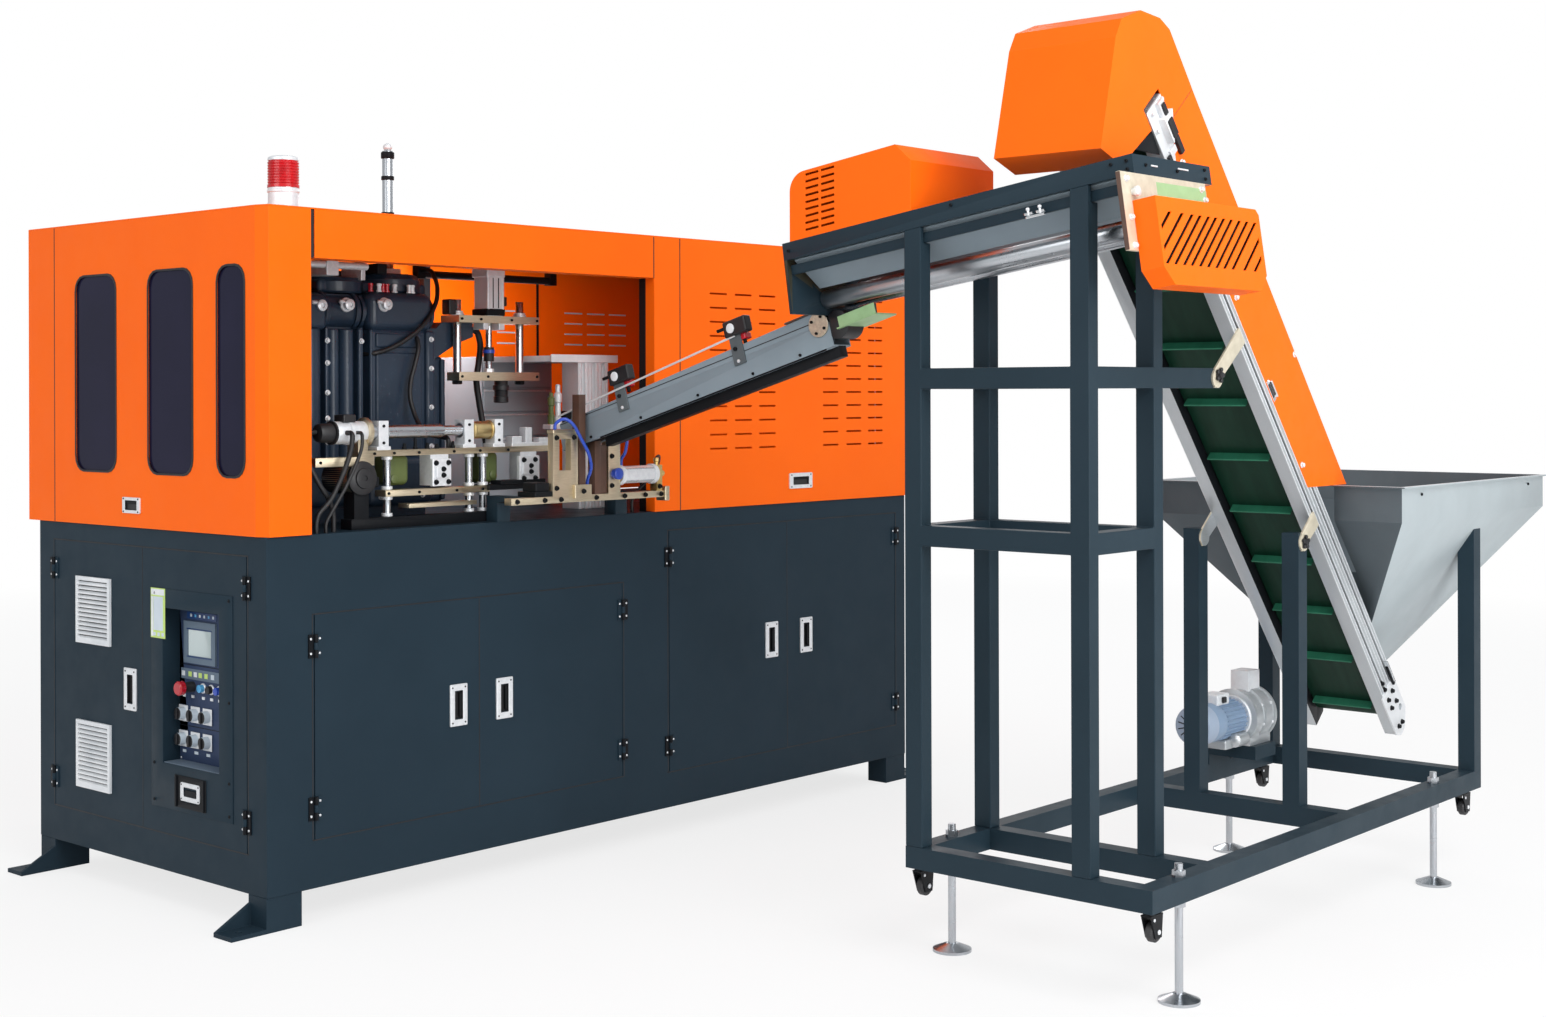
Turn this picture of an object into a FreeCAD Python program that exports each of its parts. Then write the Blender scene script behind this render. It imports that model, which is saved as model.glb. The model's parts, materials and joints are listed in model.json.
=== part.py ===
import FreeCAD, Part
import math
import os

# Automatic blow moulding machine with its preform elevator.
# Millimetres. X runs along the machine, Y across it to the back, Z up.
# Pieces are drawn from the corner of the cabinet at floor level, and are
# written about the centre of the four anchor holes in the feet.

V = FreeCAD.Vector
UP = V(0, 0, 1)
ALONG = V(1, 0, 0)
ACROSS = V(0, 1, 0)

# ---------------------------------------------------------------- machine body
CAB_L = 2804.0            # cabinet length
CAB_W = 1187.0            # cabinet width
CAB_Z0 = 94.0             # underside of the cabinet
DECK_Z = 1059.0           # top of the cabinet
TOP_Z = 1950.0            # top of the orange housing
WALL = 40.0               # depth of the welded cabinet walls
FLOOR_T = 20.0            # cabinet bottom and deck plates
HOUSE_OUT = 8.0           # housing stands this far out of the cabinet
HOUSE_BACK = 50.0         # and this far at the back
SHEET = 4.0               # housing sheet with its folded edge
SEAM = 3.0                # gap between housing panels

# feet
FOOT_POST = (113.0, 84.0)     # post size along X and Y
FOOT_INSET = 3.0              # post set in from the long side
FOOT_PLATE_T = 12.0
FOOT_REACH = 109.0            # plate beyond the end of the cabinet
GUSSET_T = 10.0
GUSSET_H = 60.0
ANCHOR_R = 9.0
ANCHOR_OUT = 62.0             # anchor hole beyond the end of the cabinet

# doors: seams of each pair, and heights
DOOR_T = 18.0
DOOR_SKIN = 3.0
DOOR_EDGE = 24.0
DOOR_GAP = 2.5
REBATE = 14.0
PAIR_1 = (155.0, 738.0, 1327.0)
PAIR_1_Z = (227.0, 840.0)
DOOR_FROM_END = 63.0
PAIR_2 = (1543.0, 2130.0, CAB_L - DOOR_FROM_END)
PAIR_2_Z = (210.0, 994.0)
END_PAIR = (93.0, 609.0, 1095.0)
END_PAIR_Z = (201.0, 1003.0)
HANDLE = (62.0, 120.0, 6.0)   # width, height and depth of the flush pulls
HANDLE_X = (657.0, 833.0, 2046.0, 2230.0)
HANDLE_END_Y = 671.0
HANDLE_Z = (534.0, 592.0, 590.0)

# hinges
HINGE_H = 64.0
HINGE_LEAF = 20.0
HINGE_T = 4.0
HINGE_R = 6.0                 # knuckle radius
PIN_R = 3.0
PIN_FIT = 0.05                # running clearance of the door on its pins
KNUCKLE_GAP = 1.0
HINGE_INSET = 85.0            # hinge centre from the ends of the door

# control panel in its recess
RECESS_Y = (221.0, 501.0)
RECESS_Z = (399.0, 838.0)
RECESS_D = 60.0
PANEL_T = 4.0
BEZEL = (314.0, 472.0, 681.0, 800.0)
SCREEN = (335.0, 451.0, 702.0, 776.0)
BEZEL_T = 6.0
SWITCH_Y = (357.0, 417.0, 477.0)
SWITCH_Z = (464.0, 536.0)
SWITCH_PLATE = 46.0
KNOB_R = 17.0
KNOB_H = 20.0
BUTTON_Y = (238.0, 272.0, 300.0, 340.0, 381.0)
BUTTON_Z = 614.0
BUTTON_R = 11.0
BUTTON_H = 16.0
STOP_Y = 434.0
STOP_R = 20.0
STOP_STEM_R = 9.0
STOP_H = 18.0
STOP_TRAVEL = 4.0
STOP_BASE_H = 30.0
PANEL_PULL = (152.0, 86.0, 6.0)
PANEL_PULL_AT = (361.0, 329.0)

# vents in the left door
VENT_Y = (777.0, 965.0)
VENT_Z = ((274.0, 474.0), (704.0, 902.0))
VENT_OUT = 8.0
VENT_RIM = 12.0
VENT_SLATS = 13
VENT_SLAT = (0.3, 0.8, 0.5)   # edges of a slat as shares of the pitch

# housing panels along the long side
COVER_BACK = 1081.0           # seam at the back of the end cover
COVER_RETURN = 141.0          # front return of the end cover
COVER_CHAMFER = (13.0, 45.0)
WINDOWS = ((84.0, 218.0), (335.0, 564.0), (733.0, 960.0))
WINDOW_Z = (1216.0, 1794.0)
WINDOW_R = 46.0
PANE_T = 5.0
PANE_LAP = 14.0
HEADER_X = (153.0, 1466.0)
HEADER_Z = 1813.0
HEADER_D = 60.0
PILLAR_X = (1469.0, 1587.0)
PILLAR_RETURN = 32.0
LOUVRE_X = 1590.0
SLOT_SHARES = (0.117, 0.2191, 0.3204, 0.6021, 0.71, 0.8138)   # places along the louvre panel
SLOT_COLUMNS = tuple(LOUVRE_X + share * (CAB_L - LOUVRE_X) for share in SLOT_SHARES)
SLOT_W = 85.0
SLOT_H = 6.0
SLOT_TOP = 1773.0
SLOT_PITCH = 47.0
SLOT_ROWS = 12
REAR_SLOTS = (1150.0, 1270.0, 1380.0)
REAR_SLOT_ROWS = 4
POST = 30.0                   # square tube of the housing frame
HANGER_X = 905.0              # hanger of the light rail
LIGHT_RAIL_Y = 500.0
LIGHT_RAIL_Z = 1823.0
LIGHT_RAIL_R = 12.5

# blow clamp
CLAMP_Y = (350.0, 950.0)
CASTING_Y = CLAMP_Y[0] + 30.0     # front of the castings, behind their bosses
CASTING_R = 20.0              # rounded upright edges of the castings
FIXED_X = (589.0, 845.0)
MOVING_X = (330.0, 582.0)
BACK_PLATEN_X = (130.0, 200.0)
BED_T = 40.0
PLATEN_TOP = 1740.0
BAR_R = 25.0
BAR_INSET = 58.0
BAR_Z = (1190.0, 1690.0)
BAR_FIT = 0.08
BOSS_R = 55.0
RAM_R = 40.0
RAM_Z = 1440.0
RIB = 34.0
POCKET = 34.0
WAIST = 0.35                  # cross rib of the casting, as a share from the top of its pockets
CROWN_X = (455.0, 870.0)
CROWN_Z = 1820.0
CROWN_Y = (495.0, 820.0)
NUT_R = 38.0
NUT_T = 30.0
STRETCH_X = 827.0
STRETCH_Y = 540.0
STRETCH_R = 17.0
STRETCH_TOP = 2210.0
STRETCH_FLANGE = (40.0, 16.0)

# preform pick-up unit
PICK_X = (933.0, 1269.0)
PICK_Y = 350.0
PICK_W = 60.0
PICK_BACK = 30.0              # top plate reaches further back, over its arm
PICK_ARM_GAP = 6.0            # arm clear of the rods and the clamp nut
PICK_TOP_Z = (1666.0, 1689.0)
PICK_LOW_Z = (1483.0, 1510.0)
PICK_RODS = (949.0, 1209.0)
PICK_ROD_R = 13.0
PICK_ROD_TOP = 1738.0
PICK_FIT = 0.08
PICK_CYL_X = 1079.0
PICK_CYL_W = 70.0
PICK_CYL_TOP = 1838.0
PISTON_R = 10.0
COUPLER_R = 17.0
COUPLER_Z = (1545.0, 1590.0)
GRIP_R = 22.0
GRIP_H = 70.0
GRIP_X = 1130.0
PICK_ARM_Z = 1600.0
PICK_ARM_X = 1030.0

# transfer unit in front of the clamp
TRANS_Y = 80.0
UPPER_RAIL = (386.0, 1095.0, 1264.0, 1281.0)
LOWER_RAIL = (440.0, 827.0, 1148.0, 1166.0)
RAIL_D = 50.0
TRANS_POSTS = (463.0, 767.0, 821.0)
TRANS_POST_R = 11.0
FOOT_BAR = (320.0, 860.0)
FOOT_BAR_T = 30.0
BLOCKS = ((418.0, 453.0), (734.0, 769.0), (851.0, 884.0))
BLOCK_TOP = 1365.0
BLOCK_D = 44.0
SHAFT_Z = 1333.0
SHAFT_R = 15.0
SHAFT_FIT = 0.05
ROLLER_X = (771.0, 849.0)
ROLLER_R = 26.0
GEARMOTOR_X = (273.0, 378.0)
GEARMOTOR_R = 32.0
MOTOR_CAP = (43.0, 24.0)      # length and radius of the end cap of the gearmotor
SIDE_MOTOR = (355.0, 1204.0)  # round motor under the upper rail
SIDE_MOTOR_R = 46.0
SIDE_MOTOR_Y = (60.0, 180.0)
SIDE_BLOCK = (330.0, 380.0)
LEFT_PLATE = (199.0, 400.0, 25.0)
LOW_PLATE = (514.0, 767.0, 1113.0, 1125.0)
LOW_PLATE_OUT = 12.0
MANIFOLDS = ((602.0, 669.0), (950.0, 1015.0))
MANIFOLD_Z = (1174.0, 1250.0)

# infeed station at the right of the opening
FEED_BAR = (740.0, 1388.0, 1116.0, 1136.0)
FEED_Y = (-142.0, -112.0)
FEED_LEG_X = (810.0, 1300.0)
GATE_X = (905.0, 1000.0)
GATE_Z = (1188.0, 1329.0)
GATE_W = 24.0
GATE_T = 24.0
GUIDE_BAR = (1010.0, 1036.0, 1438.0)
END_PLATE_X = (1132.0, 1182.0)
FEED_CYL_Z = 1190.0
FEED_CYL_R = 27.0
FEED_CYL_X = (1182.0, 1342.0)
FEED_END_W = 24.0
SADDLE_W = 26.0               # bar under the lower end of the chute
STAND_X = (1424.0, 1561.0)
STAND_Y = (300.0, 380.0)
STAND_TOP = 1546.0
STAND_PLATE = (1303.0, 1600.0, 20.0)
STAND_GROOVE = (16.0, 10.0, 3)  # width, depth and count of the grooves in its near face
HEATER_X = (1297.0, 1616.0)
HEATER_Y = (640.0, 900.0)
HEATER_Z = 1566.0

# interior cables and hoses
CABLE_R = 7.0
HOSE_R = 5.0
THICK_HOSE_R = 10.0
BEND_SHARE = 0.45               # of the shorter run at a corner, taken up by its arc

# beacon on the roof
BEACON_X = 101.0
BEACON_Y = 62.0
BEACON_R = 41.0
BEACON_BASE_H = 54.0
BEACON_LENS_H = 75.0
BEACON_CAP_H = 7.0
BEACON_RIM = 2.0
BEACON_RIM_H = 8.0
BEACON_LENS_SET = 1.0
BEACON_TAPER = 12.0

# ---------------------------------------------------------------- elevator
TUBE = 50.0                   # square tube of the elevator frames
BASE_X = (905.0, 2844.0)
BASE_Y = (-2156.0, -1447.0)
BASE_Z = (241.0, 296.0)
TOWER_X = (905.0, 1247.0)
TOWER_FAR_Y = -1447.0
COLUMN = (43.0, 52.0)
RINGS_Z = ((1055.0, 1107.0), (1450.0, 1502.0))
RING_ARM_X = 1540.0
SHORT_POST_X = 1978.0
SHORT_POST_TOP = 1050.0
LUG_T = 6.0

# castors and levelling feet
CASTOR_X = (932.0, 2751.0)
CASTOR_Y = (-2131.0, -1472.0)
FORK_T = 3.0
FORK_IN = 14.0
FORK_CLEAR = 1.0                # on each side of the wheel
CROWN_SHARE = 0.8               # of the wheel radius, covered by the top of the fork
WHEEL_R = 25.0
WHEEL_W = 20.0
WHEEL_OFFSET = 20.0
AXLE_R = 4.0
AXLE_FIT = 0.05
SWIVEL_R = 14.0
SWIVEL_T = 8.0
WHEEL_DROP = 42.0
LEVEL_X = (1069.0, 2548.0)
LEVEL_ROD_R = 10.0
PAD_R = 50.0
PAD_T = 14.0
LEVEL_NUT_R = 16.0
LEVEL_NUT_T = 16.0

# inclined conveyor: u runs up the slope, n square to it to the hopper side
INCLINE = math.radians(49.5)
FOOT_X = 2625.0
FOOT_Z = 410.0
CONV_Y = (-1990.0, -1690.0)
RAIL_W = 40.0
RAIL_N = 90.0
CONV_U = 2250.0
TAIL_PLATE_U = 165.0
HEAD_PLATE_L = 250.0
SIDE_PLATE_T = 5.0
SIDE_PLATE_OUT = 12.0
TAKE_UP = (70.0, 52.0, 20.0)  # bearing block along, across and out of the profile
GROOVE = 9.0
GROOVE_D = 6.0
GROOVES_N = (22.5, 67.5)
DRUM_R = 26.0
DRUM_N = 60.0
DRUM_SHAFT_R = 10.0
DRUM_FIT = 0.05
TAIL_U = 60.0
HEAD_SET = 78.0               # head drum in from the ends of the profiles
HEAD_U = CONV_U - HEAD_SET
BELT_T = 3.0
BED_SET = 272.0               # last bed short of the head drum
BED_U = (300.0, 1100.0, HEAD_U - BED_SET)   # beds between the profiles that the belt slides on
BED_W = 40.0
BELT_SIDE = 5.0               # belt to rail, each side
DRUM_GAP = 0.4                # belt to drum
CLEAT_PITCH = 200.0
CLEAT_FIRST = 100.0
CLEAT_H = 26.0
CLEAT_T = 5.0
CLEAT_INSET = 12.0

# guard over the conveyor and the discharge hood
GUARD_Z = 1175.0
GUARD_N = 230.0
GUARD_FOLD = 45.0
GUARD_U1 = CONV_U - 82.0
GUARD_T = 3.0
HOOD_T = 3.0
HOOD_CLEAR = 14.0             # hood clear of the ends of the profiles
HOOD_PROFILE = ((-207.7, -102.9), (-139.7, 169.1), (-112.0, 218.0), (-24.0, 250.1), (69.3, 244.1),
                (116.3, 222.1))
HOOD_LIP = (-113.8, -135.9)     # end of the folded underside of the hood
HOOD_NOTCH = 46.0               # cheek cut back this far from the ends of the profiles

# hopper
HOP_X = (2200.0, 3270.0)
HOP_Y = (-2190.0, -1413.0)
HOP_RIM = 1175.0
HOP_BAND = 1075.0
HOP_T = 4.0
HOP_OUT_X = (2640.0, 2825.0)
HOP_OUT_Z = 590.0
HOP_OUT_HALF = 54.0
HOP_LIP = 14.0

# sorting tray, tilted down towards the machine
TILT = math.radians(8.2)
TRAY_X = (905.0, 1270.0)
TRAY_NEAR = (-2107.0, 1992.0)
TRAY_LEN = 1078.0
BAND_H = 46.0
BAND_T = 20.0
STRINGER = (-60.0, -85.0)
STRINGER_SET = 15.0
ROLL_X = (1048.5, 1126.5)
ROLL_R = 25.0
ROLL_DROP = 148.0
ROLL_SHAFT_R = 8.0
ROLL_FIT = 0.05
END_PLATE_T = 10.0
NEAR_PLATE = (840.0, 1235.0, 230.0)   # ends and foot of the plate at the near end of the tray
FAR_PLATE_LOW = 190.0
COVER_X = (880.0, 1375.0)
COVER_TOP = -113.0
COVER_H = 205.0
COVER_D = 60.0
COVER_T = 3.0
COVER_CORNER = 40.0
COVER_SLOT_FEET = (-95.0, -38.0, 9.0, 47.0, 87.0, 122.0, 161.0, 199.0, 239.0, 277.0, 318.0, 376.0, 429.0)
COVER_SLOT_W = 14.0             # along the cover
COVER_SLOT_X = (11.0, 480.0)    # slots are cut off at these places along the cover
COVER_SLOT_Z = (48.0, 171.0)    # and at these heights from its foot
COVER_SLOT_LEAN = math.radians(40)
VENT_HOOD_Y = (27.0, 433.0)     # from the far end of the tray, along it
VENT_HOOD_H = 177.0
VENT_HOOD_CORNER = 50.0
HOOD_SLOT = (46.0, 6.0, 18.0)   # length, height and pitch of the slots
HOOD_SLOT_ROWS = 9
HOOD_SLOT_FIRST = 18.0
HOOD_SLOT_FROM = (155.0, 101.0)
VENT_HOOD_ROUND = 55.0          # rounded top corner at the far end

# chute from the tray to the machine
CHUTE_X = 1087.5
CHUTE_HALF = 37.5
CHUTE_T = 4.0
CHUTE_A = (-10.0, 1330.0)
CHUTE_B = (-1080.0, 1633.0)
CHUTE_H = 67.0
CHUTE_BAR = 30.0              # square bar under the chute
CHUTE_BAR_END = 165.0         # bar ends short of the lower end

# blower
BLOWER_Y = -1574.0
BLOWER_X = 2186.0
BLOWER_MOTOR_R = 54.0
BLOWER_MOTOR_L = 190.0
BLOWER_HOUSE_R = 78.0
BLOWER_HOUSE_L = 130.0
BLOWER_BOX = (50.0, 120.0, 30.0, 56.0)   # terminal box: ends, half width and rise over the housing
BLOWER_FOOT = 60.0                       # half width of its foot
SHELF_TOP = 368.0
SHELF_T = 40.0
BLOWER_RING = (10.0, 6.0)       # width and height of the rings on the housing
BLOWER_RINGS = 3
FAN_COVER = (55.0, 5.0)         # length and extra radius of the fan cover


# ---------------------------------------------------------------- helpers
def box(x0, x1, y0, y1, z0, z1):
    return Part.makeBox(x1 - x0, y1 - y0, z1 - z0, V(x0, y0, z0))


def rod(x, y, z, axis, radius, length):
    return Part.makeCylinder(radius, length, V(x, y, z), axis)


def face_of(points):
    return Part.Face(Part.makePolygon(points + [points[0]]))


def prism_y(outline, y0, y1):
    """Outline of (x, z) points carried from y0 to y1."""
    return face_of([V(x, y0, z) for x, z in outline]).extrude(V(0, y1 - y0, 0))


def prism_x(outline, x0, x1):
    """Outline of (y, z) points carried from x0 to x1."""
    return face_of([V(x0, y, z) for y, z in outline]).extrude(V(x1 - x0, 0, 0))


def prism_z(outline, z0, z1):
    """Outline of (x, y) points carried from z0 to z1."""
    return face_of([V(x, y, z0) for x, y in outline]).extrude(V(0, 0, z1 - z0))


def fuse(shapes):
    first = shapes[0]
    if len(shapes) == 1:
        return first
    return first.multiFuse(shapes[1:]).removeSplitter()


def cut(shape, tools):
    return shape.cut(Part.makeCompound(tools))


def group(shapes):
    return Part.makeCompound(shapes)


def turned(shape, centre, axis, degrees):
    copy = shape.copy()
    copy.rotate(centre, axis, degrees)
    return copy


def mirrored_x(shape):
    return shape.mirror(V(CAB_L / 2, 0, 0), ALONG)


def mirrored_y(shape, y):
    return shape.mirror(V(0, y, 0), ACROSS)


def save(name, shape):
    placed = shape.copy()
    placed.translate(V(-CAB_L / 2, -CAB_W / 2, 0))
    placed.exportStep("parts/" + name + ".step")
    print(name, len(placed.Solids), placed.isValid(), round(placed.Volume / 1000))


# ---------------------------------------------------------------- cabinet
def door_opening(lo, hi, z):
    """Rebated opening in the long front wall, for a leaf or a pair of leaves."""
    leaf = box(lo - DOOR_GAP, hi + DOOR_GAP, 0, DOOR_T + DOOR_GAP, z[0] - DOOR_GAP, z[1] + DOOR_GAP)
    through = box(lo + REBATE, hi - REBATE, 0, WALL, z[0] + REBATE, z[1] - REBATE)
    return [leaf, through]


def end_opening():
    lo, meet, hi = END_PAIR
    z = END_PAIR_Z
    leaf = box(0, DOOR_T + DOOR_GAP, lo - DOOR_GAP, hi + DOOR_GAP, z[0] - DOOR_GAP, z[1] + DOOR_GAP)
    through = box(0, WALL, lo + REBATE, hi - REBATE, z[0] + REBATE, z[1] - REBATE)
    return [leaf, through]


def base_cabinet():
    shell = box(0, CAB_L, 0, CAB_W, CAB_Z0, DECK_Z)
    inside = box(WALL, CAB_L - WALL, WALL, CAB_W - WALL, CAB_Z0 + FLOOR_T, DECK_Z - FLOOR_T)
    tools = [inside]
    tools += door_opening(PAIR_1[0], PAIR_1[2], PAIR_1_Z)
    tools += door_opening(PAIR_2[0], PAIR_2[2], PAIR_2_Z)
    tools += end_opening()
    return cut(shell, tools)


def floor_feet():
    px, py = FOOT_POST
    y0 = FOOT_INSET
    post = box(0, px, y0, y0 + py, FOOT_PLATE_T, CAB_Z0)
    plate = box(-FOOT_REACH, px, y0, y0 + py, 0, FOOT_PLATE_T)
    rise = FOOT_PLATE_T + GUSSET_H
    gusset = prism_y([(-FOOT_REACH, FOOT_PLATE_T), (0, FOOT_PLATE_T), (0, rise)],
                     y0 + py - GUSSET_T, y0 + py)
    hole = rod(-ANCHOR_OUT, y0 + py / 2 - GUSSET_T / 2, 0, UP, ANCHOR_R, FOOT_PLATE_T)
    near = fuse([post, plate, gusset]).cut(hole)
    far = mirrored_y(near, CAB_W / 2)
    return group([near, far, mirrored_x(near), mirrored_x(far)])


# ---------------------------------------------------------------- doors
def leaf(lo, hi, z, pull_x, pull_z, hinge_at_low, pull=HANDLE):
    """Door leaf in the long front wall, with its pull pocket and its hinge halves."""
    x0 = lo + (0 if hinge_at_low else DOOR_GAP / 2)
    x1 = hi - (DOOR_GAP / 2 if hinge_at_low else 0)
    body = box(x0, x1, 0, DOOR_T, z[0], z[1])
    pan = box(x0 + DOOR_EDGE, x1 - DOOR_EDGE, DOOR_SKIN, DOOR_T, z[0] + DOOR_EDGE, z[1] - DOOR_EDGE)
    body = body.cut(pan)
    w, h, d = pull
    frame = box(pull_x - w / 2, pull_x + w / 2, -DOOR_SKIN, DOOR_T - 2 * DOOR_SKIN,
                pull_z - h / 2, pull_z + h / 2)
    pocket = box(pull_x - w / 4, pull_x + w / 4, -DOOR_SKIN, d, pull_z - h / 3, pull_z + h / 3)
    body = fuse([body, frame]).cut(pocket)
    edge = lo if hinge_at_low else hi
    side = 1 if hinge_at_low else -1
    for centre in hinge_heights(z):
        body = add_door_knuckle(body, edge, side, centre)
    return body


def hinge_heights(z):
    return (z[0] + HINGE_INSET, z[1] - HINGE_INSET)


def add_door_knuckle(body, edge, side, centre):
    """Leaf and middle knuckle of a hinge, bored for its pin, on a door edge."""
    third = HINGE_H / 3
    reach = sorted((edge, edge + side * HINGE_LEAF))
    flap = box(reach[0], reach[1], -HINGE_T, 0, centre - HINGE_H / 2, centre + HINGE_H / 2)
    relief = [rod(edge, -HINGE_R, centre + third / 2, UP, HINGE_R + KNUCKLE_GAP, third),
              rod(edge, -HINGE_R, centre - 1.5 * third, UP, HINGE_R + KNUCKLE_GAP, third)]
    knuckle = rod(edge, -HINGE_R, centre - third / 2 + KNUCKLE_GAP, UP, HINGE_R, third - 2 * KNUCKLE_GAP)
    bore = rod(edge, -HINGE_R, centre - HINGE_H, UP, PIN_R + PIN_FIT, 2 * HINGE_H)
    added = fuse([cut(flap, relief), knuckle]).cut(bore)
    return fuse([body, added])


def frame_hinge(edge, side, centre):
    """Fixed leaf, outer knuckles and pin of one hinge."""
    third = HINGE_H / 3
    reach = sorted((edge - side * (DOOR_GAP + HINGE_LEAF), edge - side * DOOR_GAP))
    flap = box(reach[0], reach[1], -HINGE_T, 0, centre - HINGE_H / 2, centre + HINGE_H / 2)
    relief = rod(edge, -HINGE_R, centre - third / 2, UP, HINGE_R + KNUCKLE_GAP, third)
    arm = sorted((edge - side * DOOR_GAP, edge))
    pieces = [flap.cut(relief), rod(edge, -HINGE_R, centre - HINGE_H / 2, UP, PIN_R, HINGE_H)]
    for low in (centre - HINGE_H / 2, centre + third / 2):
        pieces.append(rod(edge, -HINGE_R, low, UP, HINGE_R, third))
        pieces.append(box(arm[0], arm[1], -HINGE_T, -HINGE_T / 4, low, low + third))
    return fuse(pieces)


def to_end_face(shape):
    """Turns a piece drawn on the long front wall on to the end wall at X 0."""
    return turned(shape, V(0, 0, 0), UP, -90)


def end_leaf(lo, hi, z, pull_y, pull_z, hinge_at_low, pull=HANDLE):
    """An end door is drawn like a front one, along -Y, and turned on to the end wall."""
    flat = leaf(-hi, -lo, z, -pull_y, pull_z, not hinge_at_low, pull)
    return to_end_face(flat)


def door_hinges():
    made = []
    for edge, side, z in ((PAIR_1[0], 1, PAIR_1_Z), (PAIR_1[2], -1, PAIR_1_Z),
                          (PAIR_2[0], 1, PAIR_2_Z), (PAIR_2[2], -1, PAIR_2_Z)):
        made += [frame_hinge(edge, side, centre) for centre in hinge_heights(z)]
    for edge, side in ((-END_PAIR[2], 1), (-END_PAIR[0], -1)):
        made += [to_end_face(frame_hinge(edge, side, centre)) for centre in hinge_heights(END_PAIR_Z)]
    return group(made)


def left_end_door():
    door = end_leaf(END_PAIR[1], END_PAIR[2], END_PAIR_Z, HANDLE_END_Y, HANDLE_Z[2], False)
    holes = [box(0, DOOR_T, VENT_Y[0] + VENT_RIM, VENT_Y[1] - VENT_RIM, z[0] + VENT_RIM, z[1] - VENT_RIM)
             for z in VENT_Z]
    return cut(door, holes)


def vent_grilles():
    made = []
    for z0, z1 in VENT_Z:
        rim = box(-VENT_OUT, 0, VENT_Y[0], VENT_Y[1], z0, z1)
        inner = box(-VENT_OUT, 0, VENT_Y[0] + VENT_RIM, VENT_Y[1] - VENT_RIM, z0 + VENT_RIM, z1 - VENT_RIM)
        pieces = [rim.cut(inner)]
        pitch = (z1 - z0 - 2 * VENT_RIM) / VENT_SLATS
        for row in range(VENT_SLATS):
            low = z0 + VENT_RIM + row * pitch
            slat = [(-VENT_OUT, low), (-VENT_OUT, low + VENT_SLAT[0] * pitch),
                    (0, low + VENT_SLAT[1] * pitch), (0, low + VENT_SLAT[2] * pitch)]
            across = [(V(x, VENT_Y[0] + VENT_RIM, z)) for x, z in slat]
            pieces.append(face_of(across).extrude(V(0, VENT_Y[1] - VENT_Y[0] - 2 * VENT_RIM, 0)))
        made.append(fuse(pieces))
    return group(made)


def control_door():
    door = end_leaf(END_PAIR[0], END_PAIR[1], END_PAIR_Z, PANEL_PULL_AT[0], PANEL_PULL_AT[1], True,
                    PANEL_PULL)
    well = box(0, RECESS_D, RECESS_Y[0] - DOOR_SKIN, RECESS_Y[1] + DOOR_SKIN,
               RECESS_Z[0] - DOOR_SKIN, RECESS_Z[1] + DOOR_SKIN)
    hollow = box(0, RECESS_D - DOOR_SKIN, RECESS_Y[0], RECESS_Y[1], RECESS_Z[0], RECESS_Z[1])
    return fuse([door, well]).cut(hollow)


def control_panel():
    """Console plate with the screen, buttons and cam switches, at the back of the recess."""
    back = RECESS_D - DOOR_SKIN
    face = back - PANEL_T
    pieces = [box(face, back, RECESS_Y[0], RECESS_Y[1], RECESS_Z[0], RECESS_Z[1])]
    pieces.append(box(face - BEZEL_T, face, BEZEL[0], BEZEL[1], BEZEL[2], BEZEL[3]))
    half = SWITCH_PLATE / 2
    for y in SWITCH_Y:
        for z in SWITCH_Z:
            pieces.append(box(face - PANEL_T, face, y - half, min(y + half, RECESS_Y[1]), z - half, z + half))
            pieces.append(rod(face - PANEL_T, y, z, -ALONG, KNOB_R, KNOB_H))
    for y in BUTTON_Y:
        pieces.append(rod(face, y, BUTTON_Z, -ALONG, BUTTON_R, BUTTON_H))
    bore = rod(face, STOP_Y, BUTTON_Z, -ALONG, STOP_STEM_R + AXLE_FIT, STOP_BASE_H)
    pieces.append(rod(face, STOP_Y, BUTTON_Z, -ALONG, STOP_STEM_R + 3 * PANEL_T / 2, STOP_BASE_H))
    screen = box(face - BEZEL_T, face - BEZEL_T / 2, SCREEN[0], SCREEN[1], SCREEN[2], SCREEN[3])
    return cut(fuse(pieces), [screen, bore])


def emergency_stop():
    face = RECESS_D - DOOR_SKIN - PANEL_T
    head_x = face - STOP_BASE_H - STOP_TRAVEL
    stem = rod(face - STOP_TRAVEL, STOP_Y, BUTTON_Z, -ALONG, STOP_STEM_R, STOP_BASE_H)
    head = rod(head_x, STOP_Y, BUTTON_Z, -ALONG, STOP_R, STOP_H)
    head = head.makeChamfer(STOP_H / 5, [edge for edge in head.Edges
                                         if abs(edge.BoundBox.XMin - head.BoundBox.XMin) < PIN_FIT
                                         and edge.BoundBox.XLength < PIN_FIT])
    return fuse([stem, head])


# ---------------------------------------------------------------- housing
def rounded_window(x0, x1, y0, y1, z0, z1, radius):
    block = box(x0, x1, y0, y1, z0, z1)
    edges = [edge for edge in block.Edges if edge.BoundBox.XLength > (x1 - x0) / 2
             and edge.BoundBox.YLength < SHEET / 4 and edge.BoundBox.ZLength < SHEET / 4]
    return block.makeFillet(radius, edges)


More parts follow.
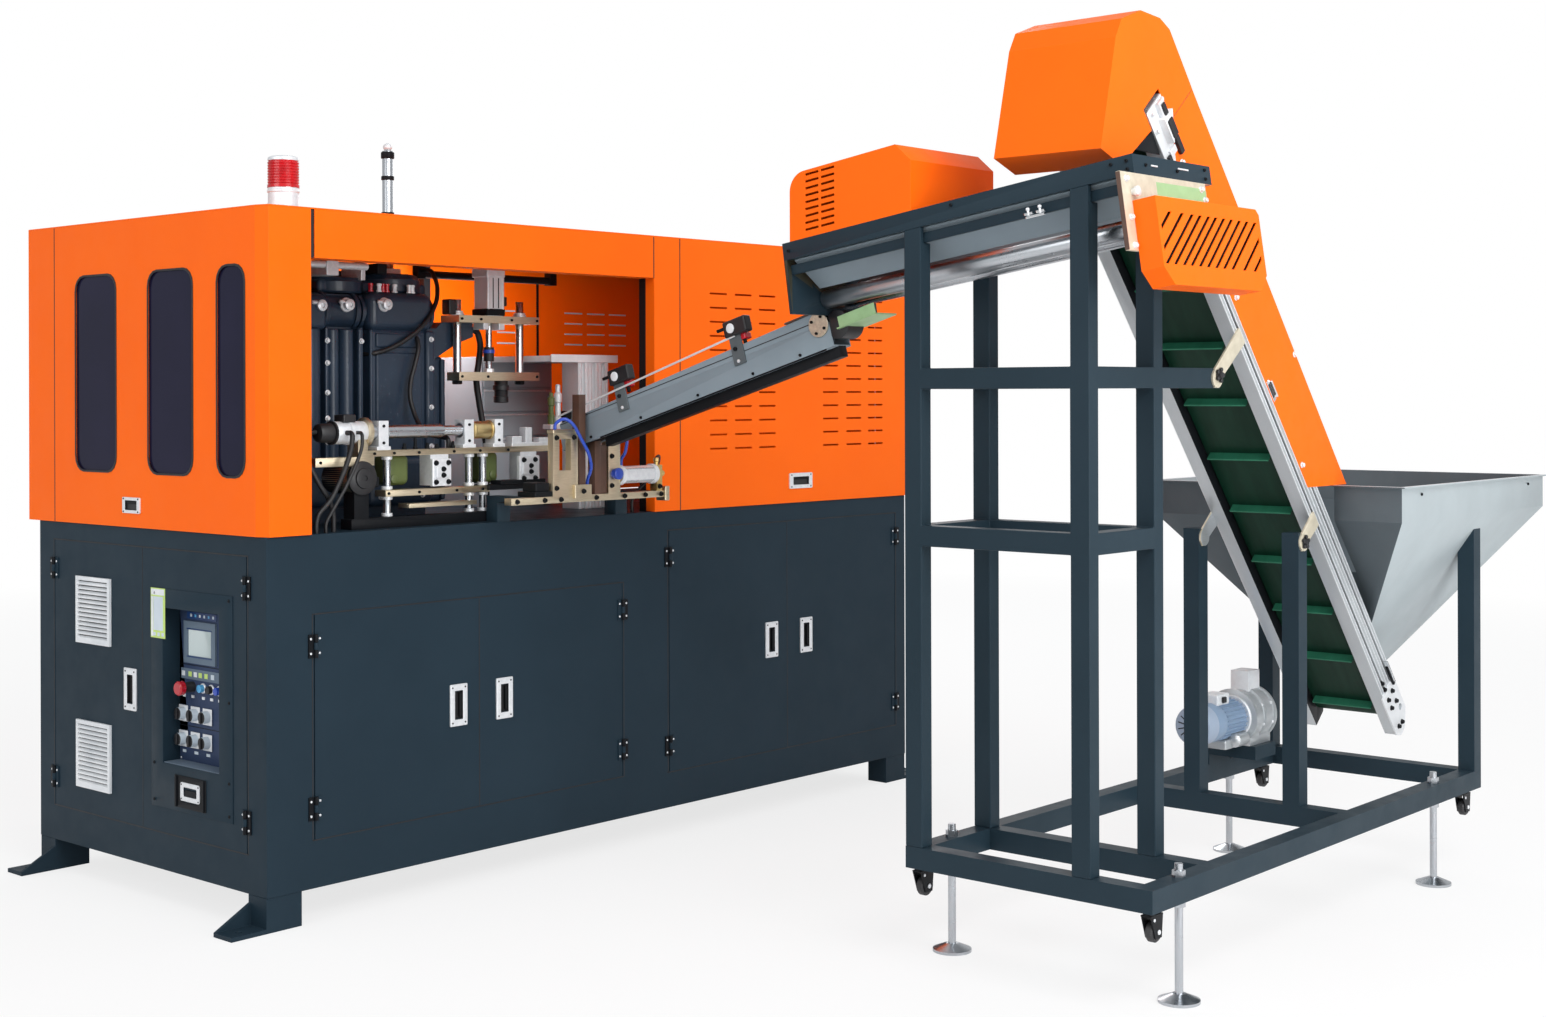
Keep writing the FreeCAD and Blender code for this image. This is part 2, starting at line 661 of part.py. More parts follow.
def end_cover():
    out = -HOUSE_OUT
    cx, cy = COVER_CHAMFER
    cx += out
    cy += out
    inner = out + SHEET
    outline = [(out, COVER_BACK), (out, cy), (cx, out), (COVER_RETURN, out),
               (COVER_RETURN, inner + HOUSE_OUT), (COVER_RETURN - SHEET, inner + HOUSE_OUT),
               (COVER_RETURN - SHEET, inner),
               (cx + SHEET / 2, inner), (inner, cy + SHEET / 2), (inner, COVER_BACK)]
    sheet = prism_z(outline, DECK_Z, TOP_Z - SHEET)
    holes = [rounded_window(out, inner, y0, y1, WINDOW_Z[0], WINDOW_Z[1], WINDOW_R) for y0, y1 in WINDOWS]
    return cut(sheet, holes)


def window_panes():
    x0 = SHEET - HOUSE_OUT
    return group([rounded_window(x0, x0 + PANE_T, y0 - PANE_LAP, y1 + PANE_LAP, WINDOW_Z[0] - PANE_LAP,
                                 WINDOW_Z[1] + PANE_LAP, WINDOW_R + PANE_LAP) for y0, y1 in WINDOWS])


def front_header():
    """Folded header: front sheet with top and bottom returns."""
    y0 = -HOUSE_OUT
    x0, x1 = HEADER_X
    top = TOP_Z - SHEET
    outer = box(x0, x1, y0, HEADER_D, HEADER_Z, top)
    inner = box(x0, x1, y0 + SHEET, HEADER_D, HEADER_Z + SHEET, top)
    return outer.cut(inner)


def corner_pillar():
    y0 = -HOUSE_OUT
    x0, x1 = PILLAR_X
    outline = [(x0, y0), (x1, y0), (x1, y0 + SHEET), (x0 + SHEET, y0 + SHEET),
               (x0 + SHEET, PILLAR_RETURN), (x0, PILLAR_RETURN)]
    return prism_z(outline, DECK_Z, TOP_Z - SHEET)


def slot_row(x, z, y0, depth):
    return box(x, x + SLOT_W, y0, y0 + depth, z - SLOT_H / 2, z + SLOT_H / 2)


def louvre_panel():
    y0 = -HOUSE_OUT
    x1 = CAB_L + HOUSE_OUT
    front = box(LOUVRE_X, x1, y0, y0 + SHEET, DECK_Z, TOP_Z - SHEET)
    fold = box(x1 - SHEET, x1, y0, COVER_RETURN, DECK_Z, TOP_Z - SHEET)
    slots = [slot_row(x, SLOT_TOP - row * SLOT_PITCH, y0, SHEET)
             for x in SLOT_COLUMNS for row in range(SLOT_ROWS)]
    return cut(fuse([front, fold]), slots)


def rear_panel():
    """Back wall with both end returns."""
    y1 = CAB_W + HOUSE_BACK
    x0 = -HOUSE_OUT
    x1 = CAB_L + HOUSE_OUT
    top = TOP_Z - SHEET
    back = box(x0, x1, y1 - SHEET, y1, DECK_Z, top)
    left = box(x0, x0 + SHEET, COVER_BACK + SEAM, y1, DECK_Z, top)
    right = box(x1 - SHEET, x1, COVER_RETURN + SEAM, y1, DECK_Z, top)
    slots = [box(x, x + SLOT_W, y1 - SHEET, y1, z - SLOT_H / 2, z + SLOT_H / 2)
             for x in REAR_SLOTS for z in [SLOT_TOP - row * SLOT_PITCH for row in range(REAR_SLOT_ROWS)]]
    return cut(fuse([back, left, right]), slots)


def roof_panel():
    y1 = CAB_W + HOUSE_BACK
    cx, cy = COVER_CHAMFER
    out = -HOUSE_OUT
    outline = [(out, y1), (out, cy + out), (cx + out, out), (CAB_L + HOUSE_OUT, out), (CAB_L + HOUSE_OUT, y1)]
    sheet = prism_z(outline, TOP_Z - SHEET, TOP_Z)
    hole = rod(STRETCH_X, STRETCH_Y, TOP_Z - SHEET, UP, STRETCH_R + SHEET, SHEET)
    return sheet.cut(hole)


def upper_frame():
    """Square tube frame that carries the housing, with the light rail across the bay."""
    top = TOP_Z - SHEET
    low_y = SHEET - HOUSE_OUT
    back_y = CAB_W + HOUSE_BACK - SHEET
    left_x = SHEET - HOUSE_OUT
    right_x = CAB_L + HOUSE_OUT - SHEET
    jamb_x = PILLAR_X[0]
    deck = DECK_Z
    behind = back_y - POST
    cabin_y = CAB_W - POST
    pieces = [box(jamb_x, jamb_x + POST, PILLAR_RETURN, PILLAR_RETURN + POST, deck, top),
              box(right_x - POST, right_x, low_y + HOUSE_OUT, low_y + HOUSE_OUT + POST, deck, top),
              box(right_x - POST, right_x, cabin_y, CAB_W, deck, top),
              box(jamb_x, jamb_x + POST, cabin_y, CAB_W, deck, top),
              box(left_x, left_x + POST, cabin_y, CAB_W, deck, top),
              box(COVER_RETURN - SHEET - POST, COVER_RETURN - SHEET, low_y, low_y + POST, deck, top)]
    rails = [box(left_x, right_x, cabin_y, back_y, top - POST, top),
             box(right_x - POST, right_x, low_y + HOUSE_OUT, CAB_W, top - POST, top),
             box(jamb_x, jamb_x + POST, PILLAR_RETURN, CAB_W, top - POST, top),
             box(COVER_RETURN - SHEET - POST, COVER_RETURN - SHEET, low_y, CAB_W, top - POST, top),
             box(COVER_RETURN - SHEET, right_x, HEADER_D, HEADER_D + POST, top - POST, top)]
    hangers = [box(HANGER_X, HANGER_X + POST, HEADER_D, CAB_W, top - POST, top),
               box(HANGER_X, HANGER_X + POST, LIGHT_RAIL_Y - POST / 2, LIGHT_RAIL_Y + POST / 2,
                   LIGHT_RAIL_Z - POST / 2, top),
               rod(HANGER_X, LIGHT_RAIL_Y, LIGHT_RAIL_Z, ALONG, LIGHT_RAIL_R, jamb_x - HANGER_X),
               box(jamb_x, jamb_x + POST, LIGHT_RAIL_Y - POST / 2, LIGHT_RAIL_Y + POST / 2,
                   LIGHT_RAIL_Z - POST / 2, top)]
    return fuse(pieces + rails + hangers)


def beacon_base():
    return rod(BEACON_X, BEACON_Y, TOP_Z, UP, BEACON_R, BEACON_BASE_H)


def beacon_lens():
    z = TOP_Z + BEACON_BASE_H
    lens_r = BEACON_R - BEACON_LENS_SET
    collar = rod(BEACON_X, BEACON_Y, z, UP, BEACON_R + BEACON_RIM, BEACON_RIM_H)
    lens = rod(BEACON_X, BEACON_Y, z, UP, lens_r, BEACON_LENS_H)
    tip_r = BEACON_R - BEACON_TAPER
    cap = Part.makeCone(lens_r, tip_r, BEACON_CAP_H, V(BEACON_X, BEACON_Y, z + BEACON_LENS_H), UP)
    return fuse([collar, lens, cap])


# ---------------------------------------------------------------- blow clamp
def bar_places():
    return [(y, z) for y in (CLAMP_Y[0] + BAR_INSET, CLAMP_Y[1] - BAR_INSET) for z in BAR_Z]


def carrier(x0, x1, z0):
    """Ribbed mould carrier casting with bosses for the four guide bars."""
    block = box(x0, x1, CASTING_Y, CLAMP_Y[1], z0, PLATEN_TOP)
    upright = [edge for edge in block.Edges if edge.BoundBox.ZLength > CASTING_R
               and edge.BoundBox.YMax < CASTING_Y + CASTING_R]
    pieces = [block.makeFillet(CASTING_R, upright)]
    for y, z in bar_places():
        pieces.append(rod(x0, y, z, ALONG, BOSS_R, x1 - x0))
    body = fuse(pieces)
    face = CASTING_Y
    mid = (x0 + x1) / 2
    low = BAR_Z[0] + BOSS_R + RIB / 2
    high = BAR_Z[1] - BOSS_R - RIB / 2
    waist = high - WAIST * (high - low)
    pockets = [box(x0 + RIB, mid + RIB, face, face + POCKET, low, waist),
               box(x0 + RIB, mid + RIB, face, face + POCKET, waist + RIB, high),
               box(mid + 2 * RIB, x1 - RIB, face, face + POCKET, low, high)]
    return cut(body, pockets)


def clamp_fixed_platen():
    """Fixed carrier, bed and back platen in one casting."""
    y1 = CLAMP_Y[1]
    bed_top = DECK_Z + BED_T
    fixed = carrier(FIXED_X[0], FIXED_X[1], bed_top)
    bed = box(BACK_PLATEN_X[0], FIXED_X[1], CASTING_Y, y1, DECK_Z, bed_top)
    back = box(BACK_PLATEN_X[0], BACK_PLATEN_X[1], CASTING_Y, y1, bed_top, PLATEN_TOP)
    bosses = [rod(BACK_PLATEN_X[0], y, z, ALONG, BOSS_R, BACK_PLATEN_X[1] - BACK_PLATEN_X[0])
              for y, z in bar_places()]
    length = FIXED_X[1] - BACK_PLATEN_X[0]
    bores = [rod(BACK_PLATEN_X[0], y, z, ALONG, BAR_R, length) for y, z in bar_places()]
    ram = rod(BACK_PLATEN_X[0], sum(CLAMP_Y) / 2, RAM_Z, ALONG, RAM_R + BAR_FIT,
              BACK_PLATEN_X[1] - BACK_PLATEN_X[0])
    arm = arm_bracket()
    return cut(fuse([fixed, bed, back, arm] + bosses), bores + [ram])


def arm_bracket():
    """Cast arm that carries the pick-up unit."""
    x0 = FIXED_X[1]
    x1 = PICK_ARM_X
    top = PICK_TOP_Z[0]
    drop = top - PICK_ARM_Z
    below_nut = BAR_Z[1] - NUT_R - PICK_ARM_GAP
    past_nut = x0 + NUT_T + PICK_ARM_GAP
    root = x0 - RIB
    outline = [(root, PICK_ARM_Z - drop), (x0, PICK_ARM_Z - drop), (x1 - drop, PICK_ARM_Z),
               (x1, PICK_ARM_Z + drop / 3), (x1, top), (past_nut + drop / 3, top), (past_nut, below_nut),
               (root, below_nut)]
    y1 = PICK_Y + PICK_W / 2 + PICK_BACK
    return prism_y(outline, PICK_Y + PICK_ROD_R + PICK_ARM_GAP, y1)


def clamp_moving_platen():
    bed_top = DECK_Z + BED_T + BAR_FIT
    moving = carrier(MOVING_X[0], MOVING_X[1], bed_top)
    length = MOVING_X[1] - MOVING_X[0]
    bores = [rod(MOVING_X[0], y, z, ALONG, BAR_R + BAR_FIT, length) for y, z in bar_places()]
    ram_x = BACK_PLATEN_X[0]
    ram = rod(ram_x, sum(CLAMP_Y) / 2, RAM_Z, ALONG, RAM_R, MOVING_X[0] - ram_x)
    return fuse([cut(moving, bores), ram])


def tie_bars():
    made = []
    x0 = BACK_PLATEN_X[0]
    for y, z in bar_places():
        bar = rod(x0 - NUT_T, y, z, ALONG, BAR_R, FIXED_X[1] - x0 + 2 * NUT_T)
        nuts = [rod(x0 - NUT_T, y, z, ALONG, NUT_R, NUT_T), rod(FIXED_X[1], y, z, ALONG, NUT_R, NUT_T)]
        made.append(fuse([bar] + nuts))
    return group(made)


def stretch_cylinder():
    """Stretch head on the fixed carrier: crown casting, flange and cylinder through the roof."""
    x0, x1 = CROWN_X
    y0, y1 = CROWN_Y
    crown = box(x0, x1, y0, y1, PLATEN_TOP, CROWN_Z)
    clear = box(x0, FIXED_X[0], y0, y1, PLATEN_TOP, PLATEN_TOP + SHEET)
    crown = crown.cut(clear)
    flange_r, flange_t = STRETCH_FLANGE
    flange = rod(STRETCH_X, STRETCH_Y, CROWN_Z, UP, flange_r, flange_t)
    tube = rod(STRETCH_X, STRETCH_Y, CROWN_Z, UP, STRETCH_R, STRETCH_TOP - CROWN_Z)
    return fuse([crown, flange, tube])


# ---------------------------------------------------------------- pick-up unit
def pickup_frame():
    x0, x1 = PICK_X
    y0 = PICK_Y - PICK_W / 2
    y1 = PICK_Y + PICK_W / 2
    plate = box(x0, x1, y0, y1 + PICK_BACK, PICK_TOP_Z[0], PICK_TOP_Z[1])
    deep = PICK_TOP_Z[1] - PICK_TOP_Z[0]
    bores = [rod(x, PICK_Y, PICK_TOP_Z[0], UP, PICK_ROD_R + PICK_FIT, deep) for x in PICK_RODS]
    bores.append(rod(PICK_CYL_X, PICK_Y, PICK_TOP_Z[0], UP, PISTON_R + PICK_FIT, deep))
    return cut(plate, bores)


def pickup_cylinder():
    half = PICK_CYL_W / 2
    z0 = PICK_TOP_Z[1]
    barrel = box(PICK_CYL_X - half, PICK_CYL_X + half, PICK_Y - half, PICK_Y + half, z0, PICK_CYL_TOP)
    upright = [edge for edge in barrel.Edges if edge.BoundBox.ZLength > half]
    barrel = barrel.makeFillet(PICK_CYL_W / 7, upright)
    bore = rod(PICK_CYL_X, PICK_Y, z0, UP, PISTON_R + PICK_FIT, PICK_CYL_TOP - z0 - PISTON_R)
    return barrel.cut(bore)


def pickup_rod():
    """Lower plate, its guide rods, the piston rod with its coupler, and the gripper."""
    x0, x1 = PICK_X
    y0 = PICK_Y - PICK_W / 2
    y1 = PICK_Y + PICK_W / 2
    low, high = PICK_LOW_Z
    pieces = [box(x0, x1, y0, y1, low, high)]
    for x in PICK_RODS:
        pieces.append(rod(x, PICK_Y, low, UP, PICK_ROD_R, PICK_ROD_TOP - low))
    pieces.append(rod(PICK_CYL_X, PICK_Y, high, UP, PISTON_R, PICK_TOP_Z[1] + PICK_ROD_R - high))
    pieces.append(rod(PICK_CYL_X, PICK_Y, COUPLER_Z[0], UP, COUPLER_R, COUPLER_Z[1] - COUPLER_Z[0]))
    pieces.append(rod(GRIP_X, PICK_Y, low - GRIP_H, UP, GRIP_R, GRIP_H))
    return fuse(pieces)


# ---------------------------------------------------------------- transfer unit
def transfer_frame():
    """Rails, posts, bearing blocks, gearmotor and valve manifolds, on a foot bar."""
    y0 = TRANS_Y - RAIL_D / 2
    y1 = TRANS_Y + RAIL_D / 2
    upper = box(UPPER_RAIL[0], UPPER_RAIL[1], y0, y1, UPPER_RAIL[2], UPPER_RAIL[3])
    lower = box(LOWER_RAIL[0], LOWER_RAIL[1], y0, y1, LOWER_RAIL[2], LOWER_RAIL[3])
    foot = box(FOOT_BAR[0], FOOT_BAR[1], y0, y1, DECK_Z, DECK_Z + FOOT_BAR_T)
    pieces = [upper, lower, foot]
    for x in TRANS_POSTS:
        pieces.append(rod(x, TRANS_Y, DECK_Z, UP, TRANS_POST_R, UPPER_RAIL[2] - DECK_Z))
    for x0, x1 in BLOCKS:
        pieces.append(box(x0, x1, TRANS_Y - BLOCK_D / 2, TRANS_Y + BLOCK_D / 2, UPPER_RAIL[3], BLOCK_TOP))
    for x0, x1 in MANIFOLDS:
        low, high = MANIFOLD_Z
        pieces.append(box(x0, x1, y0, y1, low, UPPER_RAIL[2]))
    pieces.append(rod(GEARMOTOR_X[0], TRANS_Y, SHAFT_Z, ALONG, GEARMOTOR_R, GEARMOTOR_X[1] - GEARMOTOR_X[0]))
    cap_l, cap_r = MOTOR_CAP
    pieces.append(rod(GEARMOTOR_X[0] - cap_l, TRANS_Y, SHAFT_Z, ALONG, cap_r, cap_l))
    motor_x, motor_z = SIDE_MOTOR
    near, far = SIDE_MOTOR_Y
    pieces.append(rod(motor_x, near, motor_z, ACROSS, SIDE_MOTOR_R, far - near))
    pieces.append(box(SIDE_BLOCK[0], SIDE_BLOCK[1], y0, y1, DECK_Z, motor_z))
    pieces.append(box(LEFT_PLATE[0], LEFT_PLATE[1], y0, y1, UPPER_RAIL[2] - LEFT_PLATE[2], UPPER_RAIL[2]))
    px0, px1, pz0, pz1 = LOW_PLATE
    pieces.append(box(px0, px1, y0 - LOW_PLATE_OUT, y1 - LOW_PLATE_OUT, pz0, pz1))
    hanger = box(GEARMOTOR_X[1] - RIB, BLOCKS[0][1], y0, y1, UPPER_RAIL[2], UPPER_RAIL[3])
    pieces.append(hanger)
    pieces.append(box(GEARMOTOR_X[1] - RIB, GEARMOTOR_X[1], y0, y1, UPPER_RAIL[3], SHAFT_Z))
    length = BLOCKS[-1][1] - BLOCKS[0][0]
    bore = rod(BLOCKS[0][0], TRANS_Y, SHAFT_Z, ALONG, SHAFT_R + SHAFT_FIT, length)
    return cut(fuse(pieces), [bore])


def transfer_shaft():
    x0 = BLOCKS[0][0]
    x1 = BLOCKS[-1][1]
    shaft = rod(x0, TRANS_Y, SHAFT_Z, ALONG, SHAFT_R, x1 - x0)
    roller = rod(ROLLER_X[0], TRANS_Y, SHAFT_Z, ALONG, ROLLER_R, ROLLER_X[1] - ROLLER_X[0])
    return fuse([shaft, roller])


def infeed_stand():
    """Front bar on two arms with the gate frame, guide bar, infeed cylinder and chute saddle."""
    y0, y1 = FEED_Y
    x0, x1, low, high = FEED_BAR
    pieces = [box(x0, x1, y0, y1, low, high)]
    for x in FEED_LEG_X:
        pieces.append(box(x, x + TUBE, y0, 0, low, high))
        pieces.append(box(x, x + TUBE, 0, TUBE, DECK_Z, high))
    gx0, gx1 = GATE_X
    gz0, gz1 = GATE_Z
    gate = box(gx0, gx1, y0, y0 + GATE_T, high, gz1)
    hole = box(gx0 + GATE_W, gx1 - GATE_W, y0, y0 + GATE_T, gz0 + GATE_W, gz1 - GATE_W)
    pieces.append(gate.cut(hole))
    bx0, bx1, top = GUIDE_BAR
    pieces.append(box(bx0, bx1, y0, y1, high, top))
    ex0, ex1 = END_PLATE_X
    pieces.append(box(ex0, ex1, y0, y1, high, gz1 - GATE_W))
    cy = (y0 + y1) / 2
    pieces.append(rod(ex1, cy, FEED_CYL_Z, ALONG, FEED_CYL_R, FEED_CYL_X[1] - ex1))
    end = FEED_CYL_X[1]
    pieces.append(box(end, end + FEED_END_W, y0, y1, high, FEED_CYL_Z + FEED_CYL_R))
    saddle = [(y0, high), (y1, high), (y1, chute_under_z(y1)), (y0, chute_under_z(y0))]
    pieces.append(prism_x(saddle, CHUTE_X - SADDLE_W / 2, CHUTE_X + SADDLE_W / 2))
    return fuse(pieces)


def heater_box():
    """Grey heater housing and the profile stand with its top plate."""
    x0, x1 = HEATER_X
    y0, y1 = HEATER_Y
    shell = box(x0, x1, y0, y1, DECK_Z, HEATER_Z)
    sx0, sx1 = STAND_X
    sy0, sy1 = STAND_Y
    px0, px1, pt = STAND_PLATE
    stand = box(sx0, sx1, sy0, sy1, DECK_Z, STAND_TOP)
    width, depth, count = STAND_GROOVE
    pitch = (sx1 - sx0) / count
    grooves = [box(sx0 + k * pitch + (pitch - width) / 2, sx0 + k * pitch + (pitch + width) / 2,
                   sy0, sy0 + depth, DECK_Z, STAND_TOP) for k in range(count)]
    plate = box(px0, px1, sy0, y0, STAND_TOP, STAND_TOP + pt)
    return fuse([shell, cut(stand, grooves), plate])


# ---------------------------------------------------------------- cables
def rounded_path(points):
    """Straight runs joined by tangent arcs, each as large as its shorter run allows."""
    edges = []
    start = points[0]
    for k in range(1, len(points) - 1):
        before, corner, after = points[k - 1], points[k], points[k + 1]
        u = (before - corner).normalize()
        w = (after - corner).normalize()
        short = min((before - corner).Length, (after - corner).Length)
        reach = BEND_SHARE * short
        half = (math.pi - u.getAngle(w)) / 2
        radius = reach / math.tan(half)
        print("  bend radius", round(radius))
        a = corner + u * reach
        b = corner + w * reach
        inward = (u + w).normalize()
        middle = corner + inward * (radius / math.cos(half) - radius)
        edges.append(Part.LineSegment(start, a).toShape())
        edges.append(Part.Arc(a, middle, b).toShape())
        start = b
    edges.append(Part.LineSegment(start, points[-1]).toShape())
    return Part.Wire(edges)


def tube_along(points, radius):
    path = rounded_path([V(*point) for point in points])
    first = V(*points[0])
    heading = (V(*points[1]) - first).normalize()
    ring = Part.Wire(Part.makeCircle(radius, first, heading))
    return path.makePipeShell([ring], True, True)


def cable_routes():
    """Radius and places of each cable and hose, from what it leaves to what it enters."""
    hanger = LIGHT_RAIL_Y - POST / 2
    rail_top = UPPER_RAIL[3]
    motor_front = TRANS_Y - GEARMOTOR_R
    cap_end = GEARMOTOR_X[0] - MOTOR_CAP[0]
    feed_y = sum(FEED_Y) / 2
    gate_top = GATE_Z[1]
    plate_top = GATE_Z[1] - GATE_W
    cylinder_top = FEED_CYL_Z + FEED_CYL_R
    bar_top = FEED_BAR[3]
    return (
        (CABLE_R, ((920, hanger, 1834), (920, 440, 1834), (900, 384, 1784), (864, 344, 1730),
                   (822, 326, 1680), (772, 320, 1636), (714, 324, 1600), (662, 328, 1576), (604, 332, 1562),
                   (604, CASTING_Y, 1562))),
        (CABLE_R, ((778, CASTING_Y, 1618), (778, 334, 1618), (768, 314, 1580), (751, 312, 1530),
                   (735, 314, 1480), (729, 310, 1428), (730, 286, 1374), (722, 244, 1334), (712, 192, 1318),
                   (704, 140, 1314), (700, 92, 1310), (700, 92, rail_top))),
        (CABLE_R, ((cap_end, TRANS_Y, 1336), (198, TRANS_Y, 1336), (180, 74, 1304), (180, 62, 1250),
                   (200, 44, 1196), (236, 44, 1150), (252, 46, 1110), (252, 46, DECK_Z))),
        (CABLE_R, ((300, motor_front, SHAFT_Z), (300, 22, SHAFT_Z), (292, 16, 1290), (270, 18, 1230),
                   (228, 22, 1150), (190, 30, 1112), (182, 30, 1086), (182, 30, DECK_Z))),
        (HOSE_R, ((334, motor_front, SHAFT_Z), (334, 24, SHAFT_Z), (326, 12, 1294), (300, 12, 1236),
                  (262, 14, 1170), (224, 20, 1112), (208, 22, 1086), (208, 22, DECK_Z))),
        (HOSE_R, ((925, feed_y, gate_top), (925, feed_y, 1352), (944, -148, 1370), (970, -160, 1350),
                  (1000, -162, 1304), (1034, -160, 1260), (1054, -150, 1214), (1056, feed_y, 1180),
                  (1056, feed_y, bar_top))),
        (HOSE_R, ((1165, feed_y, plate_top), (1165, feed_y, 1328), (1186, -142, 1334), (1206, -150, 1304),
                  (1200, -146, 1258), (1200, feed_y, 1240), (1200, feed_y, cylinder_top))),
        (THICK_HOSE_R, ((PICK_ARM_X, 392, 1645), (1066, 392, 1645), (1084, 394, 1600), (1078, 398, 1540),
                        (1066, 398, 1480), (1078, 398, 1420), (1088, 392, 1350), (1090, 376, 1280),
                        (1090, 376, DECK_Z))),
        (HOSE_R, ((1354, feed_y, cylinder_top), (1354, feed_y, 1240), (1380, -116, 1246), (1400, -92, 1216),
                  (1404, -50, 1172), (1404, 0, 1136), (1402, 30, 1104), (1402, 30, DECK_Z))),
    )


def interior_cables():
    return group([tube_along(route, radius) for radius, route in cable_routes()])


# ---------------------------------------------------------------- elevator frames
def base_frame():
    x0, x1 = BASE_X
    y0, y1 = BASE_Y
    z0, z1 = BASE_Z
    pieces = [box(x0, x1, y0, y0 + TUBE, z0, z1), box(x0, x1, y1 - TUBE, y1, z0, z1)]
    for x in (x0, TOWER_X[1] - COLUMN[0], SHORT_POST_X, x1 - TUBE):
        pieces.append(box(x, x + TUBE, y0, y1, z0, z1))
    for y in (CONV_Y[0], CONV_Y[1] + LUG_T):
        pieces.append(box(SHORT_POST_X, SHORT_POST_X + TUBE, y, y + TUBE, z1, SHORT_POST_TOP))
    body = fuse(pieces + hopper_legs() + [blower_shelf()])
    rods = [rod(x, y, z0, UP, LEVEL_ROD_R, z1 - z0) for x in LEVEL_X for y in level_rows()]
    return cut(body, rods)


def level_rows():
    return (BASE_Y[0] + TUBE / 2, BASE_Y[1] - TUBE / 2)


def blower_shelf():
    """Platform that carries the blower, standing on the far rail of the base."""
    x0 = BLOWER_X + BLOWER_MOTOR_L
    x1 = x0 + BLOWER_HOUSE_L
    y1 = BASE_Y[1]
    under = SHELF_TOP - SHELF_T
    return fuse([box(x0, x1, BLOWER_Y - BLOWER_HOUSE_R, y1, under, SHELF_TOP),
                 box(x0, x1, y1 - TUBE, y1, BASE_Z[0], under)])


def hopper_wall_z(y):
    """Height of the outside of a long hopper wall above a point at y."""
    mid = sum(HOP_Y) / 2
    slope = (HOP_BAND - HOP_OUT_Z) / ((HOP_Y[1] - HOP_Y[0]) / 2 - HOP_OUT_HALF)
    return HOP_OUT_Z + (abs(y - mid) - HOP_OUT_HALF) * slope


def hopper_legs():
    """Posts at the right end, cut at the top to the slope of the hopper walls."""
    x1 = BASE_X[1]
    z1 = BASE_Z[1]
    made = []
    for outer, inner in ((BASE_Y[0], BASE_Y[0] + TUBE), (BASE_Y[1], BASE_Y[1] - TUBE)):
        outline = [(outer, z1), (inner, z1), (inner, hopper_wall_z(inner)), (outer, hopper_wall_z(outer))]
        made.append(prism_x(outline, x1 - TUBE, x1))
    return made


def tray_under_z(y):
    """Height of the underside of the tray band above a point at y."""
    near_y, near_z = TRAY_NEAR
    return near_z - (y - near_y) * math.tan(TILT) - BAND_H / math.cos(TILT)


def tower_frame():
    """Four columns with two rings and the arm that carries the conveyor."""
    x0, x1 = TOWER_X
    y0 = CONV_Y[0]
    y1 = TOWER_FAR_Y
    cx, cy = COLUMN
    z0 = BASE_Z[1]
    pieces = []
    for x in (x0, x1 - cx):
        for y in (y0, y1 - cy):
            outline = [(y, z0), (y + cy, z0), (y + cy, tray_under_z(y + cy)), (y, tray_under_z(y))]
            pieces.append(prism_x(outline, x, x + cx))
    for low, high in RINGS_Z:
        pieces += [box(x0, x1, y0, y0 + cy, low, high), box(x0, x1, y1 - cy, y1, low, high),
                   box(x0, x0 + cx, y0, y1, low, high), box(x1 - cx, x1, y0, y1, low, high)]
    arm_low, arm_high = RINGS_Z[1]
    pieces.append(box(x0, RING_ARM_X, y0, y0 + cy, arm_low, arm_high))
    under_tray = on_tray(box(TRAY_X[0] + STRINGER_SET, TRAY_X[1] - STRINGER_SET, 0, TRAY_LEN, STRINGER[1], 0))
    return fuse(pieces).cut(under_tray)


def castor_places():
    return [(x, y) for x in CASTOR_X for y in CASTOR_Y]


def castor_fork(x, y):
    """Swivel castor body under the base rail: top boss, plate and two cheeks."""
    z = BASE_Z[0]
    boss = rod(x, y, z - SWIVEL_T, UP, SWIVEL_R, SWIVEL_T)
    half = WHEEL_W / 2 + FORK_T + FORK_CLEAR
    plate_z = z - SWIVEL_T
    centre_x = x + WHEEL_OFFSET
    reach = WHEEL_R * CROWN_SHARE
    crown = box(x - SWIVEL_R, centre_x + reach, y - half, y + half, plate_z - FORK_T, plate_z)
    axle_z = plate_z - WHEEL_DROP
    cheek = [(x - SWIVEL_R, plate_z), (centre_x + reach, plate_z), (centre_x + FORK_IN, axle_z - FORK_IN),
             (centre_x - FORK_IN, axle_z - FORK_IN)]
    cheeks = [prism_y(cheek, y - half, y - half + FORK_T), prism_y(cheek, y + half - FORK_T, y + half)]
    axle = rod(centre_x, y - half, axle_z, ACROSS, AXLE_R, 2 * half)
    return fuse([boss, crown, axle] + cheeks)


def castor_wheel(x, y):
    centre_x = x + WHEEL_OFFSET
    axle_z = BASE_Z[0] - SWIVEL_T - WHEEL_DROP
    wheel = rod(centre_x, y - WHEEL_W / 2, axle_z, ACROSS, WHEEL_R, WHEEL_W)
    rims = [edge for edge in wheel.Edges if edge.BoundBox.YLength < AXLE_FIT]
    wheel = wheel.makeChamfer(WHEEL_W / 6, rims)
    bore = rod(centre_x, y - WHEEL_W / 2, axle_z, ACROSS, AXLE_R + AXLE_FIT, WHEEL_W)
    return wheel.cut(bore)


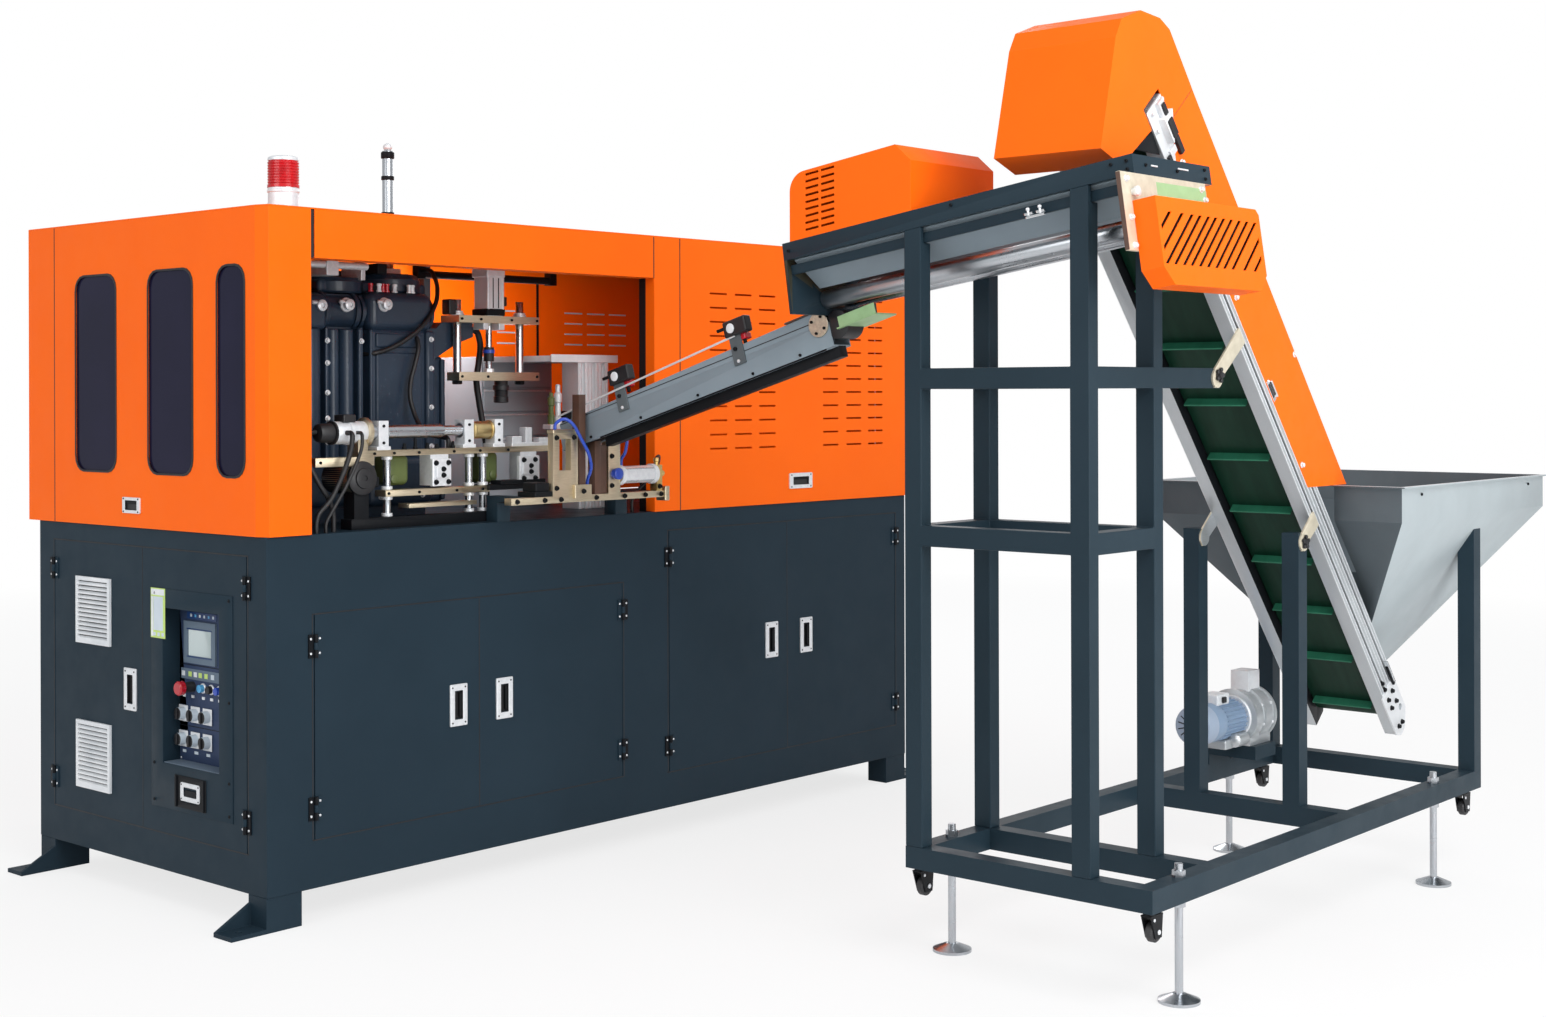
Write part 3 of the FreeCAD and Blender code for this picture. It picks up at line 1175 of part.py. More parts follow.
def levelling_feet():
    made = []
    z0, z1 = BASE_Z
    for x in LEVEL_X:
        for y in level_rows():
            pad = rod(x, y, 0, UP, PAD_R, PAD_T / 2)
            cone = Part.makeCone(PAD_R, LEVEL_NUT_R, PAD_T, V(x, y, PAD_T / 2), UP)
            stem = rod(x, y, PAD_T, UP, LEVEL_ROD_R, z1 + 2 * LEVEL_NUT_T - PAD_T)
            nuts = [hexagon(x, y, z0 - LEVEL_NUT_T, LEVEL_NUT_R, LEVEL_NUT_T),
                    hexagon(x, y, z1, LEVEL_NUT_R, LEVEL_NUT_T)]
            made.append(fuse([pad, cone, stem] + nuts))
    return group(made)


def hexagon(x, y, z, radius, height):
    corners = [(x + radius * math.cos(math.radians(60 * k)), y + radius * math.sin(math.radians(60 * k)))
               for k in range(6)]
    return prism_z(corners, z, z + height)


# ---------------------------------------------------------------- conveyor
def at_slope(u, n):
    """Point (x, z) on the conveyor, u up the slope and n square to it."""
    x = FOOT_X - u * math.cos(INCLINE) + n * math.sin(INCLINE)
    z = FOOT_Z + u * math.sin(INCLINE) + n * math.cos(INCLINE)
    return x, z


def slope_prism(outline, y0, y1):
    return prism_y([at_slope(u, n) for u, n in outline], y0, y1)


def slope_rod(u, n, y0, y1, radius):
    x, z = at_slope(u, n)
    return rod(x, y0, z, ACROSS, radius, y1 - y0)


def conveyor_rails():
    """Two grooved side profiles with their end plates, cross ties and the lugs to the frames."""
    y0, y1 = CONV_Y
    chamfer = RAIL_N / 3
    outline = [(0, 0), (CONV_U, 0), (CONV_U, RAIL_N), (chamfer, RAIL_N), (0, RAIL_N - chamfer)]
    made = []
    for low, high, face in ((y0, y0 + RAIL_W, y0), (y1 - RAIL_W, y1, y1 - GROOVE_D)):
        rail = slope_prism(outline, low, high)
        grooves = [slope_prism([(TAIL_PLATE_U, n - GROOVE / 2), (CONV_U, n - GROOVE / 2),
                                (CONV_U, n + GROOVE / 2), (TAIL_PLATE_U, n + GROOVE / 2)],
                               face, face + GROOVE_D) for n in GROOVES_N]
        made.append(cut(rail, grooves))
    low_n = DRUM_N - DRUM_R - DRUM_GAP
    high_n = DRUM_N + DRUM_R + DRUM_GAP
    ties = [slope_prism([(u, low_n), (u + BED_W, low_n), (u + BED_W, high_n), (u, high_n)],
                        y0 + RAIL_W, y1 - RAIL_W) for u in BED_U]
    reach = SIDE_PLATE_T + TAKE_UP[2]
    bores = [slope_rod(u, DRUM_N, y0 - reach, y1 + reach, DRUM_SHAFT_R + DRUM_FIT) for u in (TAIL_U, HEAD_U)]
    return cut(fuse(made + ties + frame_lugs() + end_plates()), bores)


def end_plates():
    """Plates over the ends of the profiles, with the take-up bearings of the head drum."""
    y0, y1 = CONV_Y
    out = SIDE_PLATE_OUT
    tail = [(-out, out), (out, -out), (TAIL_PLATE_U, -out), (TAIL_PLATE_U, RAIL_N - SEAM),
            (RAIL_N / 3, RAIL_N - SEAM), (-out, RAIL_N / 2)]
    low = CONV_U - HEAD_PLATE_L
    fold = GUARD_FOLD - SEAM
    head = [(low, 0), (CONV_U, 0), (CONV_U, RAIL_N - SEAM), (GUARD_U1 + SEAM, RAIL_N - SEAM),
            (GUARD_U1 - RAIL_N + SEAM, fold), (low, fold)]
    along, across, out_y = TAKE_UP
    u0, u1 = HEAD_U - along / 2, HEAD_U + along / 2
    n0, n1 = DRUM_N - across / 2, DRUM_N + across / 2
    block = [(u0, n0), (u1, n0), (u1, n1 - SEAM), (u0, n0 + SEAM)]
    made = []
    for face, side in ((y0, -1), (y1, 1)):
        plate = sorted((face, face + side * SIDE_PLATE_T))
        outer = sorted((face, face + side * (SIDE_PLATE_T + out_y)))
        made += [slope_prism(tail, plate[0], plate[1]), slope_prism(head, plate[0], plate[1]),
                 slope_prism(block, outer[0], outer[1])]
    return made


def frame_lugs():
    """Plates from the profiles to the tower arm and the short posts."""
    y0, y1 = CONV_Y
    half = TUBE / 2
    arm = (RING_ARM_X - half, sum(RINGS_Z[1]) / 2)
    post = (SHORT_POST_X + half, SHORT_POST_TOP - half)
    return [lug(arm, y0 - LUG_T), lug(post, y0 - LUG_T), lug(post, y1)]


def lug(bolt, y):
    """Round-ended plate from a bolt in a frame tube to the side of a profile."""
    x, z = bolt
    half = TUBE / 2
    u, n = slope_of(x, z)
    upper = at_slope(u + half, GROOVES_N[0])
    lower = at_slope(u - half, GROOVES_N[0])
    plate = prism_y([(x - half / 2, z + half), (x - half / 2, z - half), lower, upper], y, y + LUG_T)
    return fuse([plate, rod(x, y, z, ACROSS, half, LUG_T)])


def slope_of(x, z):
    dx = x - FOOT_X
    dz = z - FOOT_Z
    u = -dx * math.cos(INCLINE) + dz * math.sin(INCLINE)
    n = dx * math.sin(INCLINE) + dz * math.cos(INCLINE)
    return u, n


def conveyor_belt():
    """Endless belt round both drums, with cleats on its outer face."""
    y0 = CONV_Y[0] + RAIL_W + BELT_SIDE
    y1 = CONV_Y[1] - RAIL_W - BELT_SIDE
    r0 = DRUM_R + DRUM_GAP
    r1 = r0 + BELT_T

    def loop(radius):
        run = slope_prism([(TAIL_U, DRUM_N - radius), (HEAD_U, DRUM_N - radius),
                           (HEAD_U, DRUM_N + radius), (TAIL_U, DRUM_N + radius)], y0, y1)
        ends = [slope_rod(u, DRUM_N, y0, y1, radius) for u in (TAIL_U, HEAD_U)]
        return fuse([run] + ends)

    pieces = [loop(r1).cut(loop(r0))]
    count = int((HEAD_U - CLEAT_FIRST) / CLEAT_PITCH) + 1
    for k in range(count):
        u = CLEAT_FIRST + k * CLEAT_PITCH
        for n0, n1 in ((DRUM_N - r1 - CLEAT_H, DRUM_N - r1), (DRUM_N + r1, DRUM_N + r1 + CLEAT_H)):
            pieces.append(slope_prism([(u, n0), (u + CLEAT_T, n0), (u + CLEAT_T, n1), (u, n1)],
                                      y0 + CLEAT_INSET, y1 - CLEAT_INSET))
    return fuse(pieces)


def drum(u):
    y0, y1 = CONV_Y
    inner0 = y0 + RAIL_W + BELT_SIDE
    inner1 = y1 - RAIL_W - BELT_SIDE
    body = slope_rod(u, DRUM_N, inner0, inner1, DRUM_R)
    shaft = slope_rod(u, DRUM_N, y0, y1, DRUM_SHAFT_R)
    return fuse([body, shaft])


def side_cover():
    """Folded cover over the carrying side: two cheeks outside the profiles and a back sheet."""
    y0, y1 = CONV_Y
    u1 = GUARD_U1
    low_u = (GUARD_Z - FOOT_Z - GUARD_FOLD * math.cos(INCLINE)) / math.sin(INCLINE)
    tip_u = (GUARD_Z - FOOT_Z - GUARD_N * math.cos(INCLINE)) / math.sin(INCLINE)
    outline = [(low_u, GUARD_FOLD), (tip_u, GUARD_N), (u1, GUARD_N), (u1, RAIL_N), (u1 - RAIL_N, GUARD_FOLD)]
    outer = slope_prism(outline, y0 - GUARD_T, y1 + GUARD_T)
    inner = slope_prism([(low_u - GUARD_N, -GUARD_N), (low_u - GUARD_N, GUARD_N - GUARD_T),
                         (u1 + GUARD_N, GUARD_N - GUARD_T), (u1 + GUARD_N, -GUARD_N)], y0, y1)
    return outer.cut(inner)


def discharge_hood():
    """Hood over the head of the conveyor, open below over the tray."""
    y0 = CONV_Y[0] - GUARD_T
    y1 = CONV_Y[1] + GUARD_T
    head = CONV_U + HOOD_CLEAR
    end_x, end_z = at_slope(CONV_U, 0)
    profile = [(end_x + dx, end_z + dz) for dx, dz in HOOD_PROFILE]
    lip = (end_x + HOOD_LIP[0], end_z + HOOD_LIP[1])
    notch = [at_slope(GUARD_U1, GUARD_N), at_slope(GUARD_U1, RAIL_N), at_slope(head, RAIL_N),
             at_slope(head, -SEAM), at_slope(CONV_U - HOOD_NOTCH, -SEAM), lip]
    outer = prism_y(profile + notch, y0, y1)
    below = at_slope(GUARD_U1 - TUBE, -GUARD_N)
    room = profile + [at_slope(GUARD_U1 - TUBE, GUARD_N), below, (lip[0], below[1]), lip]
    inner = inset(room, HOOD_T, y0 + HOOD_T, y1 - HOOD_T)
    return outer.cut(inner)


def inset(outline, thickness, y0, y1):
    """Outline of (x, z) points drawn in by a sheet thickness and carried from y0 to y1."""
    drawn = face_of([V(x, y0, z) for x, z in outline]).makeOffset2D(-thickness, 2)
    return Part.Face(drawn.Wires[0]).extrude(V(0, y1 - y0, 0))


# ---------------------------------------------------------------- hopper
def hopper():
    """Folded sheet hopper: rim, band, four sloping walls and a floor beside the belt."""
    x0, x1 = HOP_X
    y0, y1 = HOP_Y
    mid = (y0 + y1) / 2
    ox0, ox1 = HOP_OUT_X
    g = HOP_OUT_HALF

    def funnel(t):
        band = box(x0 + t, x1 - t, y0 + t, y1 - t, HOP_BAND, HOP_RIM)
        top = corners(x0 + t, x1 - t, y0 + t, y1 - t, HOP_BAND)
        low = corners(ox0 + t, ox1 - t, mid - g + t, mid + g - t, HOP_OUT_Z + t)
        sides = [face_of([top[k], top[(k + 1) % 4], low[(k + 1) % 4], low[k]]) for k in range(4)]
        walls = Part.Solid(Part.Shell(sides + [face_of(top), face_of(low)]))
        return fuse([band, walls])

    shell = funnel(0).cut(funnel(HOP_T))
    lip = box(x0 - HOP_LIP, x1 + HOP_LIP, y0 - HOP_LIP, y1 + HOP_LIP, HOP_RIM - HOP_T, HOP_RIM)
    lip = lip.cut(box(x0 + HOP_T, x1 - HOP_T, y0 + HOP_T, y1 - HOP_T, HOP_RIM - HOP_T, HOP_RIM))
    cy0, cy1 = CONV_Y
    clear = RAIL_N + CLEAT_H + SEAM
    feed = slope_prism([(-TUBE, -GUARD_N), (CONV_U, -GUARD_N), (CONV_U, clear), (-TUBE, clear)], cy0, cy1)
    mouth = slope_prism([(0, 0), (CONV_U, 0), (CONV_U, GUARD_N), (0, GUARD_N)], cy0, cy1)
    band_zone = box(x0 - TUBE, x1, y0, y1, HOP_BAND, HOP_RIM)
    return cut(fuse([shell, lip]), [feed, mouth.common(band_zone)])


def corners(x0, x1, y0, y1, z):
    return [V(x0, y0, z), V(x1, y0, z), V(x1, y1, z), V(x0, y1, z)]


# ---------------------------------------------------------------- sorting tray
def on_tray(shape):
    """Tilts a piece drawn level, with the near top edge of the tray at y 0 and z 0."""
    moved = turned(shape, V(0, 0, 0), ALONG, -math.degrees(TILT))
    moved.translate(V(0, TRAY_NEAR[0], TRAY_NEAR[1]))
    return moved


def tray_frame():
    """Tray band on four sides, inner stringers, and the end plates for the rollers."""
    x0, x1 = TRAY_X
    outer = box(x0, x1, 0, TRAY_LEN, -BAND_H, 0)
    inner = box(x0 + BAND_T, x1 - BAND_T, BAND_T, TRAY_LEN - BAND_T, -BAND_H, 0)
    pieces = [outer.cut(inner)]
    px0, px1, low = NEAR_PLATE
    pieces.append(box(px0, px1, 0, END_PLATE_T, -low, -BAND_H))
    pieces.append(box(x0, x1, TRAY_LEN - END_PLATE_T, TRAY_LEN, -FAR_PLATE_LOW, -BAND_H))
    for x in (x0 + STRINGER_SET, x1 - STRINGER_SET - BAND_T / 2):
        pieces.append(box(x, x + BAND_T / 2, END_PLATE_T, TRAY_LEN - END_PLATE_T, STRINGER[1], STRINGER[0]))
    bores = [rod(x, 0, -ROLL_DROP, ACROSS, ROLL_SHAFT_R + ROLL_FIT, TRAY_LEN) for x in ROLL_X]
    return on_tray(cut(fuse(pieces), bores))


def tray_guards():
    """Slanting sheets that lead preforms on to the rollers."""
    made = []
    t = GUARD_T
    for side, x in ((1, TRAY_X[0] + BAND_T), (-1, TRAY_X[1] - BAND_T)):
        drop = ROLL_DROP - ROLL_R - SEAM
        foot = (ROLL_X[0] - ROLL_R - SEAM) if side > 0 else (ROLL_X[1] + ROLL_R + SEAM)
        outline = [(x, 0), (x + side * t, 0), (x + side * t, -BAND_H),
                   (foot, -drop), (foot - side * t, -drop), (x, -BAND_H - t)]
        made.append(prism_y(outline, BAND_T, TRAY_LEN - BAND_T))
    return on_tray(group(made))


def tray_roller(x):
    gap = END_PLATE_T + SEAM
    body = rod(x, gap, -ROLL_DROP, ACROSS, ROLL_R, TRAY_LEN - 2 * gap)
    shaft = rod(x, 0, -ROLL_DROP, ACROSS, ROLL_SHAFT_R, TRAY_LEN)
    return on_tray(fuse([body, shaft]))


def drive_cover():
    """Slotted cover over the roller drive at the near end of the tray."""
    x0, x1 = COVER_X
    c = COVER_CORNER
    z1 = COVER_TOP
    z0 = z1 - COVER_H
    outline = [(x0, z0 + c), (x0 + c, z0), (x1 - c, z0), (x1, z0 + c), (x1, z1 - c / 3), (x1 - c / 3, z1),
               (x0, z1)]
    body = prism_y(outline, -COVER_D, 0).cut(inset(outline, COVER_T, -COVER_D + COVER_T, 0))
    low, high = z0 + COVER_SLOT_Z[0], z0 + COVER_SLOT_Z[1]
    run = (high - low) / math.tan(COVER_SLOT_LEAN)
    near, far = -COVER_D, -COVER_D + COVER_T
    field = box(x0 + COVER_SLOT_X[0], x0 + COVER_SLOT_X[1], near, far, low, high)
    slots = []
    for foot in COVER_SLOT_FEET:
        sx = x0 + foot
        line = [(sx, low), (sx + COVER_SLOT_W, low), (sx + COVER_SLOT_W + run, high), (sx + run, high)]
        slots.append(prism_y(line, near, far).common(field))
    return on_tray(cut(body, slots))


def hood_block(t):
    """Body of the vented hood drawn in by t: its ends are plumb once the tray is tilted."""
    y0 = TRAY_LEN - VENT_HOOD_Y[1] + t
    y1 = TRAY_LEN - VENT_HOOD_Y[0] - t
    top = VENT_HOOD_H - t
    lean = math.tan(TILT)
    c = VENT_HOOD_CORNER
    far_top = y1 - top * lean
    outline = [(y0, 0), (y1, 0), (far_top, top), (y0 + c - top * lean, top), (y0 - (top - c) * lean, top - c)]
    block = prism_x(outline, TRAY_X[0] + t, TRAY_X[1] - t)
    corner = [edge for edge in block.Edges if edge.BoundBox.XLength > VENT_HOOD_H
              and abs(edge.BoundBox.YMax - far_top) < SEAM and edge.BoundBox.ZMax > top - SEAM]
    return block.makeFillet(VENT_HOOD_ROUND - t, corner)


def vented_hood():
    """Low hood over the far end of the tray, open below, with slots in its sides."""
    x0 = TRAY_X[0]
    y1 = TRAY_LEN - VENT_HOOD_Y[0]
    long, high, pitch = HOOD_SLOT
    slots = []
    for row in range(HOOD_SLOT_ROWS):
        z = HOOD_SLOT_FIRST + row * pitch
        for back in HOOD_SLOT_FROM:
            start = y1 - back - z * math.tan(TILT)
            slots.append(box(x0, x0 + GUARD_T, start, start + long, z, z + high))
    return on_tray(cut(hood_block(0), [hood_block(GUARD_T)] + slots))


def chute_slope():
    return math.atan2(CHUTE_B[1] - CHUTE_A[1], CHUTE_A[0] - CHUTE_B[0])


def chute_under_z(y):
    """Height of the underside of the chute above a point at y."""
    slope = chute_slope()
    return CHUTE_B[1] - (y - CHUTE_B[0]) * math.tan(slope) - CHUTE_H / math.cos(slope)


def chute():
    """Two side plates with their floor, the square bar beneath and the hook on the tray."""
    slope = chute_slope()
    length = (CHUTE_A[0] - CHUTE_B[0]) / math.cos(slope)
    h = CHUTE_H
    x0 = CHUTE_X - CHUTE_HALF
    x1 = CHUTE_X + CHUTE_HALF
    bar = CHUTE_BAR / 2
    level = fuse([box(x0, x0 + CHUTE_T, 0, length, -h, 0), box(x1 - CHUTE_T, x1, 0, length, -h, 0),
                  box(x0, x1, 0, length, -h, -h + CHUTE_T),
                  box(CHUTE_X - bar, CHUTE_X + bar, 0, length - CHUTE_BAR_END, -h - CHUTE_BAR, -h)])
    sloped = turned(level, V(0, 0, 0), ALONG, -math.degrees(slope))
    sloped.translate(V(0, CHUTE_B[0], CHUTE_B[1]))
    hook = on_tray(box(x0, x1, TRAY_LEN, TRAY_LEN + CHUTE_T, -FAR_PLATE_LOW - TUBE, -FAR_PLATE_LOW + TUBE))
    return fuse([sloped, hook])


# ---------------------------------------------------------------- blower
def blower():
    """Side-channel blower on its platform: motor, round housing, terminal box and foot."""
    x = BLOWER_X
    y = BLOWER_Y
    width, height = BLOWER_RING
    reach = BLOWER_HOUSE_R + height
    z = SHELF_TOP + reach
    house_x = x + BLOWER_MOTOR_L
    end = house_x + BLOWER_HOUSE_L
    motor = rod(x, y, z, ALONG, BLOWER_MOTOR_R, BLOWER_MOTOR_L)
    house = rod(house_x, y, z, ALONG, BLOWER_HOUSE_R, BLOWER_HOUSE_L)
    low, high, half, rise = BLOWER_BOX
    terminal = box(house_x + low, house_x + high, y - half, y + half, z, z + BLOWER_HOUSE_R + rise)
    foot = box(house_x, end, y - BLOWER_FOOT, y + BLOWER_FOOT, SHELF_TOP, z)
    step = (BLOWER_HOUSE_L - width) / (BLOWER_RINGS - 1)
    rings = [rod(house_x + k * step, y, z, ALONG, reach, width) for k in range(BLOWER_RINGS)]
    cover_l, cover_up = FAN_COVER
    fan_cover = rod(x, y, z, ALONG, BLOWER_MOTOR_R + cover_up, cover_l)
    return fuse([motor, house, terminal, foot, fan_cover] + rings)


# ---------------------------------------------------------------- output
os.makedirs("parts", exist_ok=True)
save("base_cabinet", base_cabinet())
save("floor_feet", floor_feet())
save("service_door_1", leaf(PAIR_1[0], PAIR_1[1], PAIR_1_Z, HANDLE_X[0], HANDLE_Z[0], True))
save("service_door_2", leaf(PAIR_1[1], PAIR_1[2], PAIR_1_Z, HANDLE_X[1], HANDLE_Z[0], False))
save("service_door_3", leaf(PAIR_2[0], PAIR_2[1], PAIR_2_Z, HANDLE_X[2], HANDLE_Z[1], True))
save("service_door_4", leaf(PAIR_2[1], PAIR_2[2], PAIR_2_Z, HANDLE_X[3], HANDLE_Z[1], False))
save("left_end_door", left_end_door())
save("control_door", control_door())
save("door_hinges", door_hinges())
save("vent_grilles", vent_grilles())
save("control_panel", control_panel())
save("emergency_stop", emergency_stop())
save("end_cover", end_cover())
save("window_panes", window_panes())
save("front_header", front_header())
save("corner_pillar", corner_pillar())
save("louvre_panel", louvre_panel())
save("rear_panel", rear_panel())
save("roof_panel", roof_panel())
save("upper_frame", upper_frame())
save("beacon_base", beacon_base())
save("beacon_lens", beacon_lens())
save("clamp_fixed_platen", clamp_fixed_platen())
save("clamp_moving_platen", clamp_moving_platen())
save("tie_bars", tie_bars())
save("stretch_cylinder", stretch_cylinder())
save("pickup_frame", pickup_frame())
save("pickup_cylinder", pickup_cylinder())
save("pickup_rod", pickup_rod())
save("transfer_frame", transfer_frame())
save("transfer_shaft", transfer_shaft())
save("infeed_stand", infeed_stand())
save("heater_box", heater_box())
save("interior_cables", interior_cables())
save("base_frame", base_frame())
save("tower_frame", tower_frame())
for number, (castor_x, castor_y) in enumerate(castor_places(), 1):
    save("castor_fork_" + str(number), castor_fork(castor_x, castor_y))
    save("castor_wheel_" + str(number), castor_wheel(castor_x, castor_y))
save("levelling_feet", levelling_feet())
save("conveyor_rails", conveyor_rails())
save("conveyor_belt", conveyor_belt())
save("tail_drum", drum(TAIL_U))
save("head_drum", drum(HEAD_U))
save("side_cover", side_cover())
save("discharge_hood", discharge_hood())
save("hopper", hopper())
save("tray_frame", tray_frame())
save("tray_guards", tray_guards())
save("roller_near", tray_roller(ROLL_X[0]))
save("roller_far", tray_roller(ROLL_X[1]))
save("drive_cover", drive_cover())
save("vented_hood", vented_hood())
save("chute", chute())
save("blower", blower())
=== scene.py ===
# Looks of the blow moulding machine and its preform elevator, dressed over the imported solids.
# Places are given in millimetres from the corner of the cabinet, as in the part's source.
import bpy
import json
import math
from mathutils import Matrix, Vector


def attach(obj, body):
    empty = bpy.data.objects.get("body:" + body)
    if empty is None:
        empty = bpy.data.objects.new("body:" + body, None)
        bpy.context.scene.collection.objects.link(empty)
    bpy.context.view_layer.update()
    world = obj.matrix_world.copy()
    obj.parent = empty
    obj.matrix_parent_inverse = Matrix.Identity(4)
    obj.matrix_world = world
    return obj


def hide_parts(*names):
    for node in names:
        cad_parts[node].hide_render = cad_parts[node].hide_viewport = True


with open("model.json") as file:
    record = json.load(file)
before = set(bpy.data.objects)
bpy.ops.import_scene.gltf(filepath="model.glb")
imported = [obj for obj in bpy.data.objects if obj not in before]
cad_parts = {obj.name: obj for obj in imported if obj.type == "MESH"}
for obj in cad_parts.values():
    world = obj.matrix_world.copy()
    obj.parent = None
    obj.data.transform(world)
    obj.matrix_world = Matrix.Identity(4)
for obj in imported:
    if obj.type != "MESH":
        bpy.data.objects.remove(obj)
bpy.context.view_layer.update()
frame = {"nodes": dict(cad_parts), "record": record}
nodes = frame["nodes"]
body_of_node = {}
for body_name, members in frame["record"]["behaviour"]["bodies"].items():
    for member in members:
        body_of_node[member] = body_name

MM = 0.001
CORNER = Vector((-1.402, -0.5935, 0.0))
X, Y, Z = Vector((1, 0, 0)), Vector((0, 1, 0)), Vector((0, 0, 1))


def spot(x, y, z):
    """A place in millimetres from the cabinet's corner, in metres of the model."""
    return Vector((x, y, z)) * MM + CORNER


# ---------------------------------------------------------------- materials
MIX_FIRST, MIX_SECOND, MIX_RESULT = 6, 7, 2       # the colour sockets of the Mix node


class Flow:
    """A node socket that takes part in sums."""

    def __init__(self, finish, socket):
        self.finish = finish
        self.socket = socket

    def maths(self, operation, first, second=None):
        return self.finish.add("ShaderNodeMath", {"operation": operation}, first, second)

    def __add__(self, other):
        return self.maths("ADD", self, other)

    def __mul__(self, other):
        return self.maths("MULTIPLY", self, other)

    def wave(self):
        return self.maths("SINE", self)

    def span(self, low, high, to_low=0.0, to_high=1.0):
        """Carries low..high to to_low..to_high, held at both ends."""
        return self.finish.add("ShaderNodeMapRange", {"clamp": True}, self, low, high, to_low, to_high)


class Finish:
    """One procedural material, read in object coordinates."""

    def __init__(self, name, metallic=0.0, coat=0.0, specular=0.5):
        self.material = bpy.data.materials.new(name)
        self.material.use_nodes = True
        self.tree = self.material.node_tree
        self.shader = self.tree.nodes["Principled BSDF"]
        self.shader.inputs["Metallic"].default_value = metallic
        self.shader.inputs["Coat Weight"].default_value = coat
        self.shader.inputs["Specular IOR Level"].default_value = specular
        self.place = self.add("ShaderNodeTexCoord", {}, output="Object")

    def add(self, kind, settings, *values, output=0):
        node = self.tree.nodes.new(kind)
        for key, value in settings.items():
            setattr(node, key, value)
        for index, value in enumerate(values):
            if value is not None:
                self.feed(node.inputs[index], value)
        return Flow(self, node.outputs[output])

    def feed(self, socket, value):
        if isinstance(value, Flow):
            self.tree.links.new(value.socket, socket)
        else:
            socket.default_value = value

    def stretched(self, scale):
        return self.add("ShaderNodeMapping", {}, self.place, (0, 0, 0), (0, 0, 0), scale)

    def noise(self, scale, detail=3.0, rough=0.5, stretch=None):
        where = self.stretched(stretch) if stretch else self.place
        return self.add("ShaderNodeTexNoise", {}, where, None, scale, detail, rough)

    def axis(self, index):
        return self.add("ShaderNodeSeparateXYZ", {}, self.place, output=index)

    def normal_axis(self, index):
        geometry = self.add("ShaderNodeNewGeometry", {}, output="Normal")
        return self.add("ShaderNodeSeparateXYZ", {}, geometry, output=index)

    def mix(self, amount, first, second):
        node = self.tree.nodes.new("ShaderNodeMix")
        node.data_type = "RGBA"
        self.feed(node.inputs[0], amount)
        self.feed(node.inputs[MIX_FIRST], colour(first))
        self.feed(node.inputs[MIX_SECOND], colour(second))
        return Flow(self, node.outputs[MIX_RESULT])

    def set(self, name, value):
        self.feed(self.shader.inputs[name], value)

    def bump(self, height, strength, distance=0.0006):
        node = self.tree.nodes.new("ShaderNodeBump")
        node.inputs["Strength"].default_value = strength
        node.inputs["Distance"].default_value = distance
        self.tree.links.new(height.socket, node.inputs["Height"])
        self.tree.links.new(node.outputs[0], self.shader.inputs["Normal"])


def colour(value):
    """A colour as the mix takes it: a flow as it is, a bare tone with its alpha."""
    if isinstance(value, Flow):
        return value
    return tuple(value) + (1.0,) if len(value) == 3 else value


def powder_coat(name, tone, dark, pale, rough):
    """Sprayed and baked paint: orange peel, faint cloudiness and a little dust on what faces up."""
    f = Finish(name, specular=0.14)
    clouds = f.noise(2.6, 4.0, 0.55).span(0.3, 0.7)
    peel = f.noise(520.0, 2.0, 0.5)
    base = f.mix(clouds, dark, tone)
    dusty = f.normal_axis(2).span(0.6, 1.0) * f.noise(9.0, 5.0, 0.6).span(0.35, 0.75) * 0.05
    f.set("Base Color", f.mix(dusty, base, pale))
    f.set("Roughness", f.noise(14.0, 4.0, 0.6).span(0.3, 0.7, rough - 0.05, rough + 0.08) + dusty * 0.4)
    f.bump(peel, 0.16, 0.0004)
    return f.material


def drawn_metal(name, tone, dark, rough, stretch, scale=40.0, strength=0.12, metallic=1.0):
    """Metal with fine draw or grinding lines along its length."""
    f = Finish(name, metallic=metallic)
    lines = f.noise(scale, 4.0, 0.6, stretch)
    f.set("Base Color", f.mix(lines.span(0.3, 0.72), dark, tone))
    f.set("Roughness", f.noise(7.0, 3.0, 0.6).span(0.3, 0.7, rough - 0.06, rough + 0.1) + lines * 0.06)
    f.bump(lines, strength, 0.0003)
    return f.material


def moulded(name, tone, dark, rough=0.4, grain=900.0, strength=0.1, coat=0.0):
    """Moulded plastic or rubber with a fine skin."""
    f = Finish(name, coat=coat)
    f.set("Base Color", f.mix(f.noise(11.0, 4.0, 0.6).span(0.35, 0.65), dark, tone))
    f.set("Roughness", f.noise(35.0, 3.0, 0.6).span(0.3, 0.7, rough - 0.06, rough + 0.08))
    f.bump(f.noise(grain, 2.0, 0.5), strength, 0.0002)
    return f.material


def casting(name, tone, dark, rough=0.4):
    """Painted iron casting: pitted skin under gloss paint, darker in its hollows."""
    f = Finish(name, coat=0.15, specular=0.4)
    skin = f.noise(95.0, 5.0, 0.62)
    lumps = f.noise(16.0, 3.0, 0.5)
    base = f.mix(f.noise(5.0, 4.0, 0.6).span(0.3, 0.7), dark, tone)
    f.set("Base Color", f.mix(skin.span(0.62, 0.8) * 0.3, base, (0.2, 0.25, 0.31)))
    f.set("Roughness", skin.span(0.3, 0.7, rough - 0.1, rough + 0.12))
    f.bump(skin * 0.35 + lumps, 0.5, 0.0016)
    return f.material


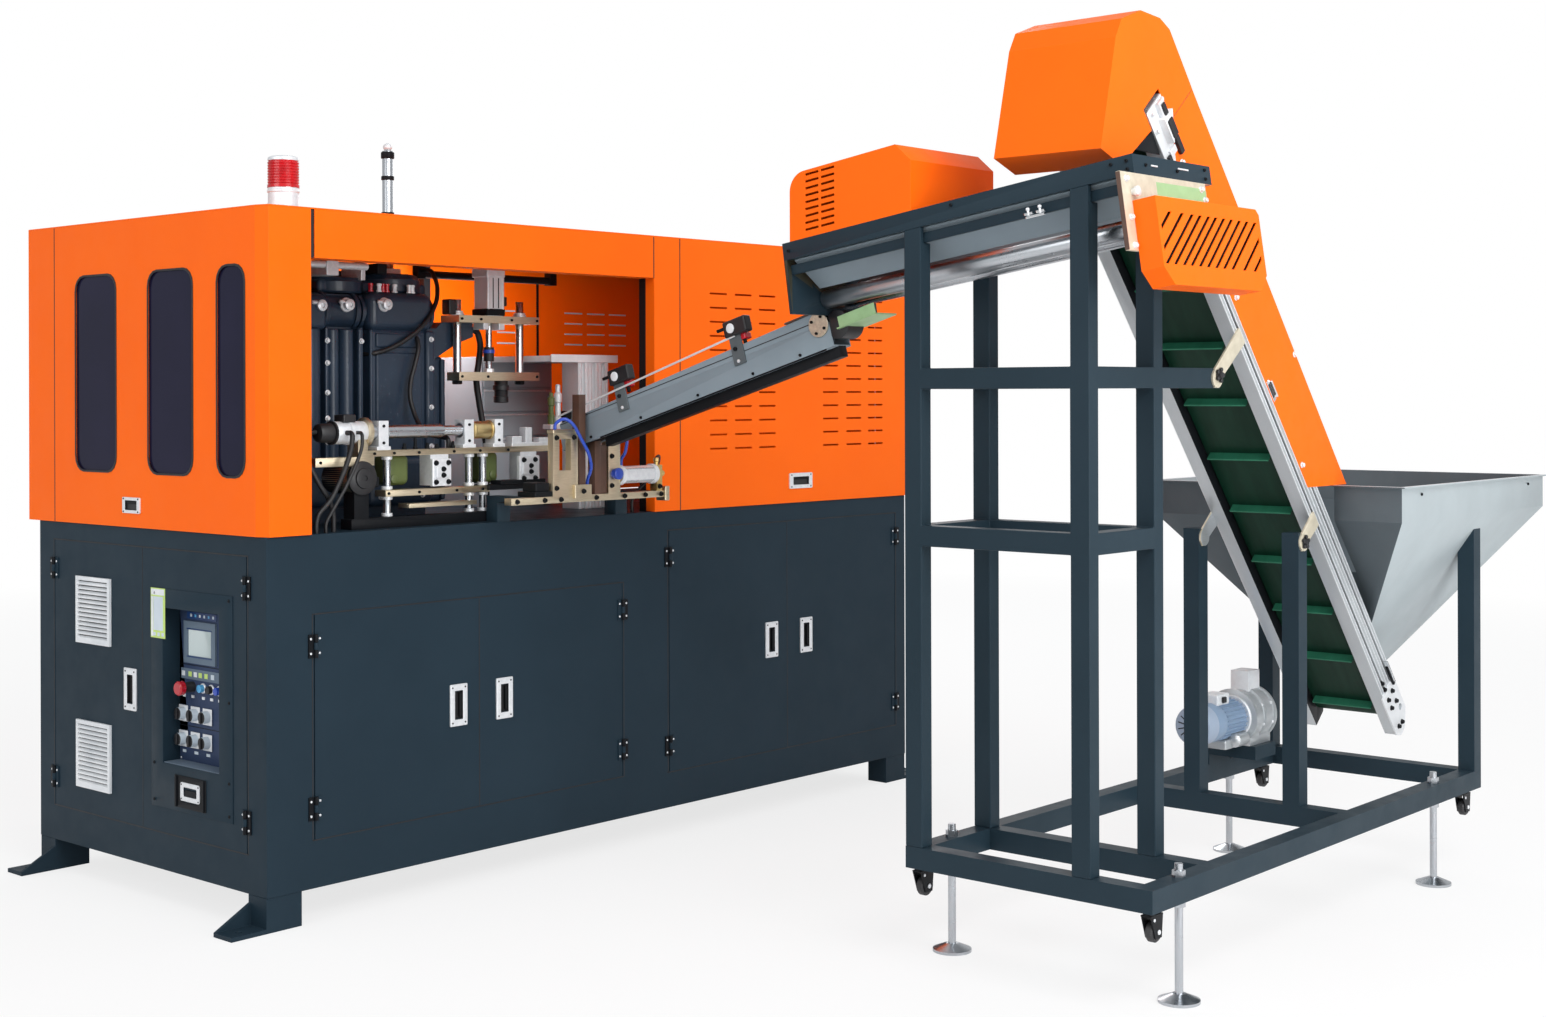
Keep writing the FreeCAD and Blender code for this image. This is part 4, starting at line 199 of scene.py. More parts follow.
ORANGE = powder_coat("orange_paint", (0.99, 0.145, 0.002), (0.96, 0.132, 0.0015), (1.0, 0.24, 0.03), 0.42)
DARK = powder_coat("dark_paint", (0.015, 0.031, 0.046), (0.012, 0.026, 0.039), (0.14, 0.17, 0.19), 0.46)
FRAME = powder_coat("frame_paint", (0.019, 0.036, 0.05), (0.015, 0.03, 0.042), (0.15, 0.18, 0.2), 0.4)
BLACK_STEEL = powder_coat("black_steel", (0.009, 0.01, 0.012), (0.006, 0.007, 0.009), (0.1, 0.1, 0.1), 0.4)
HINGE = powder_coat("hinge_black", (0.007, 0.008, 0.010), (0.005, 0.006, 0.008), (0.08, 0.08, 0.09), 0.34)
PANEL = powder_coat("panel_paint", (0.04, 0.062, 0.125), (0.034, 0.052, 0.105), (0.2, 0.25, 0.32), 0.4)
LEDGE = powder_coat("ledge_paint", (0.14, 0.19, 0.25), (0.12, 0.16, 0.21), (0.3, 0.34, 0.38), 0.4)
GREY_BOX = powder_coat("grey_box", (0.44, 0.48, 0.52), (0.39, 0.43, 0.47), (0.5, 0.53, 0.56), 0.4)
CHUTE_GREY = powder_coat("chute_grey", (0.25, 0.305, 0.345), (0.215, 0.265, 0.3), (0.45, 0.48, 0.5), 0.36)
MOTOR = powder_coat("motor_paint", (0.28, 0.38, 0.52), (0.22, 0.31, 0.44), (0.5, 0.55, 0.6), 0.34)
IRON = casting("cast_iron", (0.019, 0.036, 0.064), (0.012, 0.024, 0.044))
OLIVE = casting("olive_guard", (0.13, 0.17, 0.05), (0.07, 0.09, 0.03), 0.45)
STEEL_X = drawn_metal("bright_steel", (0.6, 0.62, 0.65), (0.47, 0.5, 0.53), 0.24, (1.0, 60.0, 60.0), 40.0, 0.03)
STEEL_Y = drawn_metal("bright_steel_across", (0.6, 0.62, 0.65), (0.47, 0.5, 0.53), 0.24,
                      (60.0, 1.0, 60.0), 40.0, 0.03)
STEEL_Z = drawn_metal("bright_steel_upright", (0.58, 0.6, 0.63), (0.45, 0.48, 0.51), 0.22,
                      (60.0, 60.0, 1.0), 40.0, 0.03)
CHAMPAGNE = drawn_metal("anodised", (0.74, 0.65, 0.48), (0.56, 0.47, 0.33), 0.34, (1.0, 30.0, 30.0), 30.0, 0.08)
ZINC = drawn_metal("zinc_steel", (0.66, 0.6, 0.47), (0.45, 0.41, 0.33), 0.36, (3.0, 3.0, 3.0), 30.0, 0.1)
ALUMINIUM = drawn_metal("aluminium", (0.62, 0.65, 0.67), (0.5, 0.53, 0.55), 0.34,
                        (1.0, 50.0, 50.0), 30.0, 0.04, 0.7)
PROFILE = drawn_metal("profile_upright", (0.84, 0.86, 0.88), (0.74, 0.76, 0.78), 0.36,
                      (60.0, 60.0, 1.0), 30.0, 0.04, 0.4)
CREAM = drawn_metal("cream_zinc", (0.74, 0.68, 0.54), (0.62, 0.56, 0.43), 0.38, (3.0, 3.0, 3.0), 14.0, 0.04, 0.4)
BRACKET = powder_coat("bracket_grey", (0.12, 0.14, 0.15), (0.09, 0.105, 0.115), (0.3, 0.32, 0.34), 0.36)
COWL = powder_coat("cowl_silver", (0.38, 0.46, 0.58), (0.33, 0.4, 0.51), (0.6, 0.66, 0.72), 0.32)
CHROME = drawn_metal("chrome", (0.86, 0.87, 0.88), (0.74, 0.76, 0.78), 0.1, (2.0, 2.0, 2.0), 12.0, 0.03)
HOPPER = drawn_metal("hopper_grey", (0.44, 0.5, 0.52), (0.39, 0.44, 0.46), 0.44, (2.0, 2.0, 1.0), 3.0, 0.02, 0.3)
# painted shade: a darker copy of the hopper metal for the faces turned to -X
HOPPER_PAINTED_SHADE = drawn_metal("hopper_painted_shade", (0.1, 0.125, 0.14), (0.085, 0.105, 0.12), 0.44,
                           (2.0, 2.0, 1.0), 3.0, 0.02, 0.3)
GREEN_ZINC = drawn_metal("green_zinc", (0.4, 0.62, 0.32), (0.34, 0.54, 0.27), 0.36, (3.0, 3.0, 3.0), 8.0, 0.03, 0.3)
# painted shade: the zinc end plate at the tray's far end, which lies in shadow, drawn dark
ZINC_PAINTED_SHADE = drawn_metal("zinc_in_painted_shade", (0.075, 0.07, 0.045), (0.05, 0.047, 0.03), 0.4,
                          (2.0, 2.0, 2.0), 12.0, 0.05, 0.5)
GOLD = drawn_metal("gold_roller", (0.78, 0.62, 0.32), (0.55, 0.42, 0.2), 0.28, (1.0, 50.0, 50.0))
BRASS = drawn_metal("brass", (0.8, 0.58, 0.24), (0.6, 0.42, 0.16), 0.25, (4.0, 4.0, 4.0))
WHITE = moulded("white_plastic", (0.8, 0.82, 0.84), (0.66, 0.69, 0.72), 0.35)
BLACK = moulded("black_plastic", (0.014, 0.014, 0.016), (0.008, 0.008, 0.01), 0.42)
RED = moulded("red_plastic", (0.6, 0.006, 0.02), (0.42, 0.004, 0.014), 0.22, coat=0.4)
RED_LENS = moulded("red_lens", (0.62, 0.006, 0.012), (0.42, 0.003, 0.007), 0.2, 300.0, 0.05, 0.2)
BLUE = moulded("blue_plastic", (0.012, 0.07, 0.5), (0.008, 0.045, 0.36), 0.3, coat=0.3)
PALE_BLUE = moulded("pale_blue_plastic", (0.1, 0.42, 0.72), (0.07, 0.32, 0.6), 0.3, coat=0.3)
LIME = moulded("lime_label", (0.55, 0.72, 0.2), (0.48, 0.65, 0.17), 0.4)
LABEL = moulded("pale_label", (0.6, 0.68, 0.74), (0.52, 0.6, 0.68), 0.4)
BROWN = moulded("brown_bar", (0.095, 0.045, 0.028), (0.06, 0.028, 0.018), 0.4, 200.0, 0.2)
CABLE = moulded("cable_rubber", (0.012, 0.012, 0.014), (0.007, 0.007, 0.008), 0.5, 500.0, 0.15)
WHEEL = moulded("wheel_rubber", (0.03, 0.03, 0.032), (0.018, 0.018, 0.02), 0.5, 400.0, 0.2)
# black rubber, also used for the strips and sheets of painted shade in gaps, grooves, slots and behind grilles
RUBBER_AND_SHADE_BLACK = moulded("rubber_and_painted_shade", (0.01, 0.01, 0.012), (0.006, 0.006, 0.008), 0.5, 500.0, 0.2)


def belt_green(name, tone, dark, painted_sheen):
    """Coated belt: fine cross weave, with soft streaks of painted sheen along its run and patches of painted sheen.
    """
    f = Finish(name, specular=0.2)
    streaks = f.noise(5.0, 4.0, 0.6, (1.0, 6.0, 1.0)).span(0.3, 0.75)
    weave = (f.axis(1) * 2200.0).wave() * 0.5 + f.noise(700.0)
    # painted sheen: lighter streaks along the run and lighter patches mixed into the colour
    f.set("Base Color", f.mix(f.noise(28.0, 5.0, 0.65).span(0.6, 0.8) * 0.3, f.mix(streaks, dark, tone), painted_sheen))
    f.set("Roughness", streaks.span(0.0, 1.0, 0.5, 0.38))
    f.bump(weave, 0.12, 0.0003)
    return f.material


def tinted_window():
    """Dark violet sheet, glossy, with a trace of haze."""
    f = Finish("tinted_window", specular=0.12)
    haze = f.noise(2.0, 3.0, 0.5).span(0.35, 0.7)
    f.set("Base Color", f.mix(haze, (0.009, 0.009, 0.026), (0.015, 0.014, 0.04)))
    f.set("Roughness", f.noise(20.0, 3.0, 0.6).span(0.3, 0.7, 0.1, 0.2))
    return f.material


def screen_glass():
    """Unlit panel screen: pale grey-green, with a painted reflection brighter at one side and a faint painted glow.
    """
    f = Finish("screen_glass", coat=0.5)
    # painted reflection: the colour grows brighter towards one side
    side = (f.axis(1) * 9.0 + f.axis(2) * 6.0 + f.noise(18.0) * 0.25).span(-1.0, 3.6)
    f.set("Base Color", f.mix(side, (0.3, 0.37, 0.38), (0.52, 0.6, 0.6)))
    f.set("Roughness", f.noise(40.0).span(0.3, 0.7, 0.12, 0.2))
    # painted glow: the unlit screen gets a faint emission of its own colours
    f.shader.inputs["Emission Strength"].default_value = 0.12
    f.set("Emission Color", f.mix(side, (0.3, 0.37, 0.38), (0.52, 0.6, 0.6)))
    return f.material


BELT = belt_green("belt_green", (0.003, 0.034, 0.018), (0.002, 0.022, 0.011), (0.008, 0.06, 0.034))
CLEAT = belt_green("belt_cleat", (0.03, 0.19, 0.11), (0.022, 0.15, 0.085), (0.06, 0.28, 0.17))
WINDOW = tinted_window()
SCREEN = screen_glass()


# ---------------------------------------------------------------- modelling tools
MERGE = 0.00001                                   # m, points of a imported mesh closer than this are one
FLAT = math.radians(0.6)                          # faces that meet flatter than this are one face
SHARP = 38                                        # degrees, packed edges sharper than this are broken


def deselect():
    bpy.ops.object.select_all(action="DESELECT")


def only(obj):
    deselect()
    obj.select_set(True)
    bpy.context.view_layer.objects.active = obj


def into_edit(obj, select="SELECT"):
    only(obj)
    bpy.ops.object.mode_set(mode="EDIT")
    bpy.ops.mesh.select_all(action=select)


def out_of_edit():
    bpy.ops.object.mode_set(mode="OBJECT")


def settle(obj):
    """Puts an object's place and turn into its mesh."""
    only(obj)
    bpy.ops.object.transform_apply(location=True, rotation=True, scale=True)


def paint(obj, material):
    obj.data.materials.clear()
    obj.data.materials.append(material)


def apply_modifier(obj, kind, **settings):
    only(obj)
    modifier = obj.modifiers.new(kind.lower(), kind)
    for key, value in settings.items():
        setattr(modifier, key, value)
    bpy.ops.object.modifier_apply(modifier=modifier.name)


def break_edges(obj, soft, degrees, **settings):
    apply_modifier(obj, "BEVEL", width=soft * MM, segments=2, limit_method="ANGLE",
                   angle_limit=math.radians(degrees), **settings)


def started(name, scale=None):
    """Names the primitive just added, sets its size and opens it for editing."""
    obj = bpy.context.object
    obj.name = name
    if scale:
        obj.scale = scale
    settle(obj)
    into_edit(obj)
    return obj


def push(x, y, z):
    """Extrudes what is selected by a step in mm."""
    bpy.ops.mesh.extrude_region_move(TRANSFORM_OT_translate={"value": (x * MM, y * MM, z * MM)})


def close_up():
    """Turns every face outwards and leaves edit mode."""
    bpy.ops.mesh.select_all(action="SELECT")
    bpy.ops.mesh.normals_make_consistent(inside=False)
    out_of_edit()


def smooth(obj, degrees=32):
    only(obj)
    bpy.ops.object.shade_smooth_by_angle(angle=math.radians(degrees))


def slab(name, material, xs, ys, zs, soft=1.0, rings=2):
    """Box between corner ranges, its edges rounded in edit mode."""
    deselect()
    low, high = spot(xs[0], ys[0], zs[0]), spot(xs[1], ys[1], zs[1])
    bpy.ops.mesh.primitive_cube_add(size=1, location=(low + high) / 2, scale=high - low)
    obj = started(name)
    bpy.ops.mesh.bevel(offset=soft * MM, segments=rings, affect="EDGES")
    out_of_edit()
    paint(obj, material)
    return obj


def lathe(name, material, base, axis, steps, sides=24, degrees=32):
    """Turned piece: a disc carried up its axis through steps of (distance, radius) in mm."""
    deselect()
    first, radius = steps[0]
    bpy.ops.mesh.primitive_circle_add(vertices=sides, radius=radius * MM, fill_type="NGON",
                                      location=(0, 0, first * MM))
    obj = started(name)
    for distance, wide in steps[1:]:
        push(0, 0, distance - first)
        if wide != radius:
            grow = wide / radius
            bpy.ops.transform.resize(value=(grow, grow, 1), center_override=(0, 0, distance * MM))
        first, radius = distance, wide
    bpy.ops.mesh.select_all(action="SELECT")
    bpy.ops.mesh.remove_doubles(threshold=0.000004)
    close_up()
    place(obj, base, axis)
    paint(obj, material)
    smooth(obj, degrees)
    return obj


def place(obj, base, axis, spin=0.0):
    """Turns a piece drawn up Z at the origin on to its axis, and sets it at its base."""
    turn = Z.rotation_difference(Vector(axis)).to_matrix().to_4x4()
    obj.matrix_world = Matrix.Translation(spot(*base)) @ turn @ Matrix.Rotation(math.radians(spin), 4, "Z")
    settle(obj)


END_BREAK = 1.0


def bar(name, material, start, end, radius, sides):
    """Round bar between two places, with its ends broken."""
    run = Vector(end) - Vector(start)
    length = run.length
    steps = [(0, radius - END_BREAK), (END_BREAK, radius),
             (length - END_BREAK, radius), (length, radius - END_BREAK)]
    return lathe(name, material, start, run.normalized(), steps, sides)


def stadium_frame(name, material, centre, size, window, depth, facing, soft=1.5, corner=6.0):
    """Flat frame with rounded corners and a window through it, such as round a pull."""
    deselect()
    width, height = size
    bpy.ops.mesh.primitive_plane_add(size=1, location=(0, 0, 0))
    obj = started(name, (width * MM, height * MM, 1))
    bpy.ops.mesh.bevel(offset=corner * MM, segments=4, affect="VERTICES")
    bpy.ops.mesh.select_all(action="SELECT")
    bpy.ops.mesh.inset(thickness=0.1 * MM)
    bpy.ops.transform.resize(value=(window[0] / width, window[1] / height, 1), center_override=(0, 0, 0))
    bpy.ops.mesh.delete(type="FACE")
    bpy.ops.mesh.select_all(action="SELECT")
    push(0, 0, depth)
    close_up()
    break_edges(obj, soft, 50)
    face(obj, centre, facing)
    paint(obj, material)
    smooth(obj)
    return obj


FACINGS = {
    "front": Matrix(((1, 0, 0), (0, 0, -1), (0, 1, 0))),
    "left": Matrix(((0, 0, -1), (-1, 0, 0), (0, 1, 0))),
    "up": Matrix.Identity(3),
}


def face(obj, centre, facing):
    """Turns a piece drawn flat on Z towards the front (-Y) or the left end (-X), or leaves it facing up."""
    obj.matrix_world = Matrix.Translation(spot(*centre)) @ FACINGS[facing].to_4x4()
    settle(obj)


def plate(name, material, outline, start, reach, across="y", soft=1.0):
    """Flat plate: an outline in mm filled, carried along X or Y and its edges broken."""
    deselect()
    bpy.ops.mesh.primitive_circle_add(vertices=len(outline), radius=1, fill_type="NGON")
    obj = bpy.context.object
    obj.name = name
    for vertex, (a, b) in zip(obj.data.vertices, outline):
        vertex.co = spot(a, start, b) if across == "y" else spot(start, a, b)
    into_edit(obj)
    push(*((0, reach, 0) if across == "y" else (reach, 0, 0)))
    close_up()
    if soft:
        break_edges(obj, soft, 20)
    paint(obj, material)
    smooth(obj)
    return obj


def copies(template, places):
    """Copies of a piece drawn up Z at the origin, each with its own mesh. A place is (base, axis, spin)."""
    made = []
    for base, axis, spin in places:
        obj = template.copy()
        obj.data = template.data.copy()
        bpy.context.scene.collection.objects.link(obj)
        place(obj, base, axis, spin)
        made.append(obj)
    return made


def join(name, parts):
    deselect()
    for obj in parts:
        obj.select_set(True)
    bpy.context.view_layer.objects.active = parts[0]
    if len(parts) > 1:
        bpy.ops.object.join()
    obj = bpy.context.object
    obj.name = name
    return obj


def assembled(name, parts, body="machine"):
    """Joins parts into one finished piece that rides on its body."""
    return fit(join(name, parts), body)


def fit(obj, body="machine"):
    """Lets a finished piece ride on its body."""
    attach(obj, body)
    return obj


def bolt_template(name, material, head, height, washer=0.0, socket=False):
    """Hexagon or socket head on its washer, base at the origin."""
    parts = []
    if washer:
        parts.append(lathe(name + "_washer", material, (0, 0, 0), Z,
                           [(-0.6, washer - 0.4), (0.4, washer), (1.4, washer), (1.8, washer - 0.4)], 16))
    rise = 1.8 if washer else 0.0
    if socket:
        steps = [(rise - 0.6, head), (rise + height * 0.8, head), (rise + height, head * 0.86),
                 (rise + height, head * 0.52), (rise + height * 0.4, head * 0.5)]
        parts.append(lathe(name, material, (0, 0, 0), Z, steps, 14))
    else:
        steps = [(rise - 0.6, head), (rise + height * 0.82, head), (rise + height, head * 0.86),
                 (rise + height, head * 0.4), (rise + height * 0.9, head * 0.36)]
        parts.append(lathe(name, material, (0, 0, 0), Z, steps, 6, 10))
    obj = join(name, parts)
    obj.data.transform(Matrix.Translation(-CORNER))
    return obj


def stamp(name, template, places, body="machine"):
    """One piece made of copies of a fastener; places are (x, y, z, axis) in mm."""
    made = copies(template, [((x, y, z), axis, 17.0 * count) for count, (x, y, z, axis) in enumerate(places)])
    return assembled(name, made, body)


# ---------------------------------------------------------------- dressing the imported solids
def merged_copy(node):
    """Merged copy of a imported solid's mesh, with its flat faces whole again."""
    deselect()
    mesh = nodes[node].data.copy()
    obj = bpy.data.objects.new(node + "_dressed", mesh)
    bpy.context.scene.collection.objects.link(obj)
    into_edit(obj)
    bpy.ops.mesh.remove_doubles(threshold=MERGE)
    out_of_edit()
    return obj


def dressed(node, base, rules=(), cuts=(), soft=0.8):
    """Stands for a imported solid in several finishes.

    A rule is (material, test on a face's place and normal), the last that holds wins; a cut is (place, normal)."""
    paint(nodes[node], base)
    obj = merged_copy(node)
    into_edit(obj)
    for where, square in cuts:
        bpy.ops.mesh.select_all(action="SELECT")
        bpy.ops.mesh.bisect(plane_co=spot(*where), plane_no=square, threshold=MERGE)
    out_of_edit()
    obj.data.materials.clear()
    for material in [base] + [rule[0] for rule in rules]:
        obj.data.materials.append(material)
    for polygon in obj.data.polygons:
        x, y, z = (polygon.center - CORNER) / MM
        polygon.material_index = 0
        for index, rule in enumerate(rules):
            if rule[1](x, y, z, polygon.normal):
                polygon.material_index = index + 1
    into_edit(obj)
    bpy.ops.mesh.dissolve_limited(angle_limit=FLAT, delimit={"MATERIAL"})
    out_of_edit()
    if soft:
        break_edges(obj, soft, SHARP, use_clamp_overlap=True)
    smooth(obj, 30)
    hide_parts(node)
    return fit(obj, body_of_node[node])


def finish_node(node, material, soft):
    """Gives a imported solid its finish, with its sharp edges broken by modifiers."""
    obj = nodes[node]
    paint(obj, material)
    if soft:
        weld = obj.modifiers.new("weld", "WELD")
        weld.merge_threshold = MERGE
        flatten = obj.modifiers.new("flatten", "DECIMATE")
        flatten.decimate_type = "DISSOLVE"
        flatten.angle_limit = FLAT
        bevel = obj.modifiers.new("bevel", "BEVEL")
        bevel.width = soft * MM
        bevel.segments = 2
        bevel.limit_method = "ANGLE"
        bevel.angle_limit = math.radians(SHARP)


def within(xs=None, ys=None, zs=None):
    """Test that a face's centre lies in the given ranges."""
    def test(x, y, z, normal):
        for value, span in ((x, xs), (y, ys), (z, zs)):
            if span is not None and not span[0] <= value <= span[1]:
                return False
        return True
    return test


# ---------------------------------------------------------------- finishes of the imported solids
for node_material, node_soft, node_names in (
        (DARK, 1.6, "base_cabinet"),
        (DARK, 1.2, "floor_feet"),
        (DARK, 0.8, "service_door_1 service_door_2 service_door_3 service_door_4 left_end_door control_door"),
        (HINGE, 0.5, "door_hinges"),
        (WHITE, 0.5, "vent_grilles"),
        (RED, 0.0, "emergency_stop"),
        (ORANGE, 0.8, "louvre_panel rear_panel side_cover"),
        (ORANGE, 0.9, "end_cover"),
        (ORANGE, 1.0, "front_header corner_pillar roof_panel"),
        (ORANGE, 1.2, "discharge_hood drive_cover vented_hood"),
        (WINDOW, 0.0, "window_panes"),
        (BLACK_STEEL, 1.2, "upper_frame"),
        (CHROME, 0.0, "beacon_base"),
        (RED_LENS, 0.0, "beacon_lens"),
        (IRON, 5.0, "clamp_fixed_platen clamp_moving_platen"),
        (STEEL_X, 0.0, "tie_bars"),
        (CHAMPAGNE, 0.8, "pickup_frame"),
        (PROFILE, 0.0, "pickup_cylinder"),
        (FRAME, 2.5, "base_frame tower_frame"),
        (STEEL_Y, 0.6, "tail_drum head_drum roller_near roller_far"),
        (CHUTE_GREY, 0.5, "tray_guards"),
        (BLACK_STEEL, 0.5, "castor_fork_1 castor_fork_2 castor_fork_3 castor_fork_4"),
        (WHEEL, 0.0, "castor_wheel_1 castor_wheel_2 castor_wheel_3 castor_wheel_4"),
        (STEEL_Z, 0.0, "levelling_feet")):
    for node_name in node_names.split():
        finish_node(node_name, node_material, node_soft)


# ---------------------------------------------------------------- cabinet and housing
def drawn_flat(name, parts, centre, facing):
    """Sets pieces drawn together at the corner, x right, y up and z out, on a face of the machine."""
    obj = join(name, parts)
    obj.data.transform(Matrix.Translation(-CORNER))
    face(obj, centre, facing)
    return obj


def cup(name, material, size, top, depth, corner=3.0):
    """Shallow pressed cup with its rim at the given height and its floor below."""
    deselect()
    bpy.ops.mesh.primitive_plane_add(size=1, location=spot(0, 0, top))
    obj = started(name, (size[0] * MM, size[1] * MM, 1))
    bpy.ops.mesh.bevel(offset=corner * MM, segments=3, affect="VERTICES")
    bpy.ops.mesh.select_all(action="SELECT")
    bpy.ops.mesh.inset(thickness=0.8 * MM)
    push(0, 0, -depth)
    bpy.ops.mesh.inset(thickness=1.2 * MM)
    out_of_edit()
    paint(obj, material)
    smooth(obj)
    return obj


def screw_head(x, y, z, radius, material=BLACK_STEEL):
    """Pan head screw with a socket, standing on a flat face."""
    return lathe("screw", material, (x, y, z), Z,
                 [(-0.4, radius), (0.7, radius), (1.5, radius * 0.7), (1.5, radius * 0.42), (0.7, radius * 0.4)],
                 12)


def pull(name, centre, size, window, facing, body, depth=9.0, rise=5.0, corner=3.0):
    """Flush pull: screwed frame round a black pocket with its thumb plate."""
    w, h = size
    ww, wh = window
    parts = [stadium_frame(name, SATIN, (0, 0, 0), size, window, rise, "up", 1.0, corner)]
    parts.append(cup(name + "_pocket", BLACK, (ww + 1.0, wh + 1.0), rise - 0.6, depth))
    if ww > wh:
        thumb = ((-ww * 0.42, ww * 0.42), (wh * 0.12, wh * 0.46))
    else:
        thumb = ((ww * 0.14, ww * 0.46), (-wh * 0.42, wh * 0.42))
    parts.append(slab(name + "_thumb", BLACK_STEEL, thumb[0], thumb[1], (rise - depth + 1.5, rise - 2.2), 0.8))
    inset_x, inset_y = w / 2 - (w - ww) / 4, h / 2 - (h - wh) / 4
    for side in (-1, 1):
        for end in (-1, 1):
            parts.append(screw_head(side * inset_x, end * inset_y, rise, 2.6))
    return fit(drawn_flat(name, parts, centre, facing), body)


SATIN = drawn_metal("satin_nickel", (0.82, 0.84, 0.86), (0.7, 0.72, 0.75), 0.34, (4.0, 4.0, 4.0), 20.0, 0.04, 0.35)
for number, (pull_x, pull_z) in enumerate(((657, 534), (833, 534), (2046, 592), (2230, 592)), 1):
    pull("door_pull_" + str(number), (pull_x, 0.2, pull_z), (64, 122), (30, 84), "front",
         "service_door_" + str(number))
pull("left_door_pull", (0.2, 671, 590), (64, 122), (30, 84), "left", "left_end_door")
pull("cover_pull", (-7.8, 648, 1123), (92, 46), (62, 28), "left", "machine", 4.6, 6.0, 4.0)
pull("louvre_pull", (2193, -7.8, 1135), (122, 54), (84, 28), "front", "machine", 4.6, 6.0, 4.0)

# dark strips of painted shade in the gaps between sheets, and round the doors
gap_shades = [slab("joint", RUBBER_AND_SHADE_BLACK, (1465.6, 1469.4), (-8.4, -4), (1813, 1945), 0.2, 1),
          slab("joint", RUBBER_AND_SHADE_BLACK, (1586.6, 1590.4), (-8.4, -4), (1060, 1945), 0.2, 1),
          slab("joint", RUBBER_AND_SHADE_BLACK, (140.8, 153.2), (-4, 0), (1813.5, 1945), 0.2, 1),
          slab("joint", RUBBER_AND_SHADE_BLACK, (-8.4, -4), (1080.8, 1084.2), (1060, 1945), 0.2, 1)]
for x0, x1, middle, z0, z1, leaf in (
        (149, 1333, 739.2, 227, 840, "service_door_2"),
        (1537, 2747, 2131.2, 210, 994, "service_door_4")):
    fit(slab("meeting_gap_shade", RUBBER_AND_SHADE_BLACK, (middle - 2.3, middle + 0.4), (-0.4, 1), (z0, z1), 0.2, 1),
        leaf)
    for a, b in ((x0 - 3.4, x0 - 0.1), (x1 + 0.1, x1 + 3.4)):
        gap_shades.append(slab("door_gap_shade", RUBBER_AND_SHADE_BLACK, (a, b), (-0.4, 1), (z0 - 3, z1 + 3), 0.2, 1))
    for a, b in ((z0 - 3.4, z0 - 0.1), (z1 + 0.1, z1 + 3.4)):
        gap_shades.append(slab("door_gap_shade", RUBBER_AND_SHADE_BLACK, (x0 - 3, x1 + 3), (-0.4, 1), (a, b), 0.2, 1))
fit(slab("meeting_gap_shade", RUBBER_AND_SHADE_BLACK, (-0.4, 1), (607.8, 610.6), (201, 1003), 0.2, 1),
    "left_end_door")
for a, b in ((83.6, 86.9), (1101.1, 1104.4)):
    gap_shades.append(slab("door_gap_shade", RUBBER_AND_SHADE_BLACK, (-0.4, 1), (a, b), (198, 1006), 0.2, 1))
for a, b in ((197.6, 200.9), (1003.1, 1006.4)):
    gap_shades.append(slab("door_gap_shade", RUBBER_AND_SHADE_BLACK, (-0.4, 1), (84, 1104), (a, b), 0.2, 1))
assembled("gap_shade_strips", gap_shades)
# dark sheets behind the vent grilles: painted shade between the slats
vent_shades = [slab("vent_shade_sheet", RUBBER_AND_SHADE_BLACK, (-1.4, 0.4), (785, 957), (z0 + 10, z1 - 10), 0.2, 1)
            for z0, z1 in ((274, 474), (704, 902))]
assembled("vent_shade_sheets", vent_shades, "left_end_door")

# hinge screws, on the frame's leaf and on the door's
screw = screw_head(0, 0, 0, 3.4, SATIN)
screw.data.transform(Matrix.Translation(-CORNER))
screws = {}
for edge, side, heights, owner in (
        (155, 1, (312, 755), "service_door_1"), (1327, -1, (312, 755), "service_door_2"),
        (1543, 1, (295, 909), "service_door_3"), (2741, -1, (295, 909), "service_door_4")):
    for height in heights:
        for up in (-20, 20):
            screws.setdefault(owner, []).append((edge + side * 13.5, -4, height + up, -Y))
            screws.setdefault("machine", []).append((edge - side * 15.5, -4, height + up, -Y))
for edge, side, owner in ((1095, -1, "left_end_door"), (93, 1, "control_door")):
    for height in (286, 918):
        for up in (-20, 20):
            screws.setdefault(owner, []).append((-4, edge + side * 13.5, height + up, -X))
            screws.setdefault("machine", []).append((-4, edge - side * 15.5, height + up, -X))
for owner, places in screws.items():
    stamp("hinge_screws_" + owner, screw, places, owner)

# console in its recess
NAVY = moulded("navy_strip", (0.012, 0.045, 0.16), (0.008, 0.034, 0.12), 0.35)
dressed("control_panel", PANEL, (
    (LEDGE, within((46, 52.5), (300, 480), (676, 806))),
    (SCREEN, within((49.5, 50.5), (336, 450), (703, 775))),
    (WHITE, within((48.9, 49.1), (330, 502), (440, 562))),
    (LABEL, within((28, 48.8), (330, 502), (440, 562))),
    (BLACK, lambda x, y, z, n: 27.8 < x < 48.8 and 330 < y < 502 and 440 < z < 562 and abs(n.x) > 0.6),
    (BLACK, within((36, 52.5), (226, 250), (600, 628))),
    (BLUE, within((36, 52.5), (259, 312), (600, 628))),
    (BLACK, within((36, 52.5), (327, 353), (600, 628))),
    (PALE_BLUE, within((36, 52.5), (368, 394), (600, 628))),
    (BLACK, within((22, 52.5), (416, 452), (596, 632)))), soft=0.5)
console = [slab("status_strip", NAVY, (51.6, 53.4), (314, 461), (806, 826), 0.4)]
for lamp_y, lamp in ((330, LABEL), (352, PALE_BLUE), (374, LABEL), (396, WHITE), (418, PALE_BLUE), (440, LABEL)):
    console.append(slab("status_lamp", lamp, (50.9, 52), (lamp_y - 4, lamp_y + 4), (812, 820), 0.4))
console.append(slab("screen_rim", NAVY, (46.2, 47.2), (331, 455), (776.5, 780), 0.3))
